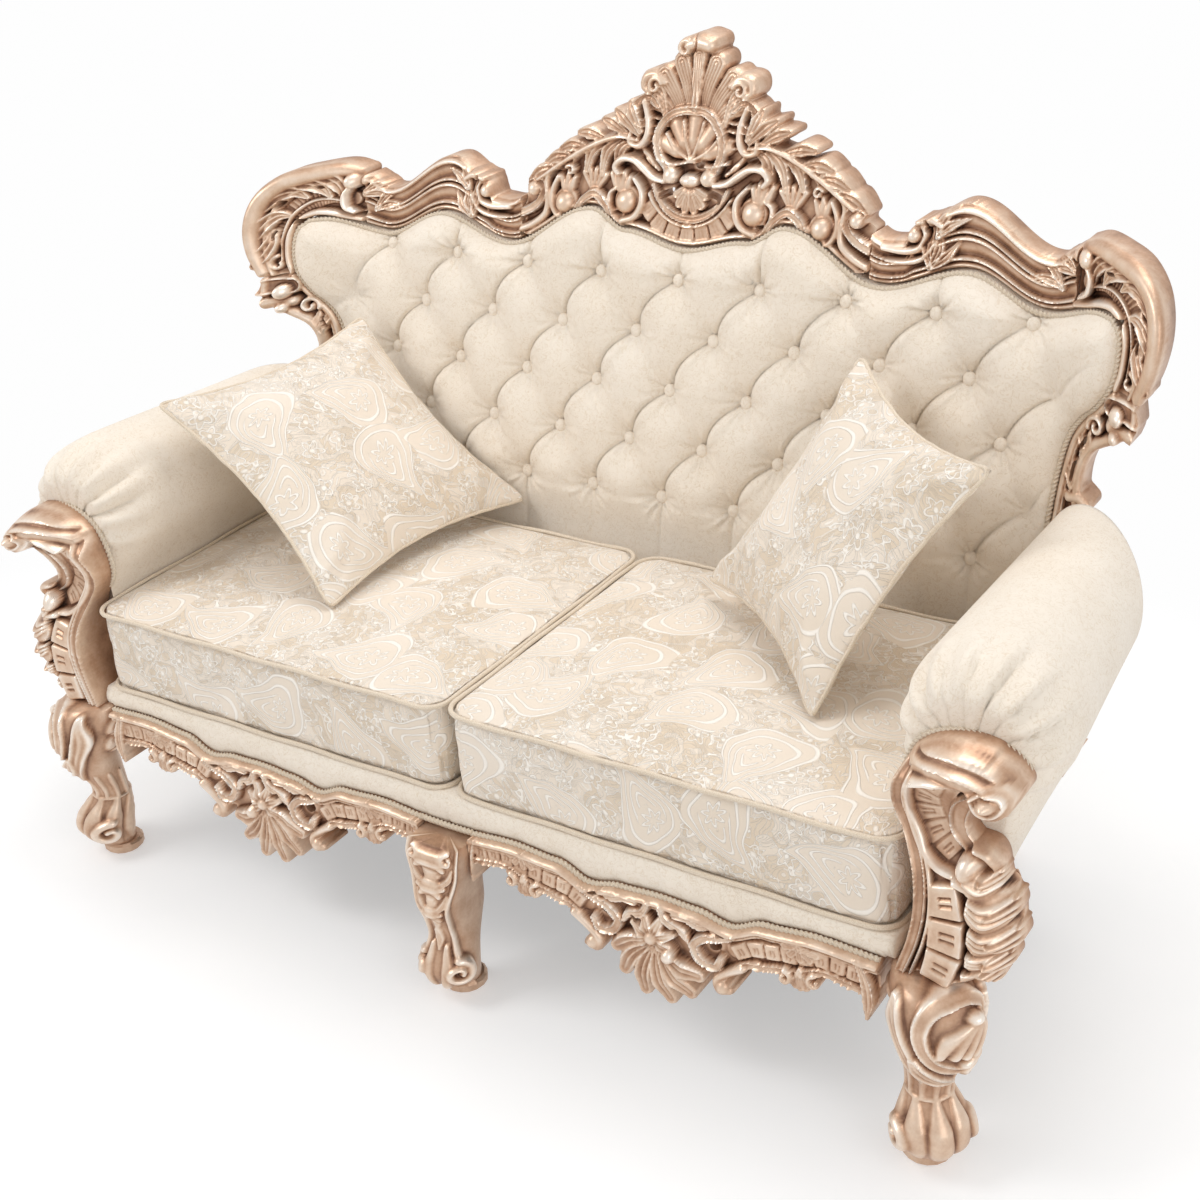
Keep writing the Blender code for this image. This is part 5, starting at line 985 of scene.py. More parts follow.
def stiles():
    """Waisted uprights under the ears, with a beaded collar and pierced scrolls."""
    field = Carving((0.645, STILE_ENDS[0]), (0.800, STILE_ENDS[1]), 0.0017)
    inner = through([(0.732, STILE_ENDS[1]), (0.713, 0.812), (0.692, 0.788), (0.673, 0.757), (0.663, 0.716),
                     (0.656, 0.650), (0.658, 0.585), (0.705, 0.500), (0.710, 0.400), (0.706, 0.298)], 60)
    outer = through([(0.780, STILE_ENDS[1]), (0.780, 0.806), (0.750, 0.782), (0.714, 0.755), (0.698, 0.715),
                     (0.702, 0.660), (0.722, 0.600), (0.748, 0.520), (0.745, 0.400), (0.741, 0.298)], 60)
    field.fill(np.vstack([inner, outer[::-1]]), -0.001)
    upper = slice(0, 44)  # above the arm, where the stile can be seen
    field.stroke(inner[upper] + (0.005, 0.0), (0.004, 0.006, 0.006, 0.005), 0.013, 0.004)
    field.stroke(inner[upper] + (0.013, 0.002), (0.002, 0.0035, 0.003), 0.010, 0.003)
    field.stroke(outer[upper] - (0.006, 0.0), (0.006, 0.008, 0.009, 0.008), 0.016, 0.002)
    field.stroke([(0.736, 0.824), (0.758, 0.826), (0.780, 0.824)], 0.0155, 0.020, 0.004, coved)
    field.stroke([(0.738, 0.796), (0.758, 0.798), (0.776, 0.796)], 0.0105, 0.015, 0.004)
    field.groove([(0.730, 0.806), (0.756, 0.808), (0.786, 0.806)], 0.0025, 0.008)
    field.bead((0.748, 0.815), 0.0125, 0.014, 0.020)
    field.bead((0.748, 0.787), 0.0090, 0.012, 0.018)
    field.stroke(volute((0.712, 0.786), 0.015, 200, -1.1), (0.005, 0.0035), 0.012, 0.008)
    flames(field, (0.694, 0.738), ((66, 24), (100, 24)), 0.038, 0.0080, 0.014, 0.006)
    flames(field, (0.682, 0.688), ((84, 30), (112, 20)), 0.040, 0.0075, 0.014, 0.006)
    field.stroke([(0.680, 0.676), (0.698, 0.682), (0.716, 0.678)], 0.008, 0.014, 0.006)
    field.pierce([(0.697, 0.762), (0.690, 0.748)], 0.0034)
    field.pierce([(0.682, 0.722), (0.681, 0.700)], 0.0034)
    field.trim(np.minimum(STILE_ENDS[1] - field.z, field.z - STILE_ENDS[0]))
    field.trim(np.where(field.z > 0.775, 0.786 - 0.35 * np.abs(field.z - 0.815) - field.x, 1.0))
    gilded(build_pair, "stile_carving", "stile", *field.solid(lean, CARVING_DEPTH))


def arm_posts():
    """Arm fronts: S-shaped, with scored blocks and leaf scales below, a ribbed scroll and volute above."""
    field = Carving((0.680, 0.298), (0.862, 0.630), 0.0014)
    inner = through([(0.7055, 0.298), (0.722, 0.352), (0.729, 0.400), (0.724, 0.440), (0.707, 0.480),
                     (0.688, 0.520), (0.692, 0.558), (0.708, 0.592), (0.738, 0.612), (0.778, 0.618),
                     (0.818, 0.608), (0.843, 0.588)], 90)
    outer = through([(0.815, 0.298), (0.838, 0.345), (0.850, 0.395), (0.838, 0.440), (0.806, 0.468),
                     (0.772, 0.505), (0.764, 0.535), (0.770, 0.558), (0.784, 0.570), (0.806, 0.562)], 90)
    field.fill(np.vstack([inner, outer[::-1]]), -0.006)

    field.stroke(inner[:78] + (0.008, 0.0), (0.007, 0.009, 0.009, 0.009, 0.008),
                 (0.014, 0.014, 0.012, 0.012, 0.014), 0.002, coved)
    field.stroke(inner[:66] + (0.021, 0.0), (0.002, 0.004, 0.004, 0.003), 0.012, 0.001)
    # Scored blocks up the middle of the body
    field.stroke([(0.758, 0.298), (0.770, 0.345), (0.771, 0.395), (0.762, 0.440)], (0.020, 0.0235, 0.0235, 0.018),
                 0.012, 0.000, blocks(3))
    # Leaf scales on the rounded outer side, each laid over the one below
    for k, (x, z, size) in enumerate(((0.812, 0.309, 0.022), (0.822, 0.340, 0.026), (0.827, 0.376, 0.030),
                                      (0.822, 0.416, 0.029), (0.808, 0.450, 0.022))):
        field.bead((x, z), size, 0.010, 0.001 + 0.0030 * k, 0.80)
        for m in (-1, 0, 1):
            rib = [(x - 0.80 * size, z + (0.34 - 0.20 * m) * size), (x, z - (0.02 + 0.30 * m) * size),
                   (x + 0.86 * size, z + (0.16 - 0.34 * m) * size)]
            field.stroke(rib, (0.0025, 0.0048, 0.0028), 0.008, 0.007 + 0.0030 * k)
    # Ribbed hollow of the scroll, between its fillet and the smooth inner cove
    field.stroke([(0.748, 0.574), (0.730, 0.545), (0.731, 0.515), (0.746, 0.488), (0.770, 0.468)],
                 (0.012, 0.020, 0.020, 0.012), 0.009, -0.010, blocks(5))
    field.stroke([(0.714, 0.580), (0.708, 0.545), (0.709, 0.510), (0.724, 0.478), (0.750, 0.455), (0.782, 0.449)],
                 (0.004, 0.0065, 0.0065, 0.006), 0.015, -0.002)
    field.stroke([(0.800, 0.566), (0.780, 0.548), (0.770, 0.522), (0.774, 0.500), (0.792, 0.484)],
                 (0.008, 0.0135, 0.0135, 0.008), 0.014, -0.004, coved)
    field.stroke([(0.778, 0.448), (0.802, 0.446), (0.818, 0.462), (0.812, 0.484), (0.796, 0.490)],
                 (0.006, 0.0085, 0.0085, 0.005), 0.016, 0.006)
    field.bead((0.793, 0.468), 0.0165, 0.019, 0.014)
    # Roll over the top, with the volute's rings
    field.stroke([(0.714, 0.590), (0.740, 0.602), (0.778, 0.606), (0.815, 0.598), (0.836, 0.584)],
                 (0.010, 0.016, 0.019, 0.019, 0.015), (0.014, 0.026, 0.034, 0.036, 0.030), 0.004)
    field.groove([(0.716, 0.600), (0.744, 0.6085), (0.780, 0.6120), (0.816, 0.6045), (0.838, 0.590)], 0.0034, 0.009)
    field.stroke([(0.724, 0.578), (0.748, 0.588), (0.780, 0.590), (0.808, 0.584)], (0.004, 0.007, 0.005),
                 0.014, 0.018)
    eye = (0.820, 0.582)
    field.bead(eye, 0.029, 0.012, 0.030, 0.74)
    field.stroke([(eye[0] + 0.019 * math.cos(a), eye[1] + 0.013 * math.sin(a))
                  for a in np.linspace(0, 2 * math.pi, 36)], 0.0026, 0.007, 0.038)
    field.bead(eye, 0.014, 0.012, 0.036, 0.72)
    field.trim(field.z - 0.298)
    # The face is drawn back where the S is waisted, and rounds back over the roll and the outer side
    near_edge = np.clip(1.0 - field.inside / 0.034, 0.0, 1.0) ** 1.6
    field.drawn_back = (0.034 * np.exp(-((field.z - 0.505) / 0.065) ** 2)
                        + 0.044 * near_edge * ease((field.z - 0.560) / 0.030)
                        + 0.046 * near_edge * ease((field.x - 0.785) / 0.025) * ease((0.490 - field.z) / 0.040))
    gilded(build_pair, "arm_post_carving", "arm_post", *field.solid(upright(POST_FRONT_Y), POST_DEPTH))


def apron_low(x):
    """Lower edge of an apron."""
    return eased(((0.0, 0.170), (0.060, 0.172), (0.085, 0.180), (0.150, 0.220), (0.200, 0.230), (0.255, 0.247),
                  (0.300, 0.241), (0.330, 0.222)), np.abs(x - APRON_CENTRE_X))


def aprons():
    """Pierced aprons between the legs: scored blocks, C-scrolls, flowers, and a shell of petals."""
    field = Carving((0.042, 0.112), (0.690, 0.300), 0.0018)
    along = np.linspace(0.045, 0.684, 150)
    low, high = apron_low(along), border_low_z(along)
    field.fill(np.vstack([np.stack([along, low + 0.006], -1), np.stack([along, high], -1)[::-1]]), -0.006)
    field.stroke(np.stack([along, high - 0.0055], -1), 0.0050, 0.010, 0.002)
    field.stroke(np.stack([along, high - 0.0145], -1), 0.0026, 0.007, 0.000)
    for side in (1.0, -1.0):
        stroke = one_side(field, side, APRON_CENTRE_X)
        x = APRON_CENTRE_X + side * np.linspace(0.118, 0.306, 50)
        middle = lerp(apron_low(x), border_low_z(x), 0.47)
        field.stroke(np.stack([x, middle], -1), 0.0125, 0.008, -0.002, blocks(8))
        # Lower moulding in two C-scrolls that meet at the lower flower
        field.stroke(np.stack([x, apron_low(x) + 0.0055], -1), 0.0055, 0.012, 0.001, coved)
        for out, z, turns in ((0.196, 0.2285, -0.9), (0.240, 0.2350, 0.9)):
            field.stroke(volute((APRON_CENTRE_X + side * out, z), 0.011, 90, side * turns), (0.0045, 0.003), 0.010,
                         0.005)
        rays(stroke, (250, 270, 290), ((0.218, 0.246, 0, 0), (0.218, 0.246, 0.022, 0.028)), (0.004, 0.007),
             (0.010, 0.006), 0.004, leafy)
        rays(stroke, (200, 235, 270, 305, 340), ((0.218, 0.284, 0, 0), (0.218, 0.284, 0.024, 0.022)),
             (0.004, 0.0065), (0.010, 0.007), 0.003, leafy)
        stroke(((0.300, 0.292), (0.312, 0.262), (0.316, 0.232), (0.313, 0.204)), (0.005, 0.009, 0.010, 0.003), 0.012,
               0.002, leafy)
        # Scrolls beside the shell
        stroke(((0.120, 0.262), (0.098, 0.252), (0.076, 0.246), (0.060, 0.228), (0.070, 0.208), (0.092, 0.204),
                (0.100, 0.218)), (0.004, 0.0075, 0.0075, 0.006), 0.014, 0.003, coved)
        stroke(((0.134, 0.216), (0.110, 0.200), (0.094, 0.184), (0.098, 0.168), (0.114, 0.172)),
               (0.006, 0.0075, 0.006), 0.013, 0.002)
        field.bead((APRON_CENTRE_X + side * 0.104, 0.176), 0.011, 0.012, 0.008)
        stroke(((0.030, 0.268), (0.052, 0.268), (0.070, 0.262), (0.086, 0.268)), (0.004, 0.007, 0.004), 0.012,
               0.003, leafy)
        stroke(((0.010, 0.272), (0.020, 0.256), (0.042, 0.246), (0.050, 0.232)), (0.005, 0.008, 0.004), 0.012,
               0.005, leafy)
    # Shell of petals that hangs from a flower
    for degrees, reach in ((206, 0.074), (231, 0.088), (256, 0.094), (281, 0.094), (305, 0.087), (329, 0.074)):
        field.stroke(petal((APRON_CENTRE_X, 0.214), degrees, reach, 0.008), (0.004, 0.0110, 0.0150, 0.0105),
                     (0.008, 0.015, 0.019, 0.010), 0.003, leafy)
    flower = (APRON_CENTRE_X - 0.004, 0.222)
    rays(field.stroke, (20, 66, 112, 158, 210, 330), [flower + (r, r) for r in (0.006, 0.018, 0.032)],
         (0.004, 0.010, 0.006), (0.010, 0.015, 0.008), 0.008, leafy)
    field.bead(flower, 0.010, 0.010, 0.014)
    field.bead((APRON_CENTRE_X + 0.022, 0.200), 0.010, 0.010, 0.016)
    for side in (1.0, -1.0):
        for a, b, half in (((0.084, 0.228), (0.090, 0.232), 0.0075), ((0.094, 0.262), (0.106, 0.258), 0.0030),
                           ((0.030, 0.240), (0.034, 0.246), 0.0036)):
            field.pierce([(APRON_CENTRE_X + side * x, z) for x, z in (a, b)], half)
    field.trim(border_low_z(field.x) - field.z)
    field.trim(np.minimum(field.x - 0.0452, 0.6840 - field.x))
    gilded(build_pair, "apron_carving", "apron", *field.solid(upright(APRON_FRONT_Y), APRON_DEPTH))


# Legs

def wrapped(stations, heading, centre, square, strokes):
    """A leg: rings at (height, reach, half width, half depth), carved by strokes in (angle, height)."""
    stations = np.array(sorted(stations))
    low, high = stations[0, 0], stations[-1, 0]
    rows, count = int((high - low) / 0.0016), 150
    z = np.linspace(low, high, rows)
    girth = 0.22
    field = Carving((-girth / 2, low - 0.004), (girth / 2, high + 0.004), 0.0016)
    field.height[:], field.inside[:] = 0.0, 1.0
    strokes(field)
    field.height = lerp(field.height, field.blurred(field.height, 0.0034), 0.6)
    # The relief's tone: wax patina and painted shade in the hollows, rubbed leaf and a painted highlight on the
    # swells.
    patina_and_painted_light = field.patina_and_painted_light()
    angle = np.linspace(0, 2 * np.pi, count, endpoint=False)
    column = np.mod(angle + np.pi, 2 * np.pi) - np.pi
    i = np.clip((column / (2 * np.pi) * girth - field.x[0, 0]) / field.step, 0, field.x.shape[1] - 1.001)[None]
    j = np.clip((z - field.z[0, 0]) / field.step, 0, field.x.shape[0] - 1.001)[:, None]

    def sampled(grid):
        a, b = i.astype(int), j.astype(int)
        return lerp(lerp(grid[b, a], grid[b, a + 1], i - a), lerp(grid[b + 1, a], grid[b + 1, a + 1], i - a), j - b)

    height, patina_and_light_per_point = sampled(field.height), sampled(patina_and_painted_light)
    reach, half_width, half_depth = (smooth_interp(z, stations[:, 0], stations[:, k]) for k in (1, 2, 3))
    power = smooth_interp(z, stations[:, 0], np.array(square))
    c, s = np.cos(angle), np.sin(angle)
    along = half_depth[:, None] * np.sign(c) * np.abs(c) ** power[:, None]
    across = half_width[:, None] * np.sign(s) * np.abs(s) ** power[:, None]
    lift = 1.0 + height / np.maximum(np.hypot(along, across), 0.01)
    along, across = along * lift + reach[:, None], across * lift
    x = centre[0] + along * math.cos(heading) - across * math.sin(heading)
    y = centre[1] + along * math.sin(heading) + across * math.cos(heading)
    rings = np.stack([x, y, np.broadcast_to(z[:, None], x.shape)], -1)
    points, faces = tube(rings)
    return points, faces, np.concatenate([patina_and_light_per_point.ravel(), (0.0, 0.0)])


def smooth_interp(at, knots, values):
    """Values along a smooth curve through knots."""
    fine = np.linspace(0, len(knots) - 1, 12 * len(knots))
    path = through(np.stack([knots, values], -1), len(fine))
    order = np.argsort(path[:, 0])
    return np.interp(at, path[order, 0], path[order, 1])


def knee_strokes(field):
    """Cartouche on the knee, leaves beside it, reeds at the ankle, and a lobed scroll foot.
    The angle runs across the leg as a width in metres, with 0 at the leg's outward front."""
    s = 0.018
    # Scales round the sides of the knee, then leaves that run down to the ankle
    for x, z in ((0.092, 0.204), (0.096, 0.234), (0.092, 0.264), (-0.092, 0.222), (-0.090, 0.256)):
        field.bead((x, z), 0.020, 0.012, 0.001)
        rays(field.groove, (225, 270, 315), [(x, z, r, r) for r in (0.006, 0.012, 0.018)], 0.0026, 0.005)
    leaves = (((s + 0.060, 0.284), (s + 0.060, 0.244), (s + 0.046, 0.200), (s + 0.034, 0.158)),
              ((s - 0.062, 0.286), (s - 0.066, 0.240), (s - 0.054, 0.196), (s - 0.040, 0.158)),
              ((s + 0.030, 0.276), (s + 0.040, 0.246), (s + 0.034, 0.212), (s + 0.022, 0.176)),
              ((s - 0.048, 0.206), (s - 0.040, 0.186), (s - 0.024, 0.168), (s - 0.006, 0.158)))
    for k, leaf in enumerate(leaves):
        field.stroke(leaf, (0.005, 0.0115, 0.0105, 0.004), 0.013, 0.001 + 0.001 * k, leafy)
    # Fluted shield inside the great C, and the C itself
    for k in range(4):
        tip = (s - 0.024 + 0.011 * k, 0.222 - 0.004 * k)
        field.stroke([(s + 0.006, 0.268), (s - 0.016 + 0.010 * k, 0.246), tip], (0.0035, 0.0068, 0.0050),
                     0.009, 0.003 + 0.001 * k)
    field.stroke([(s + 0.012, 0.262), (s + 0.014, 0.280), (s - 0.008, 0.291), (s - 0.030, 0.278),
                  (s - 0.040, 0.246), (s - 0.032, 0.212), (s - 0.012, 0.192), (s + 0.004, 0.184)],
                 (0.005, 0.0075, 0.0085, 0.0080, 0.0075, 0.006), 0.012, 0.002, coved)
    field.bead((s + 0.002, 0.268), 0.0075, 0.012, 0.006)
    # Lower volute and its leaf
    field.stroke(volute((s + 0.014, 0.182), 0.021, 130, -1.25), (0.0075, 0.0045), 0.013, 0.003)
    field.bead((s + 0.036, 0.286), 0.010, 0.012, 0.003)
    for k in range(9):
        x = -0.088 + 0.022 * k
        field.stroke([(x, 0.160), (x + 0.001, 0.140), (x, 0.116)], (0.004, 0.006, 0.005), 0.004, 0.0)
    field.stroke([(-0.108, 0.112), (0.0, 0.113), (0.108, 0.112)], 0.0028, 0.004, 0.0)
    for k in range(7):
        x = -0.0943 + 0.0314 * k
        field.stroke([(x, 0.109), (x, 0.080), (x * 0.98, 0.050), (x * 0.96, 0.030)],
                     (0.007, 0.0148, 0.0140, 0.009), (0.005, 0.010, 0.008, 0.003), 0.0)
    for x in (-0.056, 0.062):
        field.stroke(volute((x, 0.056), 0.019, 100, 1.1 if x > 0 else -1.1), (0.0075, 0.0045), 0.010, 0.007)


def middle_strokes(field):
    """Framed panel with a drop of flowers, over a foot with a slot between two scrolls."""
    for side in (1.0, -1.0):
        stroke = one_side(field, side)
        stroke(((0.030, 0.278), (0.031, 0.230), (0.022, 0.170), (0.024, 0.110), (0.034, 0.070)),
               (0.0035, 0.005, 0.005, 0.006), 0.009, 0.0)
        field.stroke(volute((side * 0.030, 0.062), 0.018, 90, -side * 1.3), (0.0065, 0.004), 0.012, 0.002)
        field.stroke(volute((side * 0.012, 0.258), 0.010, 90, side * 1.0), (0.004, 0.003), 0.009, 0.001)
        for leaf in (((0.006, 0.214), (0.018, 0.226), (0.022, 0.240)),
                     ((0.004, 0.170), (0.014, 0.182), (0.018, 0.196))):
            stroke(leaf, (0.004, 0.006, 0.003), 0.009, 0.0, leafy)
        stroke(((0.012, 0.100), (0.016, 0.066), (0.010, 0.030)), (0.005, 0.009, 0.006), 0.008, 0.0)
    for z in (0.250, 0.206, 0.162):
        rays(field.stroke, (18, 90, 162, 234, 306), [(0.0, z, r, r) for r in (0, 0.0055, 0.012)],
             (0.003, 0.0055, 0.004), 0.008, 0.001)
        field.bead((0.0, z), 0.005, 0.006, 0.006)
        field.stroke([(0.0, z - 0.012), (0.001, z - 0.022), (0.0, z - 0.032)], (0.002, 0.004, 0.002), 0.007, 0.0,
                     leafy)
    field.stroke([(0.0, 0.128), (0.001, 0.112), (0.0, 0.096)], (0.004, 0.007, 0.003), 0.008, 0.0, leafy)


def legs():
    """Front legs, middle leg, turned foot pads and raked rear legs."""
    front = ((0.2975, -0.016, 0.037, 0.036), (0.290, -0.002, 0.047, 0.047), (0.270, 0.010, 0.052, 0.053),
             (0.235, 0.020, 0.048, 0.050), (0.195, 0.020, 0.041, 0.043), (0.160, 0.010, 0.034, 0.035),
             (0.132, 0.002, 0.029, 0.029), (0.110, 0.002, 0.029, 0.030), (0.085, 0.014, 0.037, 0.038),
             (0.058, 0.021, 0.041, 0.042), (0.034, 0.016, 0.036, 0.038), (0.0183, 0.006, 0.028, 0.029))
    square = (1.0, 1.0, 1.0, 1.0, 1.0, 1.0, 1.0, 0.95, 0.85, 0.75, 0.7, 0.6)
    gilded(build_pair, "front_leg_carving", "front_leg",
           *wrapped(front, math.radians(-50), (0.7475, 0.0034), square, knee_strokes))
    middle = ((0.2725, 0.000, 0.0440, 0.038), (0.250, 0.004, 0.0440, 0.042), (0.215, 0.006, 0.039, 0.042),
              (0.175, 0.006, 0.033, 0.050), (0.140, 0.000, 0.029, 0.048), (0.110, 0.002, 0.029, 0.042),
              (0.085, 0.012, 0.034, 0.042), (0.058, 0.022, 0.040, 0.042), (0.034, 0.018, 0.036, 0.039),
              (0.0183, 0.006, 0.028, 0.029))
    square = (1.0, 1.0, 1.0, 1.0, 0.85, 0.7, 0.6, 0.5, 0.4, 0.4)
    gilded(build, "middle_leg_carving", "middle_leg",
           *wrapped(middle, math.radians(-90), (0.0, MIDDLE_LEG_Y), square, middle_strokes))
    for node in ("foot_pad_left", "foot_pad_middle", "foot_pad_right", "rear_leg_left", "rear_leg_right",
                 "seat_rail_left", "seat_rail_right"):
        finish_node(node, FINISHES["gilt"])


def inner_frame():
    """The seat's and back's inner wood, webbing and dust cover keep their CAD shape."""
    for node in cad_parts:
        if node.startswith(("arm_board", "back_post", "back_rail", "corner_block", "cross_rail", "seat_rail_front",
                            "seat_rail_back")):
            finish_node(node, FINISHES["beech"])
        elif node.startswith("seat_strap"):
            finish_node(node, FINISHES["jute"])
    finish_node("dust_cover", FINISHES["dust"])


# Upholstery

ROW_PITCH = (TUFT_TOP_Z - TUFT_BOTTOM_Z) / (TUFT_ROWS - 1)
ARM_FRONT_Y = 0.0515
ARM_ROLL = (0.765, 0.600)
ARM_RADIUS = 0.108
BACK_CLOTH = CARVING_DEPTH + 0.0256  # from the back's plane to the inner face of the outer back's cloth


def tuft_relief(x, z, crown, pit):
    """Height of the buttoned surface: plump diamonds, a crisp curved pleat along one diagonal and a
    soft valley along the other, creases at the buttons, and pleats that run out to the edges."""
    last = TUFT_ROWS - 1
    row = (z - TUFT_BOTTOM_Z) / ROW_PITCH
    pitch = lerp(TUFT_PITCH[0], TUFT_PITCH[1], np.clip(row / last, 0.0, 1.0))
    column = x / pitch
    u, v = column + row / 2, column - row / 2
    metres = 1.0 / np.hypot(1.0 / pitch, 0.5 / ROW_PITCH)
    # v is constant along a line that climbs to the right: the pleat, which bows up and to the left
    bowed = v + 0.125 * np.abs(np.sin(np.pi * u))
    off = (bowed - np.round(bowed)) * metres
    valley = (u - np.round(u)) * metres
    inside = (1 - 0.44 * np.exp(-np.abs(off) / 0.022)) * (1 - 0.30 * np.exp(-(valley / 0.026) ** 2))
    inside += 0.10 * np.exp(-((off - 0.010) / 0.008) ** 2)
    tuck = np.exp(-(off / 0.0024) ** 2)
    # Beyond the first and last rows each button's pleat runs straight to the edge
    fade = np.maximum(np.maximum(-row, row - last), 0.0)
    off = (column - np.round(column)) * pitch
    straight = 1 - 0.50 * np.exp(-np.abs(off) / 0.016) * np.clip(1.25 - 0.45 * fade, 0.0, 1.0)
    mix = ease(fade / 0.16)
    fold = lerp(inside, straight, mix)
    tuck = lerp(tuck, 0.8 * np.exp(-(off / 0.0027) ** 2), mix)
    dimple, creases, away = 1.0, 0.0, 1.0
    for button_row in (np.clip(np.floor(row), 0, last), np.clip(np.floor(row) + 1, 0, last)):
        shift = np.where(np.mod(button_row, 2) > 0.5, 0.5, 0.0)
        nearest = np.round(column - shift) + shift
        dx, dz = (column - nearest) * pitch, (row - button_row) * ROW_PITCH
        gap = np.hypot(dx, dz)
        away = np.minimum(away, gap)
        angle = np.arctan2(dz, dx)
        hollow = 0.65 * np.exp(-(gap / 0.022) ** 2) + 0.35 * np.exp(-(gap / 0.040) ** 2)
        dimple = np.minimum(dimple, 1.0 - hollow)
        phase = 1.7 * nearest + 2.3 * button_row
        radial = (np.cos(11 * angle + phase) + 0.6 * np.cos(17 * angle + 2 * phase)) * np.exp(-(gap / 0.034) ** 2)
        creases = creases + radial * np.clip(gap / 0.016, 0.0, 1.0) * 0.0019 * (gap <= away)
    tuck = tuck * (1.0 - np.exp(-(away / 0.012) ** 2))
    side = np.clip((np.abs(x) - 4.15 * pitch) / (0.75 * pitch), 0.0, 1.0)
    fold, dimple = lerp(fold, 1.0, side), lerp(dimple, 1.0, side)
    return crown * fold + pit * dimple + (creases - 0.0078 * tuck) * (1 - side)


PAD_SIDE = through([(PAD_SIDE_X, PAD_BOTTOM_Z), (PAD_SIDE_X, 0.600), (0.6535, 0.660), (0.6605, 0.720),
                    (0.671, 0.760), (0.690, 0.790), (0.711, 0.812), (0.730, 0.842), (0.7370, 0.872),
                    (0.7365, 0.900), (0.731, 0.918), (0.718, 0.933), (0.712, 0.990)], 200)


def pad_width(z):
    """Half width of the back's upholstery at each height."""
    return np.interp(z, PAD_SIDE[:, 1], PAD_SIDE[:, 0])


def pad_relief(x, z, sizes):
    """Height of the back's upholstery over its plane, rounded down to the trim at its edge."""
    from_edge = np.minimum(trim_z(x) - z, 0.8 * (pad_width(z) - np.abs(x)))
    soft = np.clip(from_edge / 0.045, 0.0, 1.0)
    soft = np.sqrt(1.0 - (1.0 - soft) ** 2)
    thin = lerp(0.25, 1.0, ease((z - 0.46) / 0.12))
    return -0.004 + soft * (PAD_RISE - 0.006 + tuft_relief(x, z, sizes.tuft_crown, sizes.tuft_pit) * thin)


def tufted_back(sizes):
    """Deep-buttoned back, with its pleats and the pits that its buttons sit in."""
    across = np.linspace(-1.0, 1.0, 481)[:, None]
    up = (np.linspace(0.0, 1.0, 216) ** 0.92)[None]
    x = across * PAD_SIDE_X + 0.0 * up
    for _ in range(14):
        z = lerp(PAD_BOTTOM_Z, trim_z(x), up)
        x = across * pad_width(z)
    face = lean(x, pad_relief(x, z, sizes), z)
    back = lean(x, np.full(z.shape, -CARVING_DEPTH), z)[:, ::-1][:, ::10]
    points, faces = tube(np.concatenate([face, back], 1))
    pad = build("back_upholstery", points, [f[::-1] for f in faces], FINISHES["plain"], "plain_fabric",
                stands_for=["back_pad"])


def button_places(sizes):
    """Where each button sits in the tufting."""
    places = []
    around = np.linspace(0.0, 2 * np.pi, 12, endpoint=False)
    for row in range(TUFT_ROWS):
        pitch = lerp(TUFT_PITCH[0], TUFT_PITCH[1], row / (TUFT_ROWS - 1))
        for k in range(-4, 5):
            column = k + 0.5 if row % 2 else k
            x, z = column * pitch, TUFT_BOTTOM_Z + row * ROW_PITCH
            if abs(column) < 4.2 and abs(x) < PAD_SIDE_X - 0.03:
                relief = pad_relief(x + 0.010 * np.cos(around), z + 0.010 * np.sin(around), sizes).mean()
                places.append(lean(np.array(x), relief - 0.0005, np.array(z)))
    return np.array(places)


def arm_end_y(x, z):
    """Where an arm's upholstery ends, against the back's."""
    return BACK_FOOT_Y + BACK_LEAN * z - wrap(0.665) - WRAP_SLOPE * 0.98 * (x - 0.665) - 0.028


def arm_section(radius, centre_x, centre_z, y):
    """Section of an arm, from the seat up over its roll and down its outside, which draws in
    towards the back as the frame below it does."""
    drawn = float(ease((y - ARM_FRONT_Y) / 0.25))
    foot = lerp(0.796, 0.739, drawn)
    waist = foot + lerp(0.004, 0.034, drawn)
    angle = np.radians(np.linspace(205.0, -35.0, 97))
    roll = np.stack([centre_x + radius * np.cos(angle), centre_z + radius * np.sin(angle)], -1)
    start = through([(SEAT_HALF_WIDTH, RAIL_TOP + 0.0003), (SEAT_HALF_WIDTH, 0.400), (SEAT_HALF_WIDTH - 0.002, 0.486),
                     tuple(roll[0])], 26)[:-1]
    end = through([tuple(roll[-1]), (lerp(roll[-1][0], waist, 0.45), 0.470), (waist, 0.380),
                   (foot, RAIL_TOP + 0.0003)], 26)[1:]
    return np.vstack([start, roll, end])


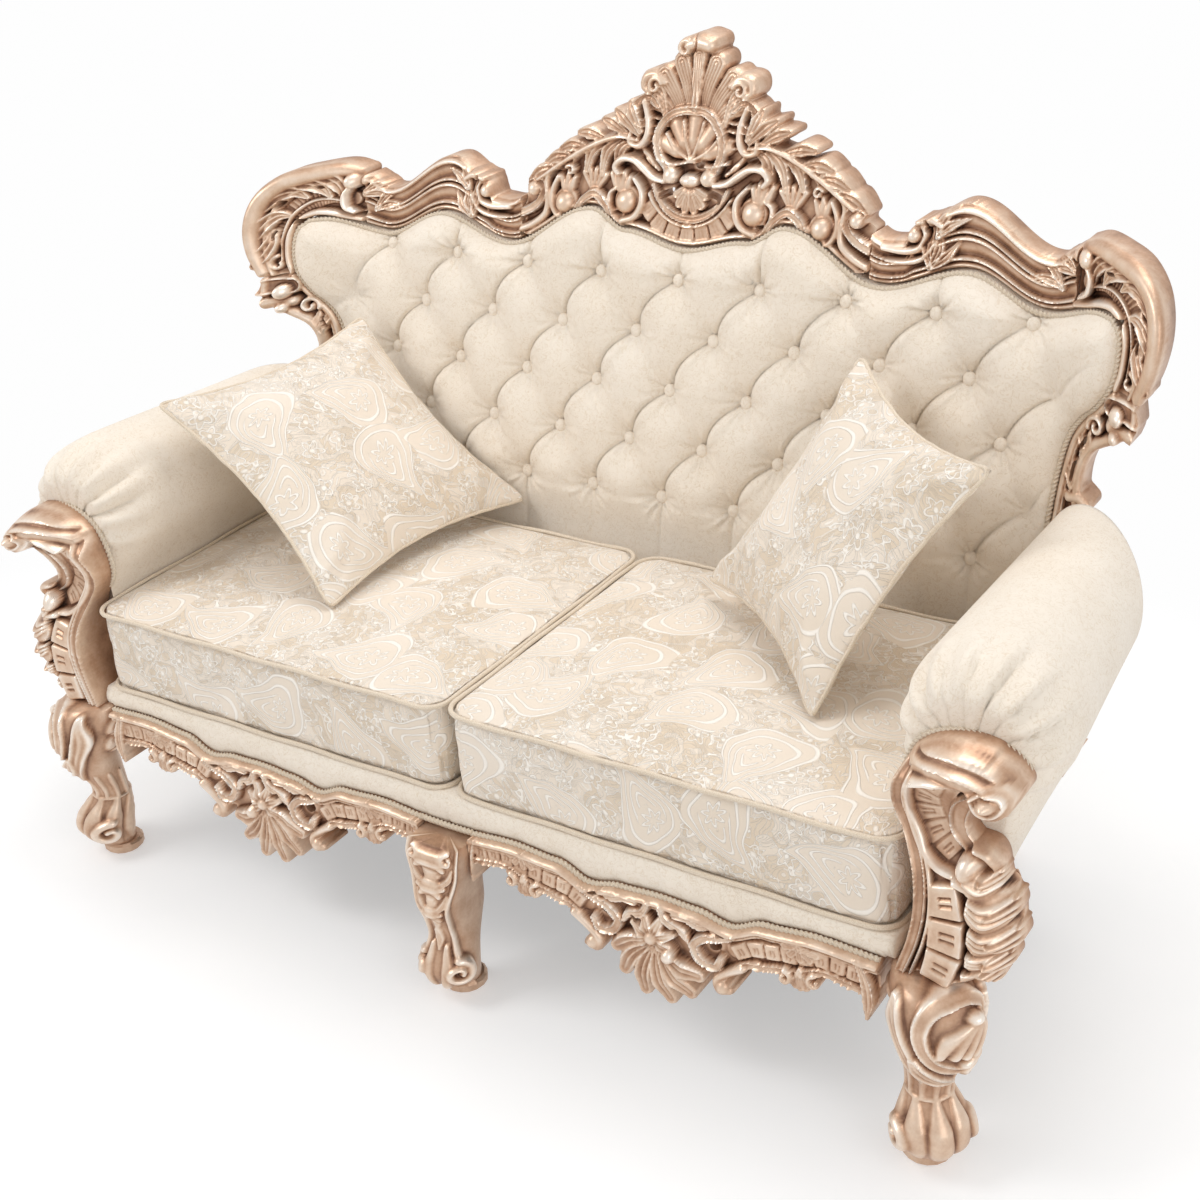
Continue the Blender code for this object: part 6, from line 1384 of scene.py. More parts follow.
def arm_pads():
    """Fat rolled arms, gathered in pleats at the front."""
    nose = 0.1
    rings, made = [], []
    for advance, swell in [(0.0, 0.56), (0.0, 0.60)] + [(nose * (1 - math.cos(a)), 0.60 + 0.40 * math.sin(a))
                                                        for a in np.linspace(0.06, math.pi / 2, 22)]:
        y = ARM_FRONT_Y + advance
        section = arm_section(ARM_RADIUS * swell, ARM_ROLL[0], ARM_ROLL[1] - 0.010 * (1 - swell), y)
        rings.append((section, np.full(len(section), y), advance))
    for share in np.linspace(0.0, 1.0, 60)[1:]:
        base = ARM_FRONT_Y + nose
        section = arm_section(lerp(ARM_RADIUS, 0.095, share), lerp(ARM_ROLL[0], 0.751, share), ARM_ROLL[1],
                              lerp(base, arm_end_y(0.739, RAIL_TOP), share))
        rings.append((section, lerp(base, arm_end_y(section[:, 0], section[:, 1]), share), nose + 0.25 * share))
    pleats = np.radians((168, 146, 122, 97, 72, 47, 22))
    for section, y, depth in rings:
        x, z = section[:, 0].copy(), section[:, 1].copy()
        angle = np.arctan2(z - ARM_ROLL[1], x - ARM_ROLL[0])
        upper = np.clip((z - 0.52) / 0.05, 0, 1)
        crease = np.zeros(len(x))
        for k, place in enumerate(pleats):
            crease += np.exp(-np.abs(angle - place + depth) / (0.040 + 0.5 * depth)) * (0.8 + 0.3 * math.sin(2.1 * k))
        fade = math.exp(-(depth / 0.066) ** 2)
        puff = 0.0055 * np.cos(angle * 14 + 0.6) * fade
        move = (-0.0165 * crease * fade + puff) * upper
        x += move * np.cos(angle)
        z += move * np.sin(angle)
        made.append(np.stack([x, y + 0.006 * crease * fade * upper, z], -1))
    points, faces = tube(np.array(made))
    for pad in build_pair("arm_upholstery", points, [f[::-1] for f in faces], FINISHES["plain"], "plain_fabric",
                          stands_for=["arm_pad"]):
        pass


def seat_border():
    """Padded deck under the cushions, with the plain border that drops in front of the rail."""
    at_leg = 0.6865
    xs = np.concatenate([np.linspace(0.0, at_leg, 170), [at_leg + 0.0005, SEAT_HALF_WIDTH - 0.0033]])
    xs = np.concatenate([-xs[:0:-1], xs])
    top, deck_low = CUSHION_BOTTOM - 0.0003, RAIL_TOP + 0.0026
    rings = []
    for x in xs:
        low = (float(border_low_z(x)) if abs(x) < at_leg + 0.0002 else RAIL_TOP) + 0.0003
        seam = 0.0022 * math.exp(-abs(x) / 0.004)
        pucker = 0.0007 * math.sin(x * 190.0) + 0.0005 * math.sin(x * 83.0 + 1.0)
        front = [(0.0297, low), (0.004, low)]
        for k in range(13):
            swell = math.sin(math.pi * min(k / 12 * 1.1, 1.0)) ** 0.6
            front.append((seam - (0.0052 + pucker) * swell, lerp(low + 0.001, top - 0.004, k / 12)))
        front += [(0.004, top), (0.566, top), (0.566, deck_low), (0.0297, deck_low)]
        rings.append([(x, y, z) for y, z in front])
    points, faces = tube(np.array(rings))
    deck = build("seat_deck_upholstery", points, faces, FINISHES["plain"], "plain_fabric", stands_for=["seat_deck"])


def cover_width(z):
    """Half width of the outer back's cloth, which is tacked behind the stiles and the ears."""
    return np.interp(z, (0.298, 0.400, 0.500, 0.585, 0.650, 0.716, 0.757, 0.790, 0.840, 0.900, 0.944),
                     (0.722, 0.726, 0.724, 0.690, 0.678, 0.680, 0.694, 0.712, 0.732, 0.738, 0.734))


def outer_back():
    """Cloth stretched over the outer back, pulled in at its tacked edges."""
    share = np.linspace(-1.0, 1.0, 131)[:, None]
    up = np.linspace(0.0, 1.0, 46)[None]
    low = RAIL_TOP + 0.0003
    x = share * 0.70 + 0.0 * up
    for _ in range(12):
        high = trim_z(x) + 0.012
        z = lerp(low, high, up)
        x = share * cover_width(z)
    from_edge = np.minimum(np.minimum(z - low, high - z), cover_width(z) - np.abs(x))
    tacks = 0.0007 * np.cos(x * 150.0) * np.exp(-(high - z) / 0.012)
    puff = 0.0035 * np.clip(from_edge / 0.03, 0.0, 1.0) ** 0.6
    points, faces = slab(lean(x, np.full(z.shape, -BACK_CLOTH), z), lean(x, tacks - puff - 0.0016 - BACK_CLOTH, z))
    cover = build("outer_back_cloth", points, faces, FINISHES["plain"], "plain_fabric",
                  stands_for=["outer_back_cover"])


def coordinates(mesh):
    """The points of a mesh as an array."""
    found = np.empty(3 * len(mesh.vertices), np.float32)
    mesh.vertices.foreach_get("co", found)
    return found.reshape(-1, 3).astype(float)


def swollen(piece, pinned, cap, pressure, voxel):
    """Let cloth simulation plump a piece: remesh it evenly, blow it up against its pinned seams,
    and keep each point within the cap of where it began."""
    remesh = piece.modifiers.new("even", "REMESH")
    remesh.mode = "VOXEL"
    remesh.voxel_size = voxel
    bake_modifiers(piece)
    start = coordinates(piece.data)
    pins = piece.vertex_groups.new(name="pins")
    for k in np.nonzero(pinned(start))[0]:
        pins.add([int(k)], 1.0, "REPLACE")
    settings = piece.modifiers.new("cloth", "CLOTH").settings
    settings.effector_weights.gravity = 0.0
    for key, value in (("use_pressure", True), ("uniform_pressure_force", pressure), ("vertex_group_mass", "pins"),
                       ("quality", 6), ("tension_stiffness", 12.0), ("compression_stiffness", 12.0),
                       ("bending_stiffness", 0.4)):
        setattr(settings, key, value)
    scene = bpy.context.scene
    for step in range(1, 21):
        scene.frame_set(step)
    graph = bpy.context.evaluated_depsgraph_get()
    move = coordinates(piece.evaluated_get(graph).data) - start
    piece.modifiers.clear()
    piece.vertex_groups.clear()
    scene.frame_set(1)
    length = np.linalg.norm(move, axis=1, keepdims=True)
    return start, start + move * np.minimum(1.0, cap / np.maximum(length, 1e-9))


def bake_modifiers(piece):
    """Replace a piece's mesh with what its modifiers make of it."""
    graph = bpy.context.evaluated_depsgraph_get()
    result = bpy.data.meshes.new_from_object(piece.evaluated_get(graph))
    piece.modifiers.clear()
    old, piece.data = piece.data, result
    bpy.data.meshes.remove(old)


def raw_piece(name, rings):
    """A closed piece through rings, as it is before the cloth simulation."""
    points, faces = tube(np.array(rings))
    mesh = bpy.data.meshes.new(name)
    mesh.from_pydata(points.tolist(), [], faces)
    return linked(name, mesh)


def refined(piece):
    """One level of subdivision, applied."""
    finer = piece.modifiers.new("finer", "SUBSURF")
    finer.levels = finer.render_levels = 1
    bake_modifiers(piece)
    return coordinates(piece.data)


def set_points(piece, points):
    piece.data.vertices.foreach_set("co", points.astype(np.float32).ravel())
    piece.data.update()


def set_cloth_map(piece, cloth):
    """UV map in metres of flat cloth, from per-corner coordinates."""
    layer = piece.data.uv_layers.new(name="cloth")
    layer.data.foreach_set("uv", cloth.astype(np.float32).ravel())


def corners(piece):
    """Vertex index of each face corner, and the normal of its face."""
    mesh = piece.data
    index = np.empty(len(mesh.loops), np.int32)
    mesh.loops.foreach_get("vertex_index", index)
    normal = np.empty(3 * len(mesh.polygons), np.float32)
    mesh.polygons.foreach_get("normal", normal)
    total = np.empty(len(mesh.polygons), np.int32)
    mesh.polygons.foreach_get("loop_total", total)
    return index, np.repeat(normal.reshape(-1, 3), total, axis=0)


CUSHION_HALF = (0.3450, 0.2770)
CUSHION_CORNER = 0.034
CUSHION_CENTRE = (0.351, 0.280)


def cushion_outline(inset, count=160):
    """Plan of a seat cushion about its centre: a rectangle with rounded corners."""
    half_x, half_y = CUSHION_HALF[0] - inset, CUSHION_HALF[1] - inset
    corner = max(CUSHION_CORNER - inset, 0.004)
    points = []
    for cx, cy, start in ((1, 1, 0), (-1, 1, 90), (-1, -1, 180), (1, -1, 270)):
        for degrees in np.linspace(start, start + 90, 9):
            points.append((cx * (half_x - corner) + corner * math.cos(math.radians(degrees)),
                           cy * (half_y - corner) + corner * math.sin(math.radians(degrees))))
    points = np.array(points + points[:1])
    length = np.concatenate([[0], np.cumsum(np.linalg.norm(np.diff(points, axis=0), axis=1))])
    at = np.linspace(0, length[-1], count, endpoint=False)
    return np.stack([np.interp(at, length, points[:, 0]), np.interp(at, length, points[:, 1])], -1)


def seat_cushions(sizes):
    """Two loose box cushions: crowned by cloth simulation between piped seams."""
    bottom, top = CUSHION_BOTTOM + 0.0025, CUSHION_BOTTOM + CUSHION_EDGE - 0.002
    rings = []
    for inset, z in ((0.20, bottom), (0.10, bottom), (0.02, bottom), (0.003, bottom + 0.001), (0.0, bottom + 0.006),
                     (0.001, 0.40), (0.0, top - 0.006), (0.003, top + 0.001), (0.02, top + 0.005),
                     (0.10, top + 0.010), (0.20, top + 0.012)):
        plan = cushion_outline(inset)
        rings.append(np.column_stack([plan, np.full(len(plan), z)]))
    piece = raw_piece("seat_cushion_plump", rings)
    seam_z = (CUSHION_BOTTOM + 0.004, top)

    def pinned(p):
        edge = from_side(p[:, 0], p[:, 1]) < 0.010
        seam = (np.abs(p[:, 2] - seam_z[0]) < 0.007) | (np.abs(p[:, 2] - seam_z[1]) < 0.007)
        return (edge & seam) | (p[:, 2] < CUSHION_BOTTOM + 0.004)

    start, plump = swollen(piece, pinned, sizes.crown, 4.0, 0.0068)
    sideways = plump[:, :2] - start[:, :2]
    on_side = (start[:, 2] > seam_z[0] + 0.004) & (start[:, 2] < seam_z[1] - 0.002)
    plump[:, :2] = start[:, :2] + sideways * np.where(on_side, 0.30, 1.0)[:, None]
    plump[:, 2] = np.clip(plump[:, 2], CUSHION_BOTTOM + 0.0006, CUSHION_BOTTOM + CUSHION_EDGE + 0.0262)
    set_points(piece, plump)
    found = refined(piece)
    x, y, z = found.T
    # Puckers along the seams, and a few soft drag folds across the border
    low, high = np.abs(z - seam_z[0]), np.abs(z - seam_z[1])
    along = np.where(np.abs(np.abs(y) - CUSHION_HALF[1]) < np.abs(np.abs(x) - CUSHION_HALF[0]), x, y)
    side = ((z > seam_z[0]) & (z < seam_z[1])).astype(float)
    ripple = np.sin(along * 230 + 3 * np.sin(along * 31)) * (np.exp(-low / 0.012) + np.exp(-high / 0.014))
    drag = np.sin(along * 52 + z * 46 + 2 * np.sin(along * 17)) * 0.0016
    outward = np.stack([np.sign(a) * (half - np.abs(a) < 0.02) for a, half in zip((x, y), CUSHION_HALF)], -1)
    found[:, :2] += outward * (side * (0.0009 * ripple + drag - 0.0016))[:, None]
    over = np.clip((z - seam_z[1]) / 0.01, 0, 1)
    found[:, 2] += over * 0.0012 * np.sin(along * 120 + 2 * np.sin(along * 23)) * np.exp(-from_side(x, y) / 0.05)
    set_points(piece, found)
    mesh = piece.data
    bpy.data.objects.remove(piece)
    plan = cushion_outline(-0.0015, 220)
    for side, hand in ((1.0, "right"), (-1.0, "left")):
        centre = np.array((side * CUSHION_CENTRE[0], CUSHION_CENTRE[1], 0.0))
        copy = mesh.copy()
        copy.name = "seat_cushion_cover_" + hand
        if side < 0:
            copy.flip_normals()
        made = linked(copy.name, copy)
        set_points(made, found * (side, 1, 1) + centre + SHIFT)
        set_cloth_map(made, cushion_cloth(found, made) + ((0.51, 0.20) if side > 0 else (0.90, 0.37)))
        copy.materials.append(FINISHES["figured"])
        copy.shade_smooth()
        settle_in(made, "damask", "cushion_" + hand, ["seat_cushion_" + hand])
        for z in seam_z[::-1]:
            loop = np.column_stack([plan * (side, 1), np.full(len(plan), z)]) + centre
            loop[:, 2] += 0.0012 * np.sin(loop[:, 0] * 38 + loop[:, 1] * 29 + side)
            PIPING["cushion_" + hand].append(loop + SHIFT)


def cushion_cloth(found, piece):
    """A cushion's flat cloth: its top and bottom in plan, and its border along its sides."""
    index, normal = corners(piece)
    x, y, z = found[index].T
    flat = np.abs(normal[:, 2]) > 0.6
    along = np.where(np.abs(normal[:, 0]) > np.abs(normal[:, 1]), y, x)
    return np.stack([np.where(flat, x, along), np.where(flat, y, z + 0.31)], -1)


def from_side(x, y):
    """How far a point of a cushion is inside its sides."""
    return np.minimum(CUSHION_HALF[0] - np.abs(x), CUSHION_HALF[1] - np.abs(y))


PIPING = {"cushion_left": [], "cushion_right": [], "throw_pillow_left": [], "throw_pillow_right": []}
PILLOWS = (("left", 0.460, (0.592, -0.113, 0.798), (0.143, 0.989, 0.034)),
           ("right", 0.420, (-0.496, -0.630, 0.598), (0.756, -0.652, -0.060)))
PILLOW_WAIST = 0.030
PILLOW_THICKNESS = 0.135


def pillow_edge(side, count):
    """Seam of a pillow about its centre: four gently waisted sides with pointed corners."""
    half = side / 2 - 0.006
    turn = np.linspace(0, 1, count, endpoint=False) * 4
    k, f = np.floor(turn).astype(int) % 4, 2 * (turn - np.floor(turn)) - 1
    depth = half - PILLOW_WAIST * (1 - f * f)
    reach = f * (half - 0.004 * np.abs(f) ** 8)
    x = np.choose(k, (reach, depth, -reach, -depth))
    y = np.choose(k, (-depth, reach, depth, -reach))
    return np.stack([x, y], -1)


def pillows(sizes):
    """Knife-edged throw pillows, puffed by cloth simulation, that rest on the seat."""
    for hand, side, normal, edge in PILLOWS:
        rim = pillow_edge(side, 160)
        upper = [(0.05, 0.74), (0.3, 0.70), (0.55, 0.58), (0.78, 0.37), (0.93, 0.15), (1.0, 0.045)]
        rings = [np.column_stack([rim * scale, np.full(len(rim), height * PILLOW_THICKNESS / 2)])
                 for scale, height in upper + [(scale, -height) for scale, height in upper[::-1]]]
        piece = raw_piece("pillow_puff_" + hand, rings)
        tree = KDTree(len(rim))
        for k, (x, y) in enumerate(rim):
            tree.insert((x, y, 0.0), k)
        tree.balance()

        def pinned(p):
            held = np.array([tree.find((x, y, 0.0))[2] < 0.006 and abs(z) < 0.005 for x, y, z in p])
            return held & (np.abs(np.abs(p[:, 0]) - np.abs(p[:, 1])) < 0.05)

        start, puffed = swollen(piece, pinned, sizes.puff, 3.0, 0.0052)
        set_points(piece, puffed)
        found = refined(piece)
        seam = KDTree(len(puffed))
        for k, p in enumerate(start):
            seam.insert((p[0], p[1], 2.5 * p[2]), k)
        seam.balance()
        line = np.array([puffed[seam.find((x, y, 0.0))[1]] for x, y in pillow_edge(side, 240)])
        for _ in range(2):
            line = (np.roll(line, 1, 0) + line + np.roll(line, -1, 0)) / 3
        x, y, z = found.T
        radius = np.hypot(x, y)
        diagonal = np.exp(-((np.abs(np.abs(x) - np.abs(y))) / 0.09) ** 2) * np.clip(radius / (0.7 * side), 0, 1) ** 2
        folds = np.sin((np.abs(x) - np.abs(y)) * 95 + 1.5 * np.sin(radius * 40)) * diagonal * 0.0042
        waves = 0.0022 * np.sin(x * 33 + 2 * np.sin(y * 19)) * np.cos(y * 27 + 1.3)
        found[:, 2] += np.sign(z) * (folds + waves * np.clip(np.abs(z) / 0.03, 0, 1))
        face = Vector(normal).normalized()
        along = Vector(edge)
        across = (along - face * along.dot(face)).normalized()
        axes = np.array((across, face.cross(across), face))
        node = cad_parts["pillow_" + hand]
        in_axes = coordinates(node.data) @ axes.T
        centre = (in_axes.min(0) + in_axes.max(0)) / 2
        # What rests on the seat is flattened in the CAD solid, so its face is centred from the upper half
        centre[2] = in_axes[:, 2].max() - PILLOW_THICKNESS / 2
        placed, line = rested((found + centre) @ axes, (line + centre) @ axes, "seat_cushion_cover_" + hand)
        index, facing = corners(piece)
        cloth = found[index][:, :2] + (0.3 if hand == "left" else 1.7, 0.8)
        cloth[:, 0] += np.where(facing[:, 2] > 0, 0.0, 0.55)
        piece.name = "pillow_cover_" + hand
        set_points(piece, placed)
        set_cloth_map(piece, cloth)
        piece.data.materials.append(FINISHES["figured"])
        piece.data.shade_smooth()
        settle_in(piece, "damask", "throw_pillow_" + hand, ["pillow_" + hand])
        PIPING["throw_pillow_" + hand].append(line)


def rested(points, line, support):
    """Lift what would sink into the cushion below a pillow."""
    tree = BVHTree.FromObject(bpy.data.objects[support], bpy.context.evaluated_depsgraph_get())
    for cloud, gap in ((points, 0.0008), (line, 0.0050)):
        for p in cloud:
            hit = tree.ray_cast(Vector((p[0], p[1], p[2] + 0.30)), Vector((0, 0, -1)), 0.6)[0]
            if hit is not None and hit.z - 0.06 < p[2] < hit.z + gap:
                p[2] = hit.z + gap
    return points, line


# Cords, piping and buttons, made by geometry nodes

def new_group(name, inputs):
    """A geometry node group with its inputs, and one geometry in and out."""
    group = bpy.data.node_groups.new(name, "GeometryNodeTree")
    interface = group.interface
    interface.new_socket("Geometry", in_out="INPUT", socket_type="NodeSocketGeometry")
    for label, kind, value in inputs:
        socket = interface.new_socket(label, in_out="INPUT", socket_type=kind)
        if value is not None:
            socket.default_value = value
    interface.new_socket("Geometry", in_out="OUTPUT", socket_type="NodeSocketGeometry")
    start = group.nodes.new("NodeGroupInput")
    end = group.nodes.new("NodeGroupOutput")
    return group, start.outputs, end


def close_group(group, end, geometry, finish):
    """Realize what was instanced, set its material and put it out."""
    real = add(group, "GeometryNodeRealizeInstances", {"Geometry": geometry}).outputs[0]
    dressed = add(group, "GeometryNodeSetMaterial", {"Geometry": real, "Material": finish}).outputs[0]
    group.links.new(dressed, end.inputs["Geometry"])
    return group


def cord_group():
    """Sweep a lobed section along each curve, turning it once every lay length."""
    group, given, end = new_group("twisted_cord", (
        ("Radius", "NodeSocketFloat", 0.0035), ("Lay", "NodeSocketFloat", 0.016),
        ("Lobe Depth", "NodeSocketFloat", 0.30), ("Step", "NodeSocketFloat", 0.0016),
        ("Sides", "NodeSocketInt", 12), ("Finish", "NodeSocketMaterial", None)))
    even = add(group, "GeometryNodeResampleCurve", {"Curve": given["Geometry"], "Length": given["Step"]},
               mode="LENGTH").outputs[0]
    along = add(group, "GeometryNodeSplineParameter").outputs["Length"]
    turns = work(group, {"along": along, "lay": given["Lay"]}, (
        ("turns", "DIVIDE", "along", "lay"), ("angle", "MULTIPLY", "turns", 2 * math.pi)))["angle"]
    tilted = add(group, "GeometryNodeSetCurveTilt", {"Curve": even, "Tilt": turns}).outputs[0]
    ring = add(group, "GeometryNodeCurvePrimitiveCircle", {"Resolution": given["Sides"], "Radius": given["Radius"]},
               mode="RADIUS").outputs[0]
    place = add(group, "GeometryNodeInputPosition").outputs[0]
    axes = add(group, "ShaderNodeSeparateXYZ", {0: place}).outputs
    sockets = work(group, {"x": axes[0], "y": axes[1], "depth": given["Lobe Depth"]}, (
        ("angle", "ARCTAN2", "y", "x"), ("thrice", "MULTIPLY", "angle", 3.0), ("wave", "COSINE", "thrice"),
        ("swing", "MULTIPLY", "wave", "depth"), ("scale", "ADD", "swing", 1.0)))
    lobed = add(group, "ShaderNodeVectorMath", {0: place, "Scale": sockets["scale"]}, operation="SCALE").outputs[0]
    section = add(group, "GeometryNodeSetPosition", {"Geometry": ring, "Position": lobed}).outputs[0]
    swept = add(group, "GeometryNodeCurveToMesh", {"Curve": tilted, "Profile Curve": section,
                                                   "Fill Caps": True}).outputs[0]
    return close_group(group, end, swept, given["Finish"])


def button_group():
    """Set a covered button, a low dome, on each point, facing as the back does."""
    group, given, end = new_group("covered_buttons", (
        ("Radius", "NodeSocketFloat", 0.0125), ("Rise", "NodeSocketFloat", 0.0070),
        ("Finish", "NodeSocketMaterial", None)))
    ball = add(group, "GeometryNodeMeshUVSphere", {"Segments": 24, "Rings": 12, "Radius": 1.0}).outputs["Mesh"]
    size = add(group, "ShaderNodeCombineXYZ", {0: given["Radius"], 1: given["Radius"], 2: given["Rise"]}).outputs[0]
    dome = add(group, "GeometryNodeTransform", {"Geometry": ball, "Scale": size}).outputs[0]
    facing = Vector((0.0, -1.0, BACK_LEAN)).normalized()
    turn = add(group, "FunctionNodeAlignRotationToVector", {"Vector": facing}, axis="Z").outputs[0]
    placed = add(group, "GeometryNodeInstanceOnPoints", {"Points": given["Geometry"], "Instance": dome,
                                                         "Rotation": turn}).outputs[0]
    return close_group(group, end, placed, given["Finish"])


def grown(carrier, group, values, name, slot, body):
    """Run a node group on a carrier object and keep the result as one plain mesh."""
    modifier = carrier.modifiers.new("grow", "NODES")
    modifier.node_group = group
    for item in group.interface.items_tree:
        if item.in_out == "INPUT" and item.name in values:
            modifier[item.identifier] = values[item.name]
    graph = bpy.context.evaluated_depsgraph_get()
    mesh = bpy.data.meshes.new_from_object(carrier.evaluated_get(graph))
    bpy.data.objects.remove(carrier)
    mesh.name = name
    mesh.shade_smooth()
    return settle_in(linked(name, mesh), slot, body)


def curve_carrier(paths, closed):
    """A curve object that holds the paths for a node group."""
    data = bpy.data.curves.new("paths", "CURVE")
    data.dimensions = "3D"
    for path in paths:
        spline = data.splines.new("POLY")
        spline.points.add(len(path) - 1)
        spline.points.foreach_set("co", np.column_stack([path, np.ones(len(path))]).astype(np.float32).ravel())
        spline.use_cyclic_u = closed
    return linked("paths", data)


def cord_paths():
    """Where the twisted cord runs: round the back's upholstery, the arm fronts and the border."""
    xs = np.linspace(0, 0.7135, 170)
    corner = PAD_SIDE[(PAD_SIDE[:, 1] < 0.929) & (PAD_SIDE[:, 1] > 0.560)][::-1] - (0.0022, 0.0)
    half = np.vstack([np.column_stack([xs, trim_z(xs) - 0.0022]), corner])
    half = lean(half[:, 0], np.full(len(half), 0.0150), half[:, 1])
    inner = through([(0.7010, 0.492), (0.6860, 0.520), (0.6890, 0.560), (0.7050, 0.596), (0.7360, 0.6165),
                     (0.7780, 0.6225), (0.8200, 0.6125), (0.8450, 0.592)], 90)
    paths = [np.vstack([half[::-1] * (-1, 1, 1), half[1:]])]
    for hand in (1, -1):
        paths.append(np.column_stack([hand * inner[:, 0], np.full(len(inner), 0.0500), inner[:, 1]]))
        border = np.linspace(0.0455, 0.683, 150)
        paths.append(np.column_stack([hand * border, np.full(150, -0.0085), border_low_z(border) + 0.0015]))
    middle = np.linspace(-0.0455, 0.0455, 24)
    paths.append(np.column_stack([middle, np.full(24, -0.0085), border_low_z(middle) + 0.0030]))
    return [path + SHIFT for path in paths]


def cords_and_piping(sizes):
    """Twisted cord on the frame, and self piping on the seams of cushions and pillows."""
    group = cord_group()
    grown(curve_carrier(cord_paths(), False), group,
          {"Radius": sizes.cord_radius, "Lay": sizes.cord_lay, "Finish": FINISHES["cord"]},
          "trim_cord", "plain_fabric", BODY)
    for body, paths in PIPING.items():
        radius = sizes.piping_radius if body.startswith("cushion") else sizes.piping_radius * 0.85
        grown(curve_carrier(paths, True), group,
              {"Radius": radius, "Lay": 1.0, "Lobe Depth": 0.0, "Step": 0.004, "Finish": FINISHES["cord"]},
              "piping_" + body, "damask", body)


def buttons(sizes):
    """Covered buttons at the crossings of the tufting."""
    mesh = bpy.data.meshes.new("button_places")
    mesh.from_pydata((button_places(sizes) + SHIFT).tolist(), [], [])
    grown(linked("button_places", mesh), button_group(),
          {"Radius": sizes.button_radius, "Finish": FINISHES["plain"]}, "covered_buttons", "plain_fabric", BODY)


# Stage

CAMERA_TURN = (34.667, 27.283, -4.183)  # yaw, pitch and roll in degrees
CAMERA_PLACE = (1.4365, -1.6555, 1.7510)
CAMERA_REACH = 1797.1 / 1200  # focal length over the width of the picture
FLOOR_HALF = 12.0


def camera():
    """The photograph's viewpoint."""
    yaw, pitch, roll = (math.radians(a) for a in CAMERA_TURN)
    forward = Vector((-math.sin(yaw) * math.cos(pitch), math.cos(yaw) * math.cos(pitch), -math.sin(pitch)))
    right = Vector((math.cos(yaw), math.sin(yaw), 0.0))
    up = right.cross(forward)
    level, rise = right * math.cos(roll) + up * math.sin(roll), up * math.cos(roll) - right * math.sin(roll)
    data = bpy.data.cameras.new("camera")
    data.sensor_width = 36.0
    data.lens = CAMERA_REACH * data.sensor_width
    data.clip_end = 100.0
    made = linked("camera", data)
    turn = Matrix((level, rise, -forward)).transposed().to_4x4()
    made.matrix_world = Matrix.Translation(Vector(CAMERA_PLACE) + Vector(SHIFT)) @ turn
    bpy.context.scene.camera = made


def white_plaster(name, colour, lift):
    """Matt white paint on smooth plaster: it keeps the sofa's shadow, and away from the sofa the
    camera and reflections see it pure white."""
    made, tree, shader = surface(name, Roughness=0.9, Specular_IOR_Level=0.2)
    where = add(tree, "ShaderNodeTexCoord").outputs["Object"]
    mottle = add(tree, "ShaderNodeTexNoise", {"Vector": where, "Scale": 3.0}).outputs[0]
    mottled = add(tree, "ShaderNodeValToRGB", {0: mottle}, stops=((0.0, colour), (1.0, "#FFFFFF"))).outputs[0]
    tree.links.new(mottled, shader.inputs["Base Color"])
    oval = add(tree, "ShaderNodeVectorMath", {0: where, 1: (0.70, 1.0, 0.0)}, operation="MULTIPLY").outputs[0]
    away = add(tree, "ShaderNodeVectorMath", {0: oval}, operation="LENGTH").outputs["Value"]
    fade = add(tree, "ShaderNodeMapRange", {"Value": away, "From Min": 0.62, "From Max": 1.35, "To Min": lift,
                                            "To Max": 1.0}, interpolation_type="SMOOTHSTEP").outputs[0]
    path = add(tree, "ShaderNodeLightPath").outputs
    sockets = work(tree, {"eye": path["Is Camera Ray"], "gloss": path["Is Glossy Ray"], "fade": fade,
                          "clear": path["Is Transmission Ray"]}, (
        ("either", "MAXIMUM", "eye", "gloss"),
        ("any", "MAXIMUM", "either", "clear"),
        ("share", "MULTIPLY", "any", "fade"),
        ("strength", "MULTIPLY_ADD", "fade", -0.42, 1.41),
    ))
    glow = add(tree, "ShaderNodeEmission", {"Strength": sockets["strength"]}).outputs[0]
    mix = add(tree, "ShaderNodeMixShader", {0: sockets["share"], 1: shader.outputs[0], 2: glow})
    tree.links.new(mix.outputs[0], tree.nodes["Material Output"].inputs["Surface"])
    return made


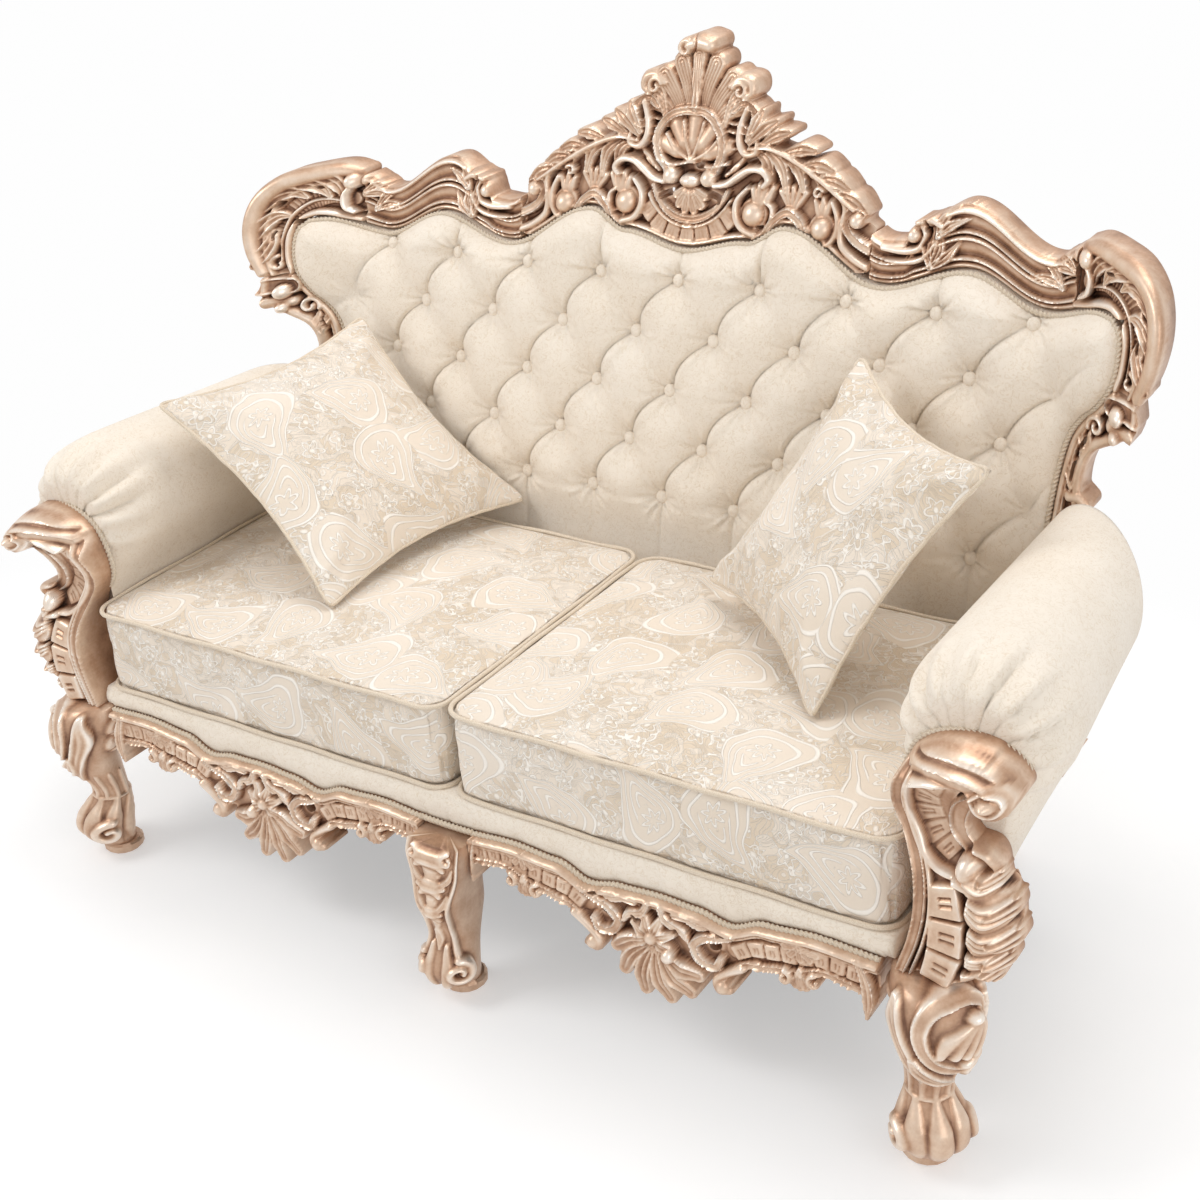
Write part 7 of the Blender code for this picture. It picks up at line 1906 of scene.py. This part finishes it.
def stage(colours):
    """A plain pale floor under soft light, with a white background."""
    mesh = bpy.data.meshes.new("floor")
    mesh.from_pydata([(x * FLOOR_HALF, y * FLOOR_HALF, 0) for x, y in ((-1, -1), (1, -1), (1, 1), (-1, 1))], [],
                     [(0, 1, 2, 3)])
    mesh.materials.append(white_plaster("white_plaster_floor", colours.floor, 0.30))
    floor = linked("floor", mesh)

    scene = bpy.context.scene
    scene.view_settings.view_transform = "Standard"
    world = bpy.data.worlds.new("studio")
    scene.world = world
    world.use_nodes = True
    tree = world.node_tree
    path = add(tree, "ShaderNodeLightPath").outputs
    sockets = work(tree, {"eye": path["Is Camera Ray"], "gloss": path["Is Glossy Ray"],
                          "clear": path["Is Transmission Ray"]}, (
        ("either", "MAXIMUM", "eye", "clear"),
        ("dim", "MULTIPLY", "gloss", 0.85),
        ("seen", "MAXIMUM", "either", "dim"),
        ("strength", "MAXIMUM", "seen", 0.60),
    ))
    ground = tree.nodes["Background"]
    ground.inputs["Color"].default_value = (1.0, 1.0, 1.0, 1.0)
    tree.links.new(sockets["strength"], ground.inputs["Strength"])
    for name, place, target, size, power in (
            ("key_softbox", (-2.2, -2.0, 3.5), (0.0, 0.0, 0.6), 1.5, 50.0),
            ("fill_softbox", (3.4, -1.6, 2.2), (0.0, 0.0, 0.6), 2.2, 27.0),
            ("top_softbox", (0.3, 1.0, 3.6), (0.0, 0.1, 0.7), 1.8, 38.0)):
        data = bpy.data.lights.new(name, "AREA")
        data.shape = "SQUARE"
        data.size = size
        data.energy = power
        lamp = linked(name, data)
        lamp.location = place
        lamp.rotation_euler = (Vector(target) - Vector(place)).to_track_quat("-Z", "Y").to_euler()


# Add-on

def length(name, description, default):
    return bpy.props.FloatProperty(name=name, description=description, default=default, subtype="DISTANCE",
                                   unit="LENGTH")


def colour(name, description, code):
    return bpy.props.FloatVectorProperty(name=name, description=description, default=linear(code), size=4,
                                         min=0.0, max=1.0, subtype="COLOR")


class SofaSizes(bpy.types.PropertyGroup):
    """Sizes that a maker might change."""
    tuft_crown: length("Tuft crown", "Height of the tufted diamonds", 0.026)
    tuft_pit: length("Tuft pit", "How far a button pulls the cloth in", 0.020)
    button_radius: length("Button radius", "Radius of a covered button", 0.0110)
    cord_radius: length("Cord radius", "Radius of the twisted cord", 0.0040)
    cord_lay: length("Cord lay", "Length of one turn of the cord's strands", 0.021)
    piping_radius: length("Piping radius", "Radius of the cushions' piping", 0.0036)
    crown: length("Cushion crown", "Furthest that a seat cushion swells", 0.024)
    puff: length("Pillow puff", "Furthest that a pillow swells", 0.022)


class SofaColours(bpy.types.PropertyGroup):
    """Colours of the sofa and its floor, kept linear behind their sRGB codes."""
    # The five gilt colours run from the recesses to the high edges: the darker ones are painted shade as well as brown
    # wax and toned leaf, the lighter ones a painted highlight as well as leaf and rubbed leaf.
    gilt_wax_and_shade: colour("Gilt wax", "Brown wax in the deepest recesses", "#38241A")
    gilt_shade: colour("Gilt shade", "Leaf toned down in the hollows", "#825E49")
    gilt_leaf: colour("Gilt leaf", "Rose-gold leaf on the flats", "#C29C80")
    gilt_swell_highlight: colour("Gilt light", "Rose-gold leaf on the swells", "#E1C6AE")
    gilt_rubbed_highlight: colour("Gilt rubbed", "Leaf rubbed bright on the high edges", "#FCF1E5")
    weave_dark: colour("Weave dark", "Plain cloth between its figures", "#DAC6AC")
    weave: colour("Weave", "Plain cloth", "#EDDFCC")
    weave_light: colour("Weave light", "Plain cloth on its raised figures", "#F6ECDE")
    figure_dark: colour("Figure dark", "Massed leaves of the jacquard", "#D9C4A8")
    figure_ground: colour("Figure ground", "Ground of the jacquard", "#EDE0D0")
    figure_light: colour("Figure light", "Raised satin lines of the jacquard", "#FAF3E9")
    cord_dark: colour("Cord dark", "Cord between its yarns", "#D3BFA5")
    cord_light: colour("Cord light", "Cord on its yarns", "#EBDECB")
    beech_dark: colour("Beech dark", "Late wood of the inner frame", "#9C7650")
    beech_light: colour("Beech light", "Early wood of the inner frame", "#C9A47A")
    jute_dark: colour("Jute dark", "Webbing between its threads", "#6B4E2E")
    jute_light: colour("Jute light", "Webbing on its threads", "#A98657")
    dust_dark: colour("Dust cloth dark", "Cloth under the seat, in its gaps", "#141414")
    dust_light: colour("Dust cloth light", "Cloth under the seat, on its fibres", "#2B2A29")
    floor: colour("Floor", "Painted floor under the sofa", "#F4F4F4")


class PieceMaker:
    """What the operators that make pieces share: the finishes come first."""

    def execute(self, context):
        finishes(context.scene.sofa_colours)
        self.make(context.scene.sofa_sizes)
        return {"FINISHED"}


class SOFA_OT_crest(PieceMaker, bpy.types.Operator):
    """Carve the crest cartouche"""
    bl_idname = "sofa.crest"
    bl_label = "Crest"

    def make(self, sizes):
        crest()


class SOFA_OT_back_frame(PieceMaker, bpy.types.Operator):
    """Carve the top rails, ear scrolls and stiles round the back"""
    bl_idname = "sofa.back_frame"
    bl_label = "Back frame"

    def make(self, sizes):
        top_rails()
        ear_scrolls()
        stiles()


class SOFA_OT_fronts(PieceMaker, bpy.types.Operator):
    """Carve the arm fronts and the aprons"""
    bl_idname = "sofa.fronts"
    bl_label = "Arm fronts and aprons"

    def make(self, sizes):
        arm_posts()
        aprons()


class SOFA_OT_legs(PieceMaker, bpy.types.Operator):
    """Carve the legs, and finish the seat frame and the inner wood"""
    bl_idname = "sofa.legs"
    bl_label = "Legs and inner frame"

    def make(self, sizes):
        legs()
        inner_frame()


class SOFA_OT_upholstery(PieceMaker, bpy.types.Operator):
    """Upholster the tufted back, the arms, the seat border and the outer back"""
    bl_idname = "sofa.upholstery"
    bl_label = "Upholstery"

    def make(self, sizes):
        tufted_back(sizes)
        arm_pads()
        seat_border()
        outer_back()


class SOFA_OT_cushions(PieceMaker, bpy.types.Operator):
    """Fill the seat cushions and throw pillows"""
    bl_idname = "sofa.cushions"
    bl_label = "Cushions and pillows"

    def make(self, sizes):
        seat_cushions(sizes)
        pillows(sizes)


class SOFA_OT_trims(PieceMaker, bpy.types.Operator):
    """Lay the twisted cord, the piping and the covered buttons"""
    bl_idname = "sofa.trims"
    bl_label = "Cord, piping and buttons"

    def make(self, sizes):
        cords_and_piping(sizes)
        buttons(sizes)


class SOFA_OT_stage(bpy.types.Operator):
    """Set the camera, the floor and the studio light"""
    bl_idname = "sofa.stage"
    bl_label = "Stage"

    def execute(self, context):
        camera()
        stage(context.scene.sofa_colours)
        return {"FINISHED"}


OPERATORS = (SOFA_OT_stage, SOFA_OT_crest, SOFA_OT_back_frame, SOFA_OT_fronts, SOFA_OT_legs, SOFA_OT_upholstery,
             SOFA_OT_cushions, SOFA_OT_trims)


class SOFA_PT_panel(bpy.types.Panel):
    """The sofa's pieces and sizes"""
    bl_idname = "SOFA_PT_panel"
    bl_label = "Carved Two-Seater Sofa"
    bl_space_type = "VIEW_3D"
    bl_region_type = "UI"
    bl_category = "Sofa"

    def draw(self, context):
        for operator in OPERATORS:
            self.layout.operator(operator.bl_idname)
        for group in (context.scene.sofa_sizes, context.scene.sofa_colours):
            for name in type(group).__annotations__:
                self.layout.prop(group, name)


CLASSES = (SofaSizes, SofaColours, SOFA_PT_panel) + OPERATORS


def register():
    for made in CLASSES:
        bpy.utils.register_class(made)
    bpy.types.Scene.sofa_sizes = bpy.props.PointerProperty(type=SofaSizes)
    bpy.types.Scene.sofa_colours = bpy.props.PointerProperty(type=SofaColours)


def unregister():
    del bpy.types.Scene.sofa_colours
    del bpy.types.Scene.sofa_sizes
    for made in reversed(CLASSES):
        bpy.utils.unregister_class(made)


def main():
    register()
    for operator in OPERATORS:
        getattr(bpy.ops.sofa, operator.bl_idname.split(".")[1])()


if __name__ == "__main__":
    main()
